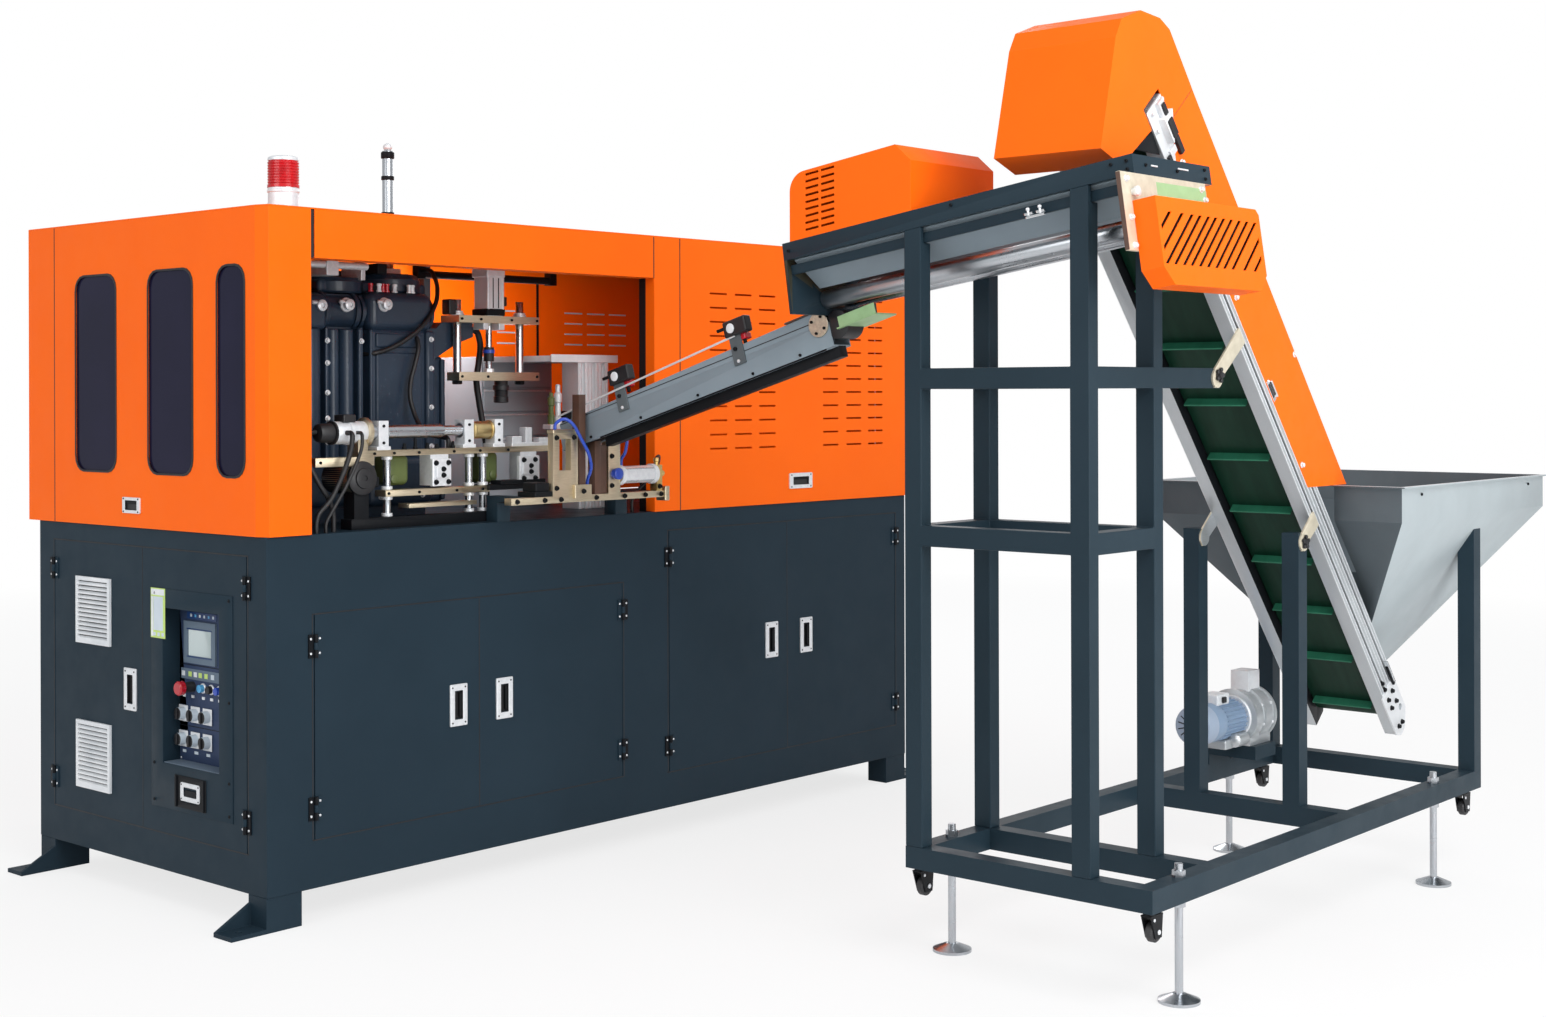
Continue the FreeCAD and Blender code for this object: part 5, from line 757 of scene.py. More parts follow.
console.append(slab("screen_rim", NAVY, (46.2, 47.2), (331, 455), (698, 701.5), 0.3))
console.append(slab("button_strip", LEDGE, (51.8, 53.4), (226, 492), (634, 664), 0.4))
for tag_y, tag in ((480, WHITE), (446, LIME), (420, WHITE), (395, LIME), (366, LIME), (334, LABEL)):
    console.append(slab("tag", tag, (51.0, 52), (tag_y - 8, tag_y + 8), (642, 656), 0.3))
for tag_y in (477, 434, 381, 340, 300):
    console.append(slab("tag", WHITE, (51.8, 53.4), (tag_y - 7, tag_y + 7), (582, 590), 0.3))
for tag_y in (357, 417, 477):
    console.append(slab("tag", LABEL, (51.8, 53.4), (tag_y - 9, tag_y + 9), (424, 432), 0.3))
    for switch_z in (464, 536):
        console.append(slab("switch_grip", BLACK, (23, 30), (tag_y - 4.5, tag_y + 4.5),
                            (switch_z - 15, switch_z + 15), 1.6))
for line_z in (500, 674):
    console.append(slab("panel_line", BLACK_STEEL, (52.4, 53.3), (222, 500), (line_z, line_z + 2), 0.2))
for button_y in (238, 272, 300, 340, 381):
    console.append(lathe("button_ring", SATIN, (53, button_y, 614), -X,
                         [(-0.4, 14.5), (3, 14.5), (4.6, 12.6), (4.6, 11)], 20))
console.append(slab("recess_ledge", LEDGE, (1.5, 53), (221.4, 500.6), (398.6, 401.6), 0.6))
for y in (228, 494):
    for z in (407, 832):
        console.append(lathe("console_screw", SATIN, (53, y, z), -X,
                             [(-0.4, 3), (0.8, 3), (1.6, 2), (1.6, 1.2), (0.9, 1.1)], 12))
assembled("console_fittings", console, "control_door")


def window_plate(name, material, outer, inner, start, reach):
    """Sheet on the end face with a window through it; both are given as (y0, y1, z0, z1)."""
    deselect()
    bpy.ops.mesh.primitive_plane_add(size=1, location=(0, 0, 0))
    obj = bpy.context.object
    obj.name = name
    into_edit(obj)
    bpy.ops.mesh.inset(thickness=0.2)
    bpy.ops.mesh.delete(type="FACE")
    out_of_edit()
    for vertex in obj.data.vertices:
        ring = outer if max(abs(vertex.co.x), abs(vertex.co.y)) > 0.4 else inner
        y = ring[0] if vertex.co.x > 0 else ring[1]
        z = ring[2] if vertex.co.y < 0 else ring[3]
        vertex.co = spot(start, y, z)
    into_edit(obj)
    push(reach, 0, 0)
    close_up()
    break_edges(obj, 0.7, 50)
    paint(obj, material)
    smooth(obj)
    return obj


door_plate = [window_plate("console_plate", DARK, (156, 560, 272, 892), (221, 501, 399, 838), -2.2, 2.4)]
for y, z in ((172, 878), (540, 878), (172, 600), (172, 380), (545, 395), (545, 290), (172, 290)):
    door_plate.append(lathe("plate_screw", BLACK_STEEL, (-2.2, y, z), -X,
                            [(-0.4, 4.6), (1.2, 4.6), (2.4, 3.2), (2.4, 1.9), (1.4, 1.8)], 12))
door_plate.append(slab("label_border", LIME, (-3.6, -1.8), (487, 560), (750, 892), 0.4))
door_plate.append(slab("label_head", WHITE, (-4.2, -3.2), (490, 557), (872, 889), 0.3))
door_plate.append(slab("label_field", LABEL, (-4.2, -3.2), (497, 545), (772, 868), 0.3))
door_plate.append(slab("label_side", WHITE, (-4.2, -3.2), (547, 557), (754, 868), 0.3))
for y in (498, 519, 540):
    door_plate.append(slab("label_mark", LABEL, (-4.3, -3.2), (y - 6, y + 6), (756, 766), 0.3))
assembled("console_plate", door_plate, "control_door")

latch = [stadium_frame("latch_plate", BLACK_STEEL, (0, 0, 0), (156, 90), (74, 55), 4.4, "up", 1.0, 3.0),
         cup("latch_pocket", BLACK, (76, 57), 3.8, 8.6),
         stadium_frame("latch_bezel", SATIN, (2, 2, 3.8), (96, 52), (66, 26), 3.0, "up", 1.0, 7.0),
         slab("latch_tongue", BLACK_STEEL, (-26, 30), (-10, 8), (1, 5.6), 1.6)]
for latch_x in (-68, 68):
    latch.append(slab("latch_rail", BLACK_STEEL, (latch_x - 4, latch_x + 4), (-44, 44), (3, 9), 1.4))
for latch_x in (-40, 44):
    for latch_y in (-18, 22):
        latch.append(screw_head(latch_x, latch_y, 6.6, 2.4))
fit(drawn_flat("console_latch", latch, (0.2, 361, 329), "left"), "control_door")

# rubber round the windows of the end cover
for number, (y0, y1) in enumerate(((84, 218), (335, 564), (733, 960)), 1):
    rubber = stadium_frame("window_rubber_" + str(number), RUBBER_AND_SHADE_BLACK, (-7.6, (y0 + y1) / 2, 1505), (y1 - y0 + 5, 583),
                           (y1 - y0 - 7, 571), 2.2, "left", 0.8, 48.0)
    fit(rubber)

# beacon: ribbed lens under a bright cap, on a stepped base
BEACON = (101, 62)                                # X and Y of its axis
CYLINDER = (827, 540)                             # X and Y of the stretch cylinder's axis
ribs = [(6.0, 39.0)]
for count in range(8):
    low = 11.0 + count * 7.6
    ribs += [(low, 40.2), (low + 1.6, 42.2), (low + 5.0, 42.2), (low + 6.6, 40.2)]
fit(lathe("beacon_ribs", RED_LENS, (*BEACON, 2004), Z, ribs + [(74.0, 39.0)], 40, 50))
fit(lathe("beacon_cap", SATIN, (*BEACON, 2004), Z,
          [(74, 41.4), (78, 42.2), (82.5, 40.6), (85.5, 34), (87.2, 22), (87.8, 0.4)], 40))
fit(lathe("beacon_foot", SATIN, (*BEACON, 1950), Z,
          [(0, 46), (4, 46), (6, 43), (12, 42.2), (14, 41.2), (40, 41.2), (42, 43.4), (47, 43.4),
           (49, 42), (53, 42), (54.5, 40)], 40))

# stretch cylinder where it passes the roof
fit(lathe("roof_grommet", BLACK, (*CYLINDER, 1950), Z, [(0, 27), (3, 27), (6, 24), (11, 21), (13, 17.4)], 28))
for number, (low, high) in enumerate(((2006, 2016), (2118, 2130)), 1):
    fit(lathe("cylinder_ring_" + str(number), BLACK_STEEL, (*CYLINDER, low), Z,
              [(0, 17.1), (0, 19.4), (1, 20.2), (high - low - 1, 20.2), (high - low, 19.4), (high - low, 17.1)],
              28))
fit(lathe("cylinder_head", BLACK_STEEL, (*CYLINDER, 2186), Z,
          [(0, 17.2), (0, 20), (2, 21), (18, 21), (21, 19), (22, 11), (24.6, 11)], 28))
fit(lathe("cylinder_ball", SATIN, (*CYLINDER, 2210), Z,
          [(0, 7), (3, 10.5), (7, 13.4), (12, 14.4), (17, 13.2), (21, 10), (24, 5), (24.9, 0.5)], 24))
bpy.data.objects.remove(screw)


# ---------------------------------------------------------------- blow clamp
def near_line(axis_y, axis_z, radius):
    """Test that a face lies round a line along X."""
    return lambda x, y, z, normal: math.hypot(y - axis_y, z - axis_z) < radius


def near_post(axis_x, axis_y, radius, zs):
    """Test that a face lies round an upright line, between two heights."""
    return lambda x, y, z, normal: math.hypot(x - axis_x, y - axis_y) < radius and zs[0] <= z <= zs[1]


SHUT_LINE = (408, 1690)                           # Y and Z of the bosses on both carriers
SHAFT = (80, 1333)                                # Y and Z of the transfer shaft
FEED_LINE = (-127, 1190)                          # Y and Z of the infeed cylinder
PICK_Y, PICK_X, PICK_GUIDES = 350, 1079, (949, 1209)    # the pick-up's plane, its rod and its two guide rods

fixed = [slab("body", IRON, (602, 842), (342, 396), (1246, 1642), 20, 5),
         slab("head", IRON, (599, 846), (334, 404), (1632, 1752), 30, 6),
         slab("pad", IRON, (624, 800), (336, 350), (1262, 1568), 7, 3),
         slab("pad", IRON, (624, 800), (336, 350), (1582, 1626), 6, 3),
         slab("rib", IRON, (812, 846), (330, 392), (1250, 1636), 9, 3),
         slab("rib", IRON, (600, 612), (334, 392), (1250, 1636), 5, 3),
         slab("foot", IRON, (598, 848), (338, 400), (1100, 1252), 24, 5),
         slab("side", IRON, (845, 934), (394, 560), (1100, 1562), 18, 4),
         slab("side_rib", IRON, (852, 866), (382, 400), (1110, 1550), 5, 3),
         slab("side_rib", IRON, (912, 928), (382, 400), (1110, 1550), 5, 3)]
fixed.append(lathe("hub", IRON, (846, *SHUT_LINE), X, [(0, 50), (2, 60), (10, 61), (13, 58)], 32))
assembled("fixed_carrier_casting", fixed)
moving = [lathe("column", IRON, (398, 374, 1244), Z, [(0, 38), (0, 40), (388, 40), (392, 36)], 28),
          lathe("column", IRON, (486, 372, 1244), Z, [(0, 21), (388, 21), (392, 18)], 24),
          lathe("column", IRON, (533, 370, 1244), Z, [(0, 25), (388, 25), (392, 22)], 24),
          slab("edge", IRON, (562, 580), (340, 392), (1240, 1640), 6, 3),
          slab("edge", IRON, (446, 458), (346, 392), (1240, 1640), 4, 3),
          slab("foot", IRON, (334, 580), (340, 396), (1106, 1246), 22, 5),
          slab("head", IRON, (336, 452), (338, 396), (1630, 1738), 22, 5),
          lathe("flange", IRON, (452, *SHUT_LINE), X,
                [(0, 55), (0, 61), (3, 63), (13, 63), (16, 60), (16, 55)], 36),
          lathe("flange", IRON, (562, *SHUT_LINE), X,
                [(0, 55), (0, 61), (3, 63), (13, 63), (16, 60), (16, 55)], 36)]
assembled("moving_carrier_casting", moving, "clamp_moving_platen")
dressed("stretch_cylinder", IRON,
        ((STEEL_Z, near_post(*CYLINDER, 18, (1837, 2220))), (SATIN, near_post(*CYLINDER, 42, (1821, 1838)))),
        soft=4.0)
crown = [lathe("collar", IRON, (556, 474, 1746), Z,
               [(0, 96), (6, 100), (34, 100), (40, 94), (46, 92), (48, 88)], 40),
         lathe("collar", IRON, (768, 474, 1753), Z,
               [(0, 100), (6, 104), (42, 104), (50, 97), (56, 95), (58, 90)], 40),
         slab("bridge", IRON, (460, 868), (400, 500), (1746, 1786), 12, 4)]
assembled("crown_collars", crown)

rig = [slab("post", SATIN, (456, 500), (352, 500), (1794, 1842), 3),
       slab("post", SATIN, (602, 618), (380, 480), (1786, 1842), 2),
       slab("block", BLACK_STEEL, (664, 700), (380, 470), (1808, 1840), 3),
       bar("tube", SATIN, (146, 366, 1826), (612, 366, 1826), 11, 20)]
for x, tone in ((615, RED), (647, WHITE), (661, RED), (676, RED), (706, WHITE), (761, SATIN), (774, SATIN)):
    rig.append(lathe("fitting", tone, (x, 352, 1751), Z,
                     [(0, 9), (4, 9), (5, 6.5), (18, 6.5), (20, 8), (25, 8), (26, 5)], 14))
assembled("clamp_top_fittings", rig)

EYE = [(-1, 21), (3, 22), (6, 20), (7, 14), (15, 14), (16, 17), (22, 17), (24, 14), (25, 8), (20, 7)]
for number, (x, z, owner) in enumerate(((425, 1703, "clamp_moving_platen"), (524, 1708, "clamp_moving_platen"),
                                        (652, 1712, "machine")), 1):
    hub = [lathe("hub", SATIN, (x, 352 if x < 600 else 336, z), -Y, EYE, 20),
           lathe("ear", SATIN, (x - 14, 340 if x < 600 else 324, z + 8), -X, [(-2, 6), (16, 6), (18, 4)], 12)]
    fit(join("clamp_nut_" + str(number), hub), owner)
pale_bolt = bolt_template("pale_bolt", SATIN, 6.5, 6, 8.5)
dark_bolt = bolt_template("dark_bolt", BLACK_STEEL, 6, 6, 8, True)
small_bolt = bolt_template("small_bolt", BLACK_STEEL, 4.2, 4.2, 0, True)
stamp("moving_carrier_bolts", pale_bolt, [(452, 346, z, -Y) for z in (1300, 1370, 1446, 1534, 1600)] +
      [(571, 340, z, -Y) for z in (1290, 1600)], "clamp_moving_platen")
stamp("fixed_carrier_bolts", pale_bolt, [(829, 330, z, -Y) for z in (1280, 1400, 1520, 1610)] +
      [(720, 342, 1252, -Y), (640, 338, 1130, -Y), (800, 338, 1130, -Y)])

# ---------------------------------------------------------------- pick-up unit
dressed("pickup_rod", CHAMPAGNE,
        [(STEEL_Z, near_post(x, PICK_Y, 13.3, (1510.5, 1740))) for x in PICK_GUIDES] +
        [(BLACK, near_post(PICK_X, PICK_Y, 17.3, (1544, 1591))),
         (STEEL_Z, near_post(PICK_X, PICK_Y, 10.4, (1511, 1710))),
         (BLACK, near_post(1130, PICK_Y, 22.4, (1410, 1482.5)))], soft=0.7)
fit(lathe("coupler_ring", BLUE, (PICK_X, PICK_Y, 1571), Z, [(0, 17.2), (0, 19), (11, 19), (11, 17.2)], 24),
    "pickup_rod")
grip = [lathe("grip", BLACK, (1130, PICK_Y, 1412), Z,
              [(0, 15), (0, 19), (2, 24), (20, 24), (22, 21), (40, 21), (42, 26), (56, 26), (58, 22.2)], 28)]
grip += [lathe("nut", BLACK_STEEL, (x, PICK_Y, 1482), -Z, [(-1, 17), (9, 17), (11, 13), (11, 9)], 6, 10)
         for x in PICK_GUIDES]
grip.append(lathe("nut", SATIN, (PICK_X, PICK_Y, 1510), Z, [(-1, 17), (11, 17), (12, 12)], 6, 10))
assembled("pickup_gripper", grip, "pickup_rod")
unit = [slab("cap", BLACK_STEEL, (1041, 1117), (312, 388), (1689.5, 1712), 4, 3),
        slab("cap", SATIN, (1041, 1117), (312, 388), (1812, 1840), 4, 3),
        slab("block", SATIN, (1036, 1057), (324, 376), (1645, 1667), 2),
        slab("block", SATIN, (1101, 1124), (324, 376), (1645, 1667), 2)]
for x in (1054, 1068, 1090, 1104):
    unit.append(slab("flute", BLACK_STEEL if x in (1068, 1090) else SATIN, (x - 1.6, x + 1.6), (313.6, 316),
                     (1714, 1810), 0.6))
for x in (1049, 1109):
    unit.append(bar("tie", SATIN, (x, 318, 1700), (x, 318, 1822), 5.5, 14))
for x in PICK_GUIDES:
    unit.append(lathe("bush", SATIN, (x, PICK_Y, 1688), Z, [(0, 22), (7, 22), (9, 19), (14, 19), (15, 13.4)], 24))
unit.append(slab("switch", BLACK, (1118, 1140), (330, 360), (1722, 1752), 3))
unit.append(slab("switch", BLACK, (905, 934), (334, 372), (1690, 1738), 4))
assembled("pickup_fittings", unit)
stamp("pickup_bolts", small_bolt, [(x, 320, 1677.5, -Y) for x in (944, 1022, 1150, 1258)])
stamp("pickup_plate_bolts", small_bolt, [(x, 320, 1496, -Y) for x in (944, 1050, 1258)],
      "pickup_rod")

# ---------------------------------------------------------------- transfer unit
dressed("transfer_frame", CHAMPAGNE,
        [(BLACK, within((229, 272.8), (50, 110), (1300, 1366))), (SATIN, near_line(*SHAFT, 32.4)),
         (BLACK, lambda x, y, z, n: math.hypot(x - 355, z - 1204) < 46.5 and (y < 55 or y > 105 or n.y < -0.5)),
         (SATIN, within((417.5, 453.5), None, (1281.5, 1366))),
         (SATIN, within((733.5, 769.5), None, (1281.5, 1366))),
         (SATIN, within((850.5, 884.5), None, (1281.5, 1366))),
         (SATIN, within((601.5, 669.5), None, (1173.5, 1263))),
         (SATIN, within((949.5, 1015.5), None, (1173.5, 1263))),
         (BLACK_STEEL, within((319, 861), None, (1058, 1090))),
         (BLACK_STEEL, within((329, 381), None, (1089, 1204)))] +
        [(STEEL_Z, near_post(x, 80, 11.4, (1089, 1263.5))) for x in (463, 767, 821)], soft=1.2)
dressed("transfer_shaft", STEEL_X, ((GOLD, within((770, 850), None, None)),), soft=1.0)
fit(lathe("shaft_sleeve", STEEL_X, (458, *SHAFT), X,
          [(0, 15.2), (0, 18), (2, 19.6), (202, 19.6), (204, 18), (204, 15.2)], 32),
    "transfer_shaft")
roller = [lathe("rim", GOLD, (x, *SHAFT), X, [(0, 26.2), (0, 28), (1.4, 29), (6, 29), (7.4, 28), (7.4, 26.2)], 32)
          for x in (772, 840)]
assembled("roller_rims", roller, "transfer_shaft")
drive = [lathe("motor_cap", BLACK, (275, *SHAFT), -X,
               [(0, 30), (2, 33.5), (8, 34), (10, 28), (44, 27), (52, 24), (57, 16), (58, 0.6)], 28),
         lathe("motor_ring", SATIN, (318, *SHAFT), X, [(0, 32.2), (0, 34.5), (12, 34.5), (12, 32.2)], 28),
         lathe("flange", CHAMPAGNE, (376, *SHAFT), X,
               [(0, 33), (0, 40), (2, 42), (12, 42), (14, 39), (14, 20)], 32),
         lathe("hub", STEEL_X, (390, *SHAFT), X, [(0, 18), (10, 18), (14, 22), (24, 22), (28, 18)], 24),
         slab("terminal", BLACK, (296, 340), (58, 104), (1362, 1384), 4, 3),
         lathe("round_motor", BLACK, (355, 61, 1204), -Y,
               [(0, 47), (4, 48.5), (12, 48.5), (15, 45), (18, 30), (22, 28), (24, 20), (24, 8), (21, 7)], 36),
         slab("plug", BLACK_STEEL, (398, 424), (62, 98), (1176, 1206), 4, 3)]
for x0, x1 in ((600, 670), (936, 1017)):
    drive.append(slab("valve_block", SATIN, (x0, x1), (42, 57), (1172, 1252), 2.4, 2))
    drive.append(slab("valve_block", SATIN, (x0 + 10, x1 - 10), (36, 44), (1196, 1230), 2, 2))
    drive.append(lathe("port", SATIN, ((x0 + x1) / 2, 70, 1250), Z,
                       [(0, 9), (8, 9), (9, 12), (20, 12), (21, 8), (30, 8)], 16))
for x0, x1 in ((418, 453), (734, 769), (851, 884)):
    drive.append(slab("bearing_foot", SATIN, (x0 - 7, x1 + 7), (56, 104), (1280.5, 1292), 2))
    drive.append(lathe("bearing_ring", STEEL_X, (x0 - 2.4, *SHAFT), X, [(0, 17), (0, 21), (2.6, 21)], 24))
drive.append(slab("shelf", SATIN, (926, 1086), (66, 102), (1280.5, 1292), 1.6))
for x0, x1, top in ((930, 968, 1312), (984, 1010, 1338), (1040, 1080, 1306)):
    drive.append(slab("stop", SATIN, (x0, x1), (68, 98), (1291, top), 2))
for x, top in ((520, 1300), (560, 1316), (604, 1300), (640, 1296), (700, 1302)):
    drive.append(lathe("pin", BLACK_STEEL, (x, 72, 1280.5), Z,
                       [(0, 7), (8, 7), (9, 5), (top - 1284, 5), (top - 1281, 3)], 12))
drive.append(slab("low_plate", BLACK_STEEL, (817, 1080), (44, 120), (1152, 1168), 2))
drive.append(slab("low_plate", BLACK_STEEL, (860, 1040), (40, 90), (1168, 1180), 2))
for x in (463, 767, 821):
    for z in (1090, 1138, 1167, 1253):
        drive.append(lathe("collar", SATIN, (x, 80, z), Z,
                           [(0, 11.2), (0, 15), (1, 16), (9, 16), (10, 15), (10, 11.2)], 20))
assembled("transfer_fittings", drive)
guards = [slab("guard", OLIVE, (x0, x1), (104, 176), (z0, 1266), 18, 5)
          for x0, x1, z0 in ((484, 566, 1176), (656, 724, 1186), (834, 908, 1170))]
guards += [lathe("guard_pin", OLIVE, (x, 110, 1196), -Y, [(0, 12), (10, 12), (12, 8)], 16) for x in (506, 700, 880)]
assembled("olive_guards", guards)
stamp("valve_bolts", dark_bolt, [(x, 42, z, -Y) for x0 in (600, 940) for x in (x0 + 12, x0 + 58)
                                 for z in (1184, 1240)] +
      [(x0 + 35, 36, z, -Y) for x0 in (600, 941) for z in (1204, 1222)])
stamp("transfer_bolts", small_bolt,
      [(x, 55, z, -Y) for x, z in ((400, 1272), (470, 1272), (560, 1272), (690, 1272), (790, 1272),
                                   (900, 1272), (1080, 1272), (450, 1157), (560, 1157), (700, 1157), (800, 1157),
                                   (215, 1251), (300, 1251))] +
      [(x, 58, z, -Y) for z in (1350, 1302) for x in (435, 751, 867)])

# ---------------------------------------------------------------- infeed station
dressed("infeed_stand", CHAMPAGNE,
        ((BROWN, within((1009, 1037), None, (1137, 1440))), (BROWN, within((1074, 1101), None, (1136.5, 1400))),
         (SATIN, lambda x, y, z, n: 1182.5 < x < 1342.5 and z > 1160 and math.hypot(y + 127, z - 1190) < 27.4),
         (BRASS, within((1341.5, 1367), None, (1137, 1220))), (BLACK_STEEL, within(None, (-111, 60), (1058, 1137))),
         (FRAME, within(None, (-60, 60), None))), soft=1.0)
feed = [slab("wood_bar", BROWN, (1103, 1129), (-138, -116), (1136, 1284), 2),
        slab("guide_foot", CHAMPAGNE, (984, 1052), (-152, -141), (1126, 1168), 2),
        slab("dark_plate", BLACK_STEEL, (836, 906), (-138, -60), (1136, 1152), 2),
        slab("dark_plate", BLACK_STEEL, (846, 900), (-130, -70), (1151, 1178), 3),
        lathe("coupling", BLUE, (1158, -142, 1196), -Y, [(-1, 15), (8, 15), (10, 18), (20, 18), (22, 13)], 20),
        lathe("coupling", BLUE, (1170, -127, 1302), Z, [(0, 9), (12, 9), (14, 7)], 16),
        lathe("cylinder_cap", WHITE, (1182, *FEED_LINE), X, [(0, 28), (2, 31), (16, 31), (18, 28)], 28),
        lathe("cylinder_cap", WHITE, (1324, *FEED_LINE), X, [(0, 28), (2, 31), (16, 31), (18, 28)], 28),
        lathe("cylinder_stud", BRASS, (1366, *FEED_LINE), X, [(0, 14), (8, 14), (10, 9), (18, 9)], 6, 10),
        lathe("elbow", BRASS, (1354, -127, 1216), Z, [(0, 7), (10, 7), (12, 9), (22, 9), (24, 6)], 14),
        slab("gate_lip", CHAMPAGNE, (902, 1003), (-146, -116), (1322, 1334), 2),
        slab("gate_side", CHAMPAGNE, (1001, 1008), (-140, -90), (1140, 1320), 1.5),
        slab("bar_end", CHAMPAGNE, (1374, 1394), (-148, -106), (1104, 1150), 3)]
for angle in (45, 135, 225, 315):
    dy, dz = 26 * math.cos(math.radians(angle)), 26 * math.sin(math.radians(angle))
    feed.append(bar("tie_rod", STEEL_X, (1184, -127 + dy, 1190 + dz), (1340, -127 + dy, 1190 + dz), 3.4, 10))
assembled("infeed_fittings", feed)
stamp("infeed_bolts", dark_bolt, [(x, -142, 1126, -Y) for x in (762, 870, 935, 1080, 1200, 1290, 1360)] +
      [(1018, -152, 1148, -Y), (917, -142, 1310, -Y), (988, -142, 1310, -Y), (917, -142, 1160, -Y),
       (1145, -142, 1250, -Y), (1145, -142, 1160, -Y), (1354, -142, 1150, -Y)])
dressed("interior_cables", CABLE, ((BLUE, lambda x, y, z, n: y < -94 and x < 1300),), soft=0)

# ---------------------------------------------------------------- heater, stand and rear wall
dressed("heater_box", GREY_BOX,
        ((WHITE, within(None, None, (1546.5, 1567))), (PROFILE, within((1423, 1562), (299, 381), (1059, 1546.5)))),
        soft=1.2)
oven = []
for z0, z1 in ((1462, 1556), (1380, 1456), (1298, 1374), (1072, 1292)):
    oven.append(slab("panel", GREY_BOX, (1302, 1610), (632, 642), (z0, z1), 3))
    oven.append(slab("bead", SATIN, (1302, 1610), (629, 634), (z1 - 8, z1 - 2), 1.5))
for x0 in (1424, 1469.6, 1515.3):
    for x in (x0 + 6, x0 + 36):
        oven.append(slab("lip", SATIN, (x, x + 4), (297.4, 301), (1062, 1545), 1))
oven += [slab("valve_shelf", PROFILE, (1318, 1426), (320, 360), (1324, 1340), 2),
         lathe("valve", OLIVE, (1338, 340, 1340), Z,
               [(0, 12), (30, 12), (34, 9), (60, 9), (64, 12), (86, 12), (92, 7), (104, 7)], 18),
         lathe("valve", SATIN, (1368, 340, 1340), Z,
               [(0, 14), (20, 14), (24, 10), (70, 10), (74, 13), (100, 13), (106, 8), (128, 8), (132, 5)], 18),
         slab("box", BLACK_STEEL, (1392, 1418), (326, 356), (1340, 1384), 3),
         slab("plate_edge", WHITE, (1300, 1603), (296, 302), (1544, 1570), 2)]
assembled("heater_fittings", oven)
# the upright seam and the line under the upper panels: dark strips of painted shade in the panel gaps
wall = [slab("seam", BLACK_STEEL, (2080, 2090), (1229, 1233.4), (1566, 1880), 1),
        slab("lower_wall", GREY_BOX, (930, 1700), (1216, 1233.4), (1062, 1566), 3),
        slab("lower_gap_shade", BLACK_STEEL, (930, 1700), (1212, 1233.4), (1562, 1574), 2),
        slab("dark_wall", BLACK_STEEL, (150, 700), (1216, 1233.4), (1062, 1900), 3)]
wall += [slab("slot_lip", LABEL, (x, x + 95), (1231.4, 1233.4), (z - 3, z + 3), 0.8)
         for x in (1880, 2228, 2350, 2470) for z in (1757, 1716, 1675, 1634)]
assembled("bay_rear_wall", wall)

# ---------------------------------------------------------------- elevator: places on its slopes
SLOPE_X, SLOPE_Z, SLOPE_TILT = 2625, 410, 49.5    # foot of the conveyor's slope, and its rise in degrees
TRAY_Y, TRAY_Z, TRAY_TILT = -2107, 1992, 8.2      # near top edge of the tray, and its fall
CHUTE_Y, CHUTE_Z, CHUTE_TILT = -1080, 1633, 15.81  # high end of the chute, and its fall


def leaning(base, degrees, axis):
    return Matrix.Translation(spot(*base)) @ Matrix.Rotation(math.radians(degrees), 4, axis)


SLOPE = leaning((SLOPE_X, 0, SLOPE_Z), SLOPE_TILT, "Y")     # X runs down the conveyor (u is -X), Z square to it
TRAY = leaning((0, TRAY_Y, TRAY_Z), -TRAY_TILT, "X")        # Y runs along the tray from its near top edge
CHUTE = leaning((0, CHUTE_Y, CHUTE_Z), -CHUTE_TILT, "X")    # Y runs down the chute from its high end
SLOPE_COS, SLOPE_SIN = math.cos(math.radians(SLOPE_TILT)), math.sin(math.radians(SLOPE_TILT))
TRAY_UP = Vector((0, math.sin(math.radians(TRAY_TILT)), math.cos(math.radians(TRAY_TILT))))
TRAY_EDGE = Vector((0, TRAY_Y, TRAY_Z))
BAND_FOOT = TRAY_EDGE - TRAY_UP * 46
GREEN_TOP = TRAY_EDGE - TRAY_UP * 60
TRAY_LENGTH = 1078                                # to the end face that the chute hooks over
HOOK_GAP = 0.3
CHUTE_FALL, CHUTE_FLOOR = 0.2832, 68.5            # drop for each mm along Y, and depth of the chute's black foot
NEAR_SIDE, FAR_SIDE = -1995, -1685                # outer faces of the conveyor's side plates


def lean(matrix, obj):
    """Carries a piece drawn level at the cabinet's corner on to a slope."""
    obj.matrix_world = matrix @ Matrix.Translation(-CORNER)
    settle(obj)
    return obj


def leaned(matrix, places):
    """Fastener places (x, y, z, axis) carried on to a slope."""
    made = []
    for x, y, z, axis in places:
        there = (matrix @ (Vector((x, y, z)) * MM) - CORNER) / MM
        made.append((*there, matrix.to_3x3() @ axis))
    return made


def lean_all(matrix, parts):
    return [lean(matrix, obj) for obj in parts]


def u_of(x, z):
    """Distance up the conveyor from its foot."""
    return -(x - SLOPE_X) * SLOPE_COS + (z - SLOPE_Z) * SLOPE_SIN


def n_of(x, z):
    """Height above the conveyor's slope."""
    return (x - SLOPE_X) * SLOPE_SIN + (z - SLOPE_Z) * SLOPE_COS


def tray_up(y, z):
    """Height above the tray's top."""
    return (y - TRAY_Y) * math.sin(math.radians(TRAY_TILT)) + (z - TRAY_Z) * math.cos(math.radians(TRAY_TILT))


def outside(y):
    """Whether a face lies on the side plates, past the conveyor's profiles."""
    return y < -1990.2 or y > -1689.8


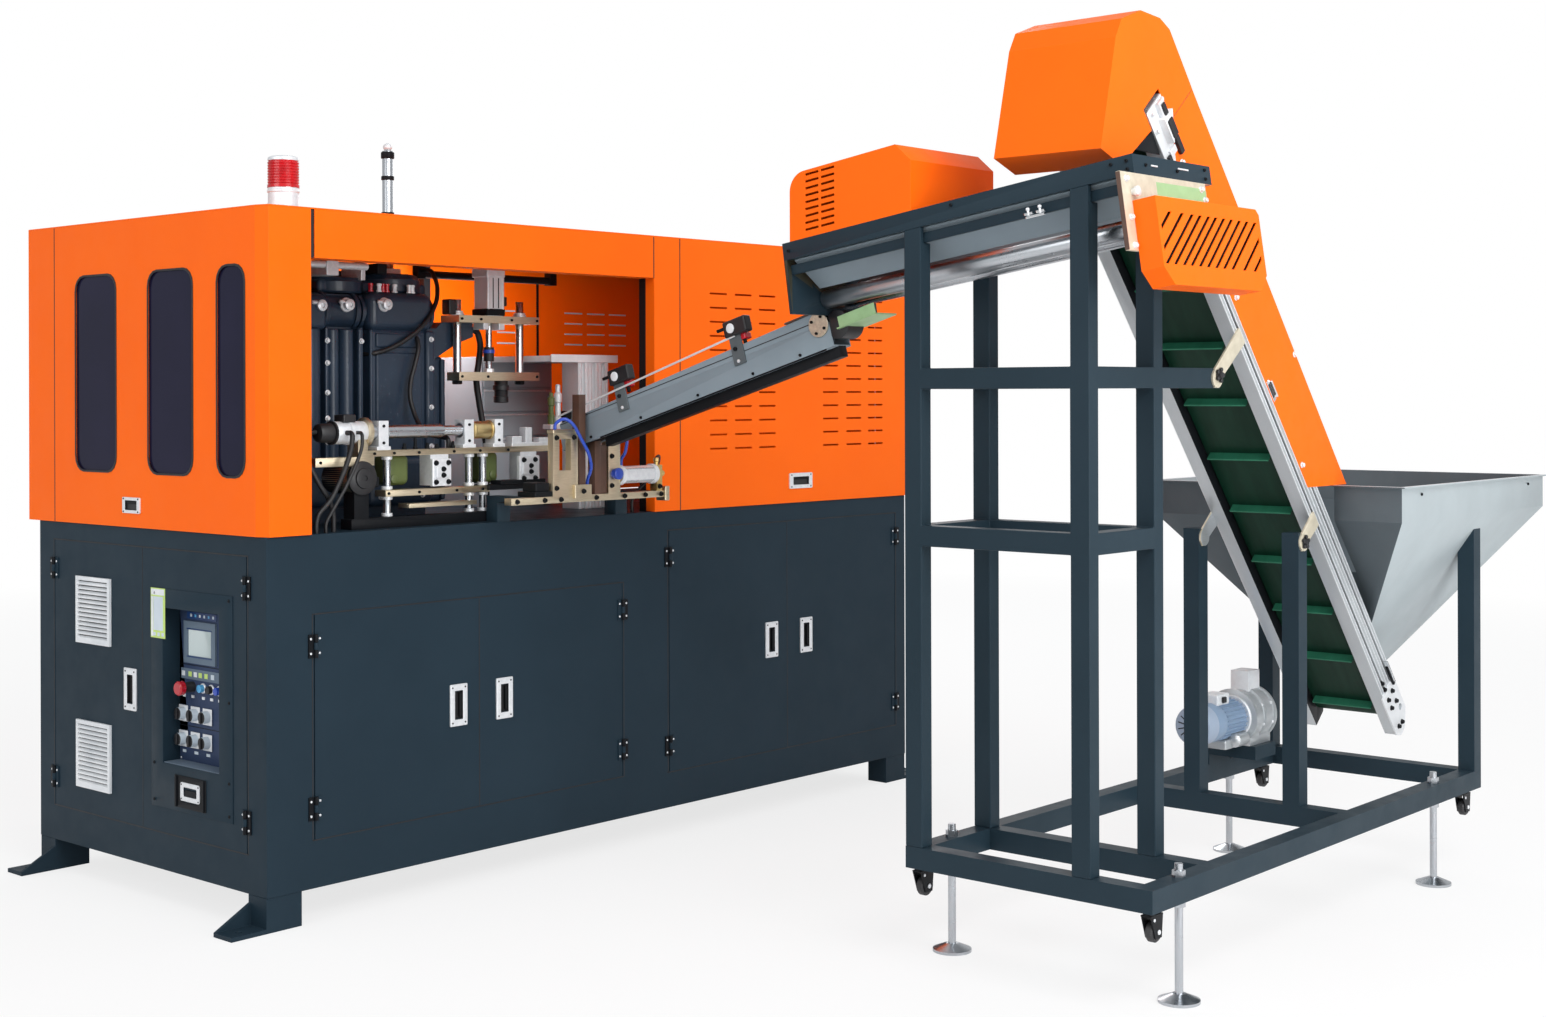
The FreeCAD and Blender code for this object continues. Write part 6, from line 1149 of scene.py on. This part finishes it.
# ---------------------------------------------------------------- conveyor
dressed("conveyor_rails", ALUMINIUM,
        ((BLACK_STEEL, lambda x, y, z, n: abs(y + 1840) < 111),
         (CREAM, lambda x, y, z, n: outside(y)),
         (PROFILE, lambda x, y, z, n: outside(y) and not 190 < u_of(x, z) < 1990),
         (WHITE, lambda x, y, z, n: (y < -1995.3 or y > -1684.7) and u_of(x, z) > 2100)), soft=0.8)
dressed("conveyor_belt", BELT,
        ((CLEAT, lambda x, y, z, n: abs(n_of(x, z) - 60) > 30 and 60 < u_of(x, z) < 2172),), soft=0.5)
lips = []
for face_y, out in ((-1990, -1.6), (-1690, 1.6)):
    ys = sorted((face_y - out * 0.2, face_y + out))
    for n in (1.8, 15, 30, 45, 60, 75, 88):
        lips.append(lean(SLOPE, slab("lip", SATIN, (-1998, -166), ys, (n - 1.6, n + 1.6), 0.5, 1)))
    # dark strips in the profile grooves: painted shade
    for n in (22.5, 67.5):
        inner = sorted((face_y - out * 3.4, face_y - out * 2.6))
        lips.append(lean(SLOPE, slab("groove_shade", RUBBER_AND_SHADE_BLACK, (-1998, -166), inner, (n - 4.4, n + 4.4), 0.2, 1)))
assembled("profile_lips", lips)
ends = []
for face_y, out in ((NEAR_SIDE, -1), (FAR_SIDE, 1)):
    def block(name, tone, us, ns, depth, soft=2.0):
        ys = sorted((face_y - out, face_y + out * depth))
        ends.append(lean(SLOPE, slab(name, tone, (-us[1], -us[0]), ys, ns, soft, 2)))
    block("slide", BLACK_STEEL, (150, 226), (64, 74), 7)
    block("take_up_screw", CHROME, (160, 248), (67, 71), 12, 1)
    block("bearing", BLACK, (2146, 2196), (40, 66), 24, 3)
    block("bearing_lip", SATIN, (2198, 2246), (46, 74), 12, 3)
    block("bearing_lip", BLACK, (2206, 2238), (52, 68), 17, 2)
    block("clamp", BLACK, (2080, 2132), (66, 84), 9)
    block("clamp", SATIN, (2100, 2120), (24, 58), 6)
    block("clamp", BLACK, (2092, 2112), (8, 22), 8)
assembled("take_up_blocks", ends)
sides = ((NEAR_SIDE, -Y), (FAR_SIDE, Y))
stamp("slope_dark_bolts", dark_bolt,
      leaned(SLOPE, [(-u, y, n, axis) for y, axis in sides
                     for u, n in ((138, 14), (104, 14), (140, 50), (97, 50), (18, 38), (24, 14),
                                  (2070, 14), (2030, 14))]))
stamp("slope_groove_bolts", dark_bolt,
      leaned(SLOPE, [(-u, y, n, axis) for y, axis in ((-1990, -Y), (-1690, Y)) for u, n in ((200, 22), (174, 22))]))
stamp("slope_pale_bolts", pale_bolt,
      leaned(SLOPE, [(-u, y, n, axis) for y, axis in sides
                     for u, n in ((2240, 78), (2190, 12), (2236, 20), (2060, 62), (2012, 20))]))
stamp("guard_bolts", pale_bolt,
      leaned(SLOPE, [(-u, y, n, axis) for y, axis in ((-1993, -Y), (-1687, Y))
                     for u, n in ((1626, 64), (1040, 58), (1300, 222))]))

star = [lathe("boss", BLACK, (0, 0, 0), Z, [(-0.6, 14), (1, 15), (3, 15), (4, 11), (10, 9), (11, 6)], 20)]
for turn in range(5):
    arm = lathe("arm", BLACK, (0, 0, 0), Z, [(2, 6), (7, 6), (8.4, 4)], 10)
    arm.matrix_world = Matrix.Rotation(turn * math.tau / 5, 4,
                                       "Z") @ Matrix.Translation((0.0145, 0, 0)) @ Matrix.Translation(-CORNER)
    settle(arm)
    star.append(arm)
star[0].data.transform(Matrix.Translation(-CORNER))
star = join("star", star)
stamp("lug_knobs", star, [(1520, -1996, 1484, -Y), (2003, -1996, 1025, -Y), (2003, -1684, 1025, Y)])
catch = lean_all(SLOPE, [slab("plate", CHROME, (-1348, -1278), (-1994.4, -1992), (47, 62), 0.6),
                         slab("pocket", BLACK, (-1336, -1290), (-1995.2, -1994), (50, 59), 0.6),
                         slab("grip", CHROME, (-1342, -1284), (-2002, -1992), (60, 66), 2)])
assembled("guard_catch", catch)
# dark lines at the hood's seams: painted shade
seams = [lean(SLOPE, slab("seam", RUBBER_AND_SHADE_BLACK, (-2168.8, -2167.2), sorted((y, y + out)), (91, 229), 0.2, 1))
         for y, out in ((-1992.8, -0.5), (-1687.2, 0.5))]
assembled("hood_seam_shade", seams)
gussets = [plate("gusset", BLACK_STEEL, ((1200, 2082), (1114, 2030), (1236, 2028)), y, 6, "y", 0.8)
           for y in (-1990, -1696)]
assembled("head_gussets", gussets)

# ---------------------------------------------------------------- tray, its rollers and the drive cover
dressed("tray_frame", FRAME,
        ((CREAM, lambda x, y, z, n: y < -2080 and tray_up(y, z) < -46),
         (GREEN_ZINC, lambda x, y, z, n: x > 1000 and y < -2080 and tray_up(y, z) < -60),
         # the far end plate below the band: zinc drawn dark as painted shade
         (ZINC_PAINTED_SHADE, lambda x, y, z, n: y > -1065 and tray_up(y, z) < -46)),
        cuts=(((1000, 0, 0), X), (BAND_FOOT, TRAY_UP), (GREEN_TOP, TRAY_UP)), soft=1.2)
stamp("near_plate_bolts", pale_bolt,
      leaned(TRAY, [(x, 0, up, -Y) for x, up in ((864, -62), (866, -152), (866, -218), (1212, -62), (1224, -88))]))
stamp("band_bolts", small_bolt,
      leaned(TRAY, [(x, 0, up, -Y) for x, up in ((960, -23), (1105, -26), (1240, -12), (1240, -34))] +
             [(905, y, up, -X) for y, up in ((16, -14), (58, -14), (16, -34), (1058, -23), (520, -12))] +
             [(1270, y, up, X) for y, up in ((16, -23), (520, -23), (1058, -23))]))
trims = [lathe("knob", SATIN, (889, 0, -92), -Y, [(-1, 9), (6, 9), (8, 12), (15, 12), (17, 8)], 20),
         slab("edge", BROWN, (838.4, 841), (-0.6, 10.6), (-229, -47), 0.6),
         slab("clip", PROFILE, (1110, 1160), (-2.2, 0.4), (-21, -17), 0.8),
         slab("clip", PROFILE, (985, 1015), (-2.2, 0.4), (-24, -20), 0.8)]
for y in (262, 296):
    trims.append(slab("toggle", CHROME, (899, 906), (y - 12, y + 12), (-84, -78), 1.2))
    trims.append(lathe("toggle_pin", SATIN, (900, y, -86), Z, [(0, 3), (12, 3), (14, 5), (18, 5), (20, 3)], 14))
trims.append(slab("toggle_bar", CHROME, (901, 905.4), (252, 306), (-92, -86), 1))
assembled("tray_trims", lean_all(TRAY, trims))
# dark plate behind the drive cover's slots: painted shade
back = lean(TRAY, plate("cover_slot_shade", RUBBER_AND_SHADE_BLACK,
                        ((886, -150), (923, -120), (1334, -120), (1369, -150), (1369, -280), (1334, -311),
                                                  (923, -311), (886, -280)), -50, 2, "y", 0))
fit(back)
drive = [lathe("drive_wheel", SATIN, (x, -8, -214), -Y,
               [(0, 40), (2, 46), (16, 46), (18, 40), (18, 16), (26, 15)], 28)
         for x in (970, 1090, 1210)]
drive.append(slab("drive_mount", ZINC, (900, 1260), (-14, 0.5), (-232, -150), 3))
assembled("roller_drive", lean_all(TRAY, drive))

# ---------------------------------------------------------------- chute
dressed("chute", CHUTE_GREY,
        ((BLACK_STEEL, lambda x, y, z, n: 1066 < x < 1109 and z < CHUTE_Z - (y - CHUTE_Y) * CHUTE_FALL - CHUTE_FLOOR),
         # the part at the tray's end plate: zinc drawn dark as painted shade
         (ZINC_PAINTED_SHADE, lambda x, y, z, n: y < -1036 and z > 1655)), soft=0.7)
for vertex in bpy.data.objects["chute_dressed"].data.vertices:
    x, y, z = (vertex.co - CORNER) / MM
    if abs((y - TRAY_Y) * TRAY_UP.z - (z - TRAY_Z) * TRAY_UP.y - TRAY_LENGTH) < 0.05:
        vertex.co += TRAY.to_3x3() @ Vector((0, HOOK_GAP * MM, 0))    # clear of the near roller at every turn
run = [plate("side", CHUTE_GREY, ((30, -3), (1105, -3), (1105, 17), (30, 39)), x, 4, "x", 0.8)
       for x in (1050, 1121)]
# dark strips in the chute's side grooves: painted shade
run += [slab("groove_shade", RUBBER_AND_SHADE_BLACK, (x, x + 1.4), (32, 1100), (11.4, 13.6), 0.2, 1) for x in (1049, 1124.6)]
run += [slab("foot", BLACK_STEEL, (x, x + 6), (30, 945), (-71, -66), 1.6) for x in (1050, 1119)]
run += [slab("strip", BROWN, (1046, 1129), (-20, 150), (38, 43), 1),
        lathe("end_plate", ZINC, (1050.5, 34, 2), -X, [(0, 33), (1, 34), (4, 34), (5, 33)], 32),
        lathe("drum", BLACK, (1052, -24, -14), X, [(0, 36), (2, 39.5), (69, 39.5), (71, 36)], 32),
        slab("drum_arm", BLACK_STEEL, (1054, 1120), (-30, 40), (-34, 6), 5, 3),
        slab("green_plate", GREEN_ZINC, (1040, 1132), (-168, -30), (-30, -26), 0.8),
        slab("green_lip", GREEN_ZINC, (1040, 1044), (-168, -40), (-28, 2), 0.8)]
assembled("chute_sides", lean_all(CHUTE, run))
stamp("chute_bolts", small_bolt, leaned(CHUTE,
                                        [(1045.5, 34 + 24 * math.cos(a), 2 + 24 * math.sin(a), -X)
                                         for a in (0.6, 2.2, 3.8, 5.2)] +
                                        [(1050, y, -58, -X) for y in (120, 300, 520, 760, 980)]))
guide = []
for along, reach in ((338, 78), (822, 74)):
    guide += [slab("bracket", BRACKET, (1045, 1050.4), (along - 24, along + 20), (-20, 68), 1.2),
              slab("box", BLACK, (1032, 1062), (along - 62, along + 24), (62, 108), 5, 3),
              slab("arm", BLACK_STEEL, (1038, 1046), (along + 14, along + 54), (88, 97), 2),
              lathe("dial", WHITE, (1032.5, along - 6, 84), -X, [(0, 12), (1, 14), (4, 14), (5, 12), (5, 5)], 20),
              slab("lens", RED, (1048, 1076), (along - 40, along - 12), (46, 65), 4, 3),
              slab("stem", BLACK_STEEL, (1052, 1060), (along - 34, along - 24), (30, 66), 1.5),
              lathe("screw", SATIN, (1045.4, along, -10), -X, [(0, 5), (3, 5), (4, 3.4)], 12),
              lathe("knob", BLACK_STEEL, (1045.4, along + 2, 26), -X, [(0, 6), (6, 6), (8, 4)], 12)]
assembled("chute_sensors", lean_all(CHUTE, guide))
low = (CHUTE @ (Vector((1041, 1096, 38)) * MM) - CORNER) / MM
high = (CHUTE @ (Vector((1041, 330, 62)) * MM) - CORNER) / MM
fit(bar("guide_rod", PROFILE, tuple(low), tuple(high), 3.2, 12))

# ---------------------------------------------------------------- hopper, blower and castors
dressed("hopper", HOPPER,
        # faces turned to -X take the darker copy of the same metal: painted shade
        ((HOPPER_PAINTED_SHADE, lambda x, y, z, n: n.x < -0.3 and abs(n.y) < 0.3),
         (PROFILE, lambda x, y, z, n: z > 1168 and n.z > 0.5)), soft=0.8)
stamp("hopper_bolts", small_bolt, [(x, -2190, 1150, -Y) for x in (2330, 3140)])

BY, BZ = -1574.0, 452.0                           # Y and Z of the blower's axis
dressed("blower", ALUMINIUM,
        ((MOTOR, lambda x, y, z, n: x < 2376.5 and z > 396 and math.hypot(y - BY, z - BZ) < 61),
         (WHITE, lambda x, y, z, n: z > 534),), soft=1.5)


def round_blower(count, name, tone, xs, half, low, high, soft):
    """Thin slabs set evenly round the blower's axis."""
    ring = []
    centre = spot(0, BY, BZ)
    for turn in range(count):
        piece = slab(name, tone, xs, (BY - half, BY + half), (BZ + low, BZ + high), soft, 1)
        spin = Matrix.Rotation(turn * math.tau / count, 4, "X")
        piece.matrix_world = Matrix.Translation(centre) @ spin @ Matrix.Translation(-centre)
        settle(piece)
        ring.append(piece)
    return ring


parts = round_blower(26, "fin", MOTOR, (2246, 2368), 1.3, 52, 59.5, 0.8)
# dark bars across the fan cowl's openings: painted shade
parts += round_blower(14, "slot_shade", RUBBER_AND_SHADE_BLACK, (2130.2, 2132), 1.8, 20, 46, 0.3)
parts += [lathe("cowl", COWL, (2188, BY, BZ), -X,
                [(0, 57), (0, 60), (44, 60), (52, 57), (56, 51), (57, 47), (57, 14), (58, 12)], 40),
          lathe("flange", SATIN, (2368, BY, BZ), X, [(0, 56), (0, 64), (2, 66), (9, 66)], 36),
          lathe("hub", SATIN, (2505, BY, BZ), X, [(0, 60), (1, 60), (1.2, 30)], 32),
          slab("terminal_lid", WHITE, (2232, 2306), (BY - 30, BY + 30), (BZ + 50, BZ + 84), 5, 3),
          slab("gland", BLACK, (2256, 2276), (BY - 38, BY - 29), (BZ + 58, BZ + 76), 3, 2),
          slab("motor_foot", ALUMINIUM, (2262, 2384), (BY - 40, BY + 40), (369, 398), 5, 3),
          slab("foot_arm", ALUMINIUM, (2280, 2350), (BY - 24, BY + 24), (392, 412), 5, 3)]
for y in (BY - 44, BY + 44):
    parts.append(lathe("silencer", ALUMINIUM, (2380, y, 394), -X,
                       [(0, 12), (12, 12), (14, 21), (16, 22), (74, 22), (80, 18), (86, 8)], 24))
for x in (2386, 2441, 2496):
    for turn in range(8):
        angle = turn * math.tau / 8 + 0.3
        dy, dz = 76 * math.cos(angle), 76 * math.sin(angle)
        parts.append(lathe("ear", SATIN, (x - 9, BY + dy, BZ + dz), X, [(0, 5), (1, 6), (17, 6), (18, 4)], 10))
assembled("blower_details", parts)
for number, (x, y) in enumerate(((932, -2131), (932, -1472), (2751, -2131), (2751, -1472)), 1):
    caps = []
    for side in (-1, 1):
        caps.append(lathe("axle_cap", SATIN, (x + 20, y + side * 14, 191), side * Y,
                          [(-0.6, 6), (2, 6), (3.4, 4)], 12))
        caps.append(lathe("fork_bolt", SATIN, (x, y + side * 14, 222), side * Y,
                          [(-0.6, 4), (1.6, 4), (2.4, 2.6)], 10))
    fit(join("castor_studs_" + str(number), caps), "castor_fork_" + str(number))

for template in (pale_bolt, dark_bolt, small_bolt, star):
    bpy.data.objects.remove(template)


# ---------------------------------------------------------------- floor, light and camera
def backdrop():
    deselect()
    bpy.ops.mesh.primitive_plane_add(size=60, location=(0, 0, -0.0005))
    floor = bpy.context.object
    floor.name = "floor"
    f = Finish("floor")
    f.set("Base Color", f.mix(f.noise(0.5), (0.86, 0.86, 0.87), (0.9, 0.9, 0.9)))
    f.shader.inputs["Roughness"].default_value = 0.9
    rays = f.tree.nodes.new("ShaderNodeLightPath")
    glow = f.tree.nodes.new("ShaderNodeEmission")
    blend = f.tree.nodes.new("ShaderNodeMixShader")
    far = (f.axis(0) * f.axis(0) + f.axis(1) * f.axis(1)).span(6.0, 90.0)
    seen = Flow(f, rays.outputs["Is Camera Ray"]) * (far * 0.24 + 0.76)
    seen = seen + Flow(f, rays.outputs["Is Glossy Ray"]) * 0.3
    f.feed(blend.inputs[0], seen)
    f.tree.links.new(f.shader.outputs[0], blend.inputs[1])
    f.tree.links.new(glow.outputs[0], blend.inputs[2])
    f.tree.links.new(blend.outputs[0], f.tree.nodes["Material Output"].inputs["Surface"])
    paint(floor, f.material)


def studio():
    world = bpy.data.worlds.new("studio")
    bpy.context.scene.world = world
    world.use_nodes = True
    tree = world.node_tree
    soft = tree.nodes["Background"]
    soft.inputs["Color"].default_value = (0.97, 0.985, 1.0, 1)
    soft.inputs["Strength"].default_value = 0.62
    white = tree.nodes.new("ShaderNodeBackground")
    white.inputs["Color"].default_value = (1, 1, 1, 1)
    white.inputs["Strength"].default_value = 1.0
    rays = tree.nodes.new("ShaderNodeLightPath")
    either = tree.nodes.new("ShaderNodeMath")
    either.operation = "MAXIMUM"
    tree.links.new(rays.outputs["Is Camera Ray"], either.inputs[0])
    tree.links.new(rays.outputs["Is Transmission Ray"], either.inputs[1])
    blend = tree.nodes.new("ShaderNodeMixShader")
    tree.links.new(either.outputs[0], blend.inputs[0])
    tree.links.new(soft.outputs[0], blend.inputs[1])
    tree.links.new(white.outputs[0], blend.inputs[2])
    tree.links.new(blend.outputs[0], tree.nodes["World Output"].inputs["Surface"])
    for name, where, aim, size, power in (
            ("key", (-2.0, -6.5, 5.2), (0.2, -0.6, 0.9), (4.5, 3.0), 270),
            ("front", (-0.8, -7.5, 1.5), (0.2, -0.6, 1.1), (4.0, 2.0), 130),
            ("fill", (-6.5, -1.0, 3.2), (-1.2, -0.3, 0.9), (3.5, 3.0), 80),
            ("rim", (5.0, 3.5, 4.5), (0.5, -0.4, 1.2), (3.0, 3.0), 110),
            ("bay", (-0.2, 0.12, 1.8), (-0.2, 0.62, 1.4), (1.0, 0.2), 10)):
        lamp = bpy.data.lights.new(name, "AREA")
        lamp.shape = "RECTANGLE"
        lamp.size, lamp.size_y = size
        lamp.energy = power
        obj = bpy.data.objects.new(name, lamp)
        bpy.context.scene.collection.objects.link(obj)
        obj.location = where
        obj.rotation_euler = (Vector(aim) - Vector(where)).to_track_quat("-Z", "Y").to_euler()


def camera():
    lens = bpy.data.cameras.new("camera")
    lens.lens = 46.02
    lens.sensor_width = 36.0
    lens.shift_x = 0.0051
    lens.shift_y = -0.0747
    obj = bpy.data.objects.new("camera", lens)
    bpy.context.scene.collection.objects.link(obj)
    obj.location = Vector((-3.0805, -4.4825, 1.4412)) + CORNER
    obj.rotation_euler = (math.pi / 2, 0.0029, 0.7212 - math.pi / 2)
    bpy.context.scene.camera = obj


backdrop()
studio()
camera()
bpy.context.scene.view_settings.view_transform = "Standard"
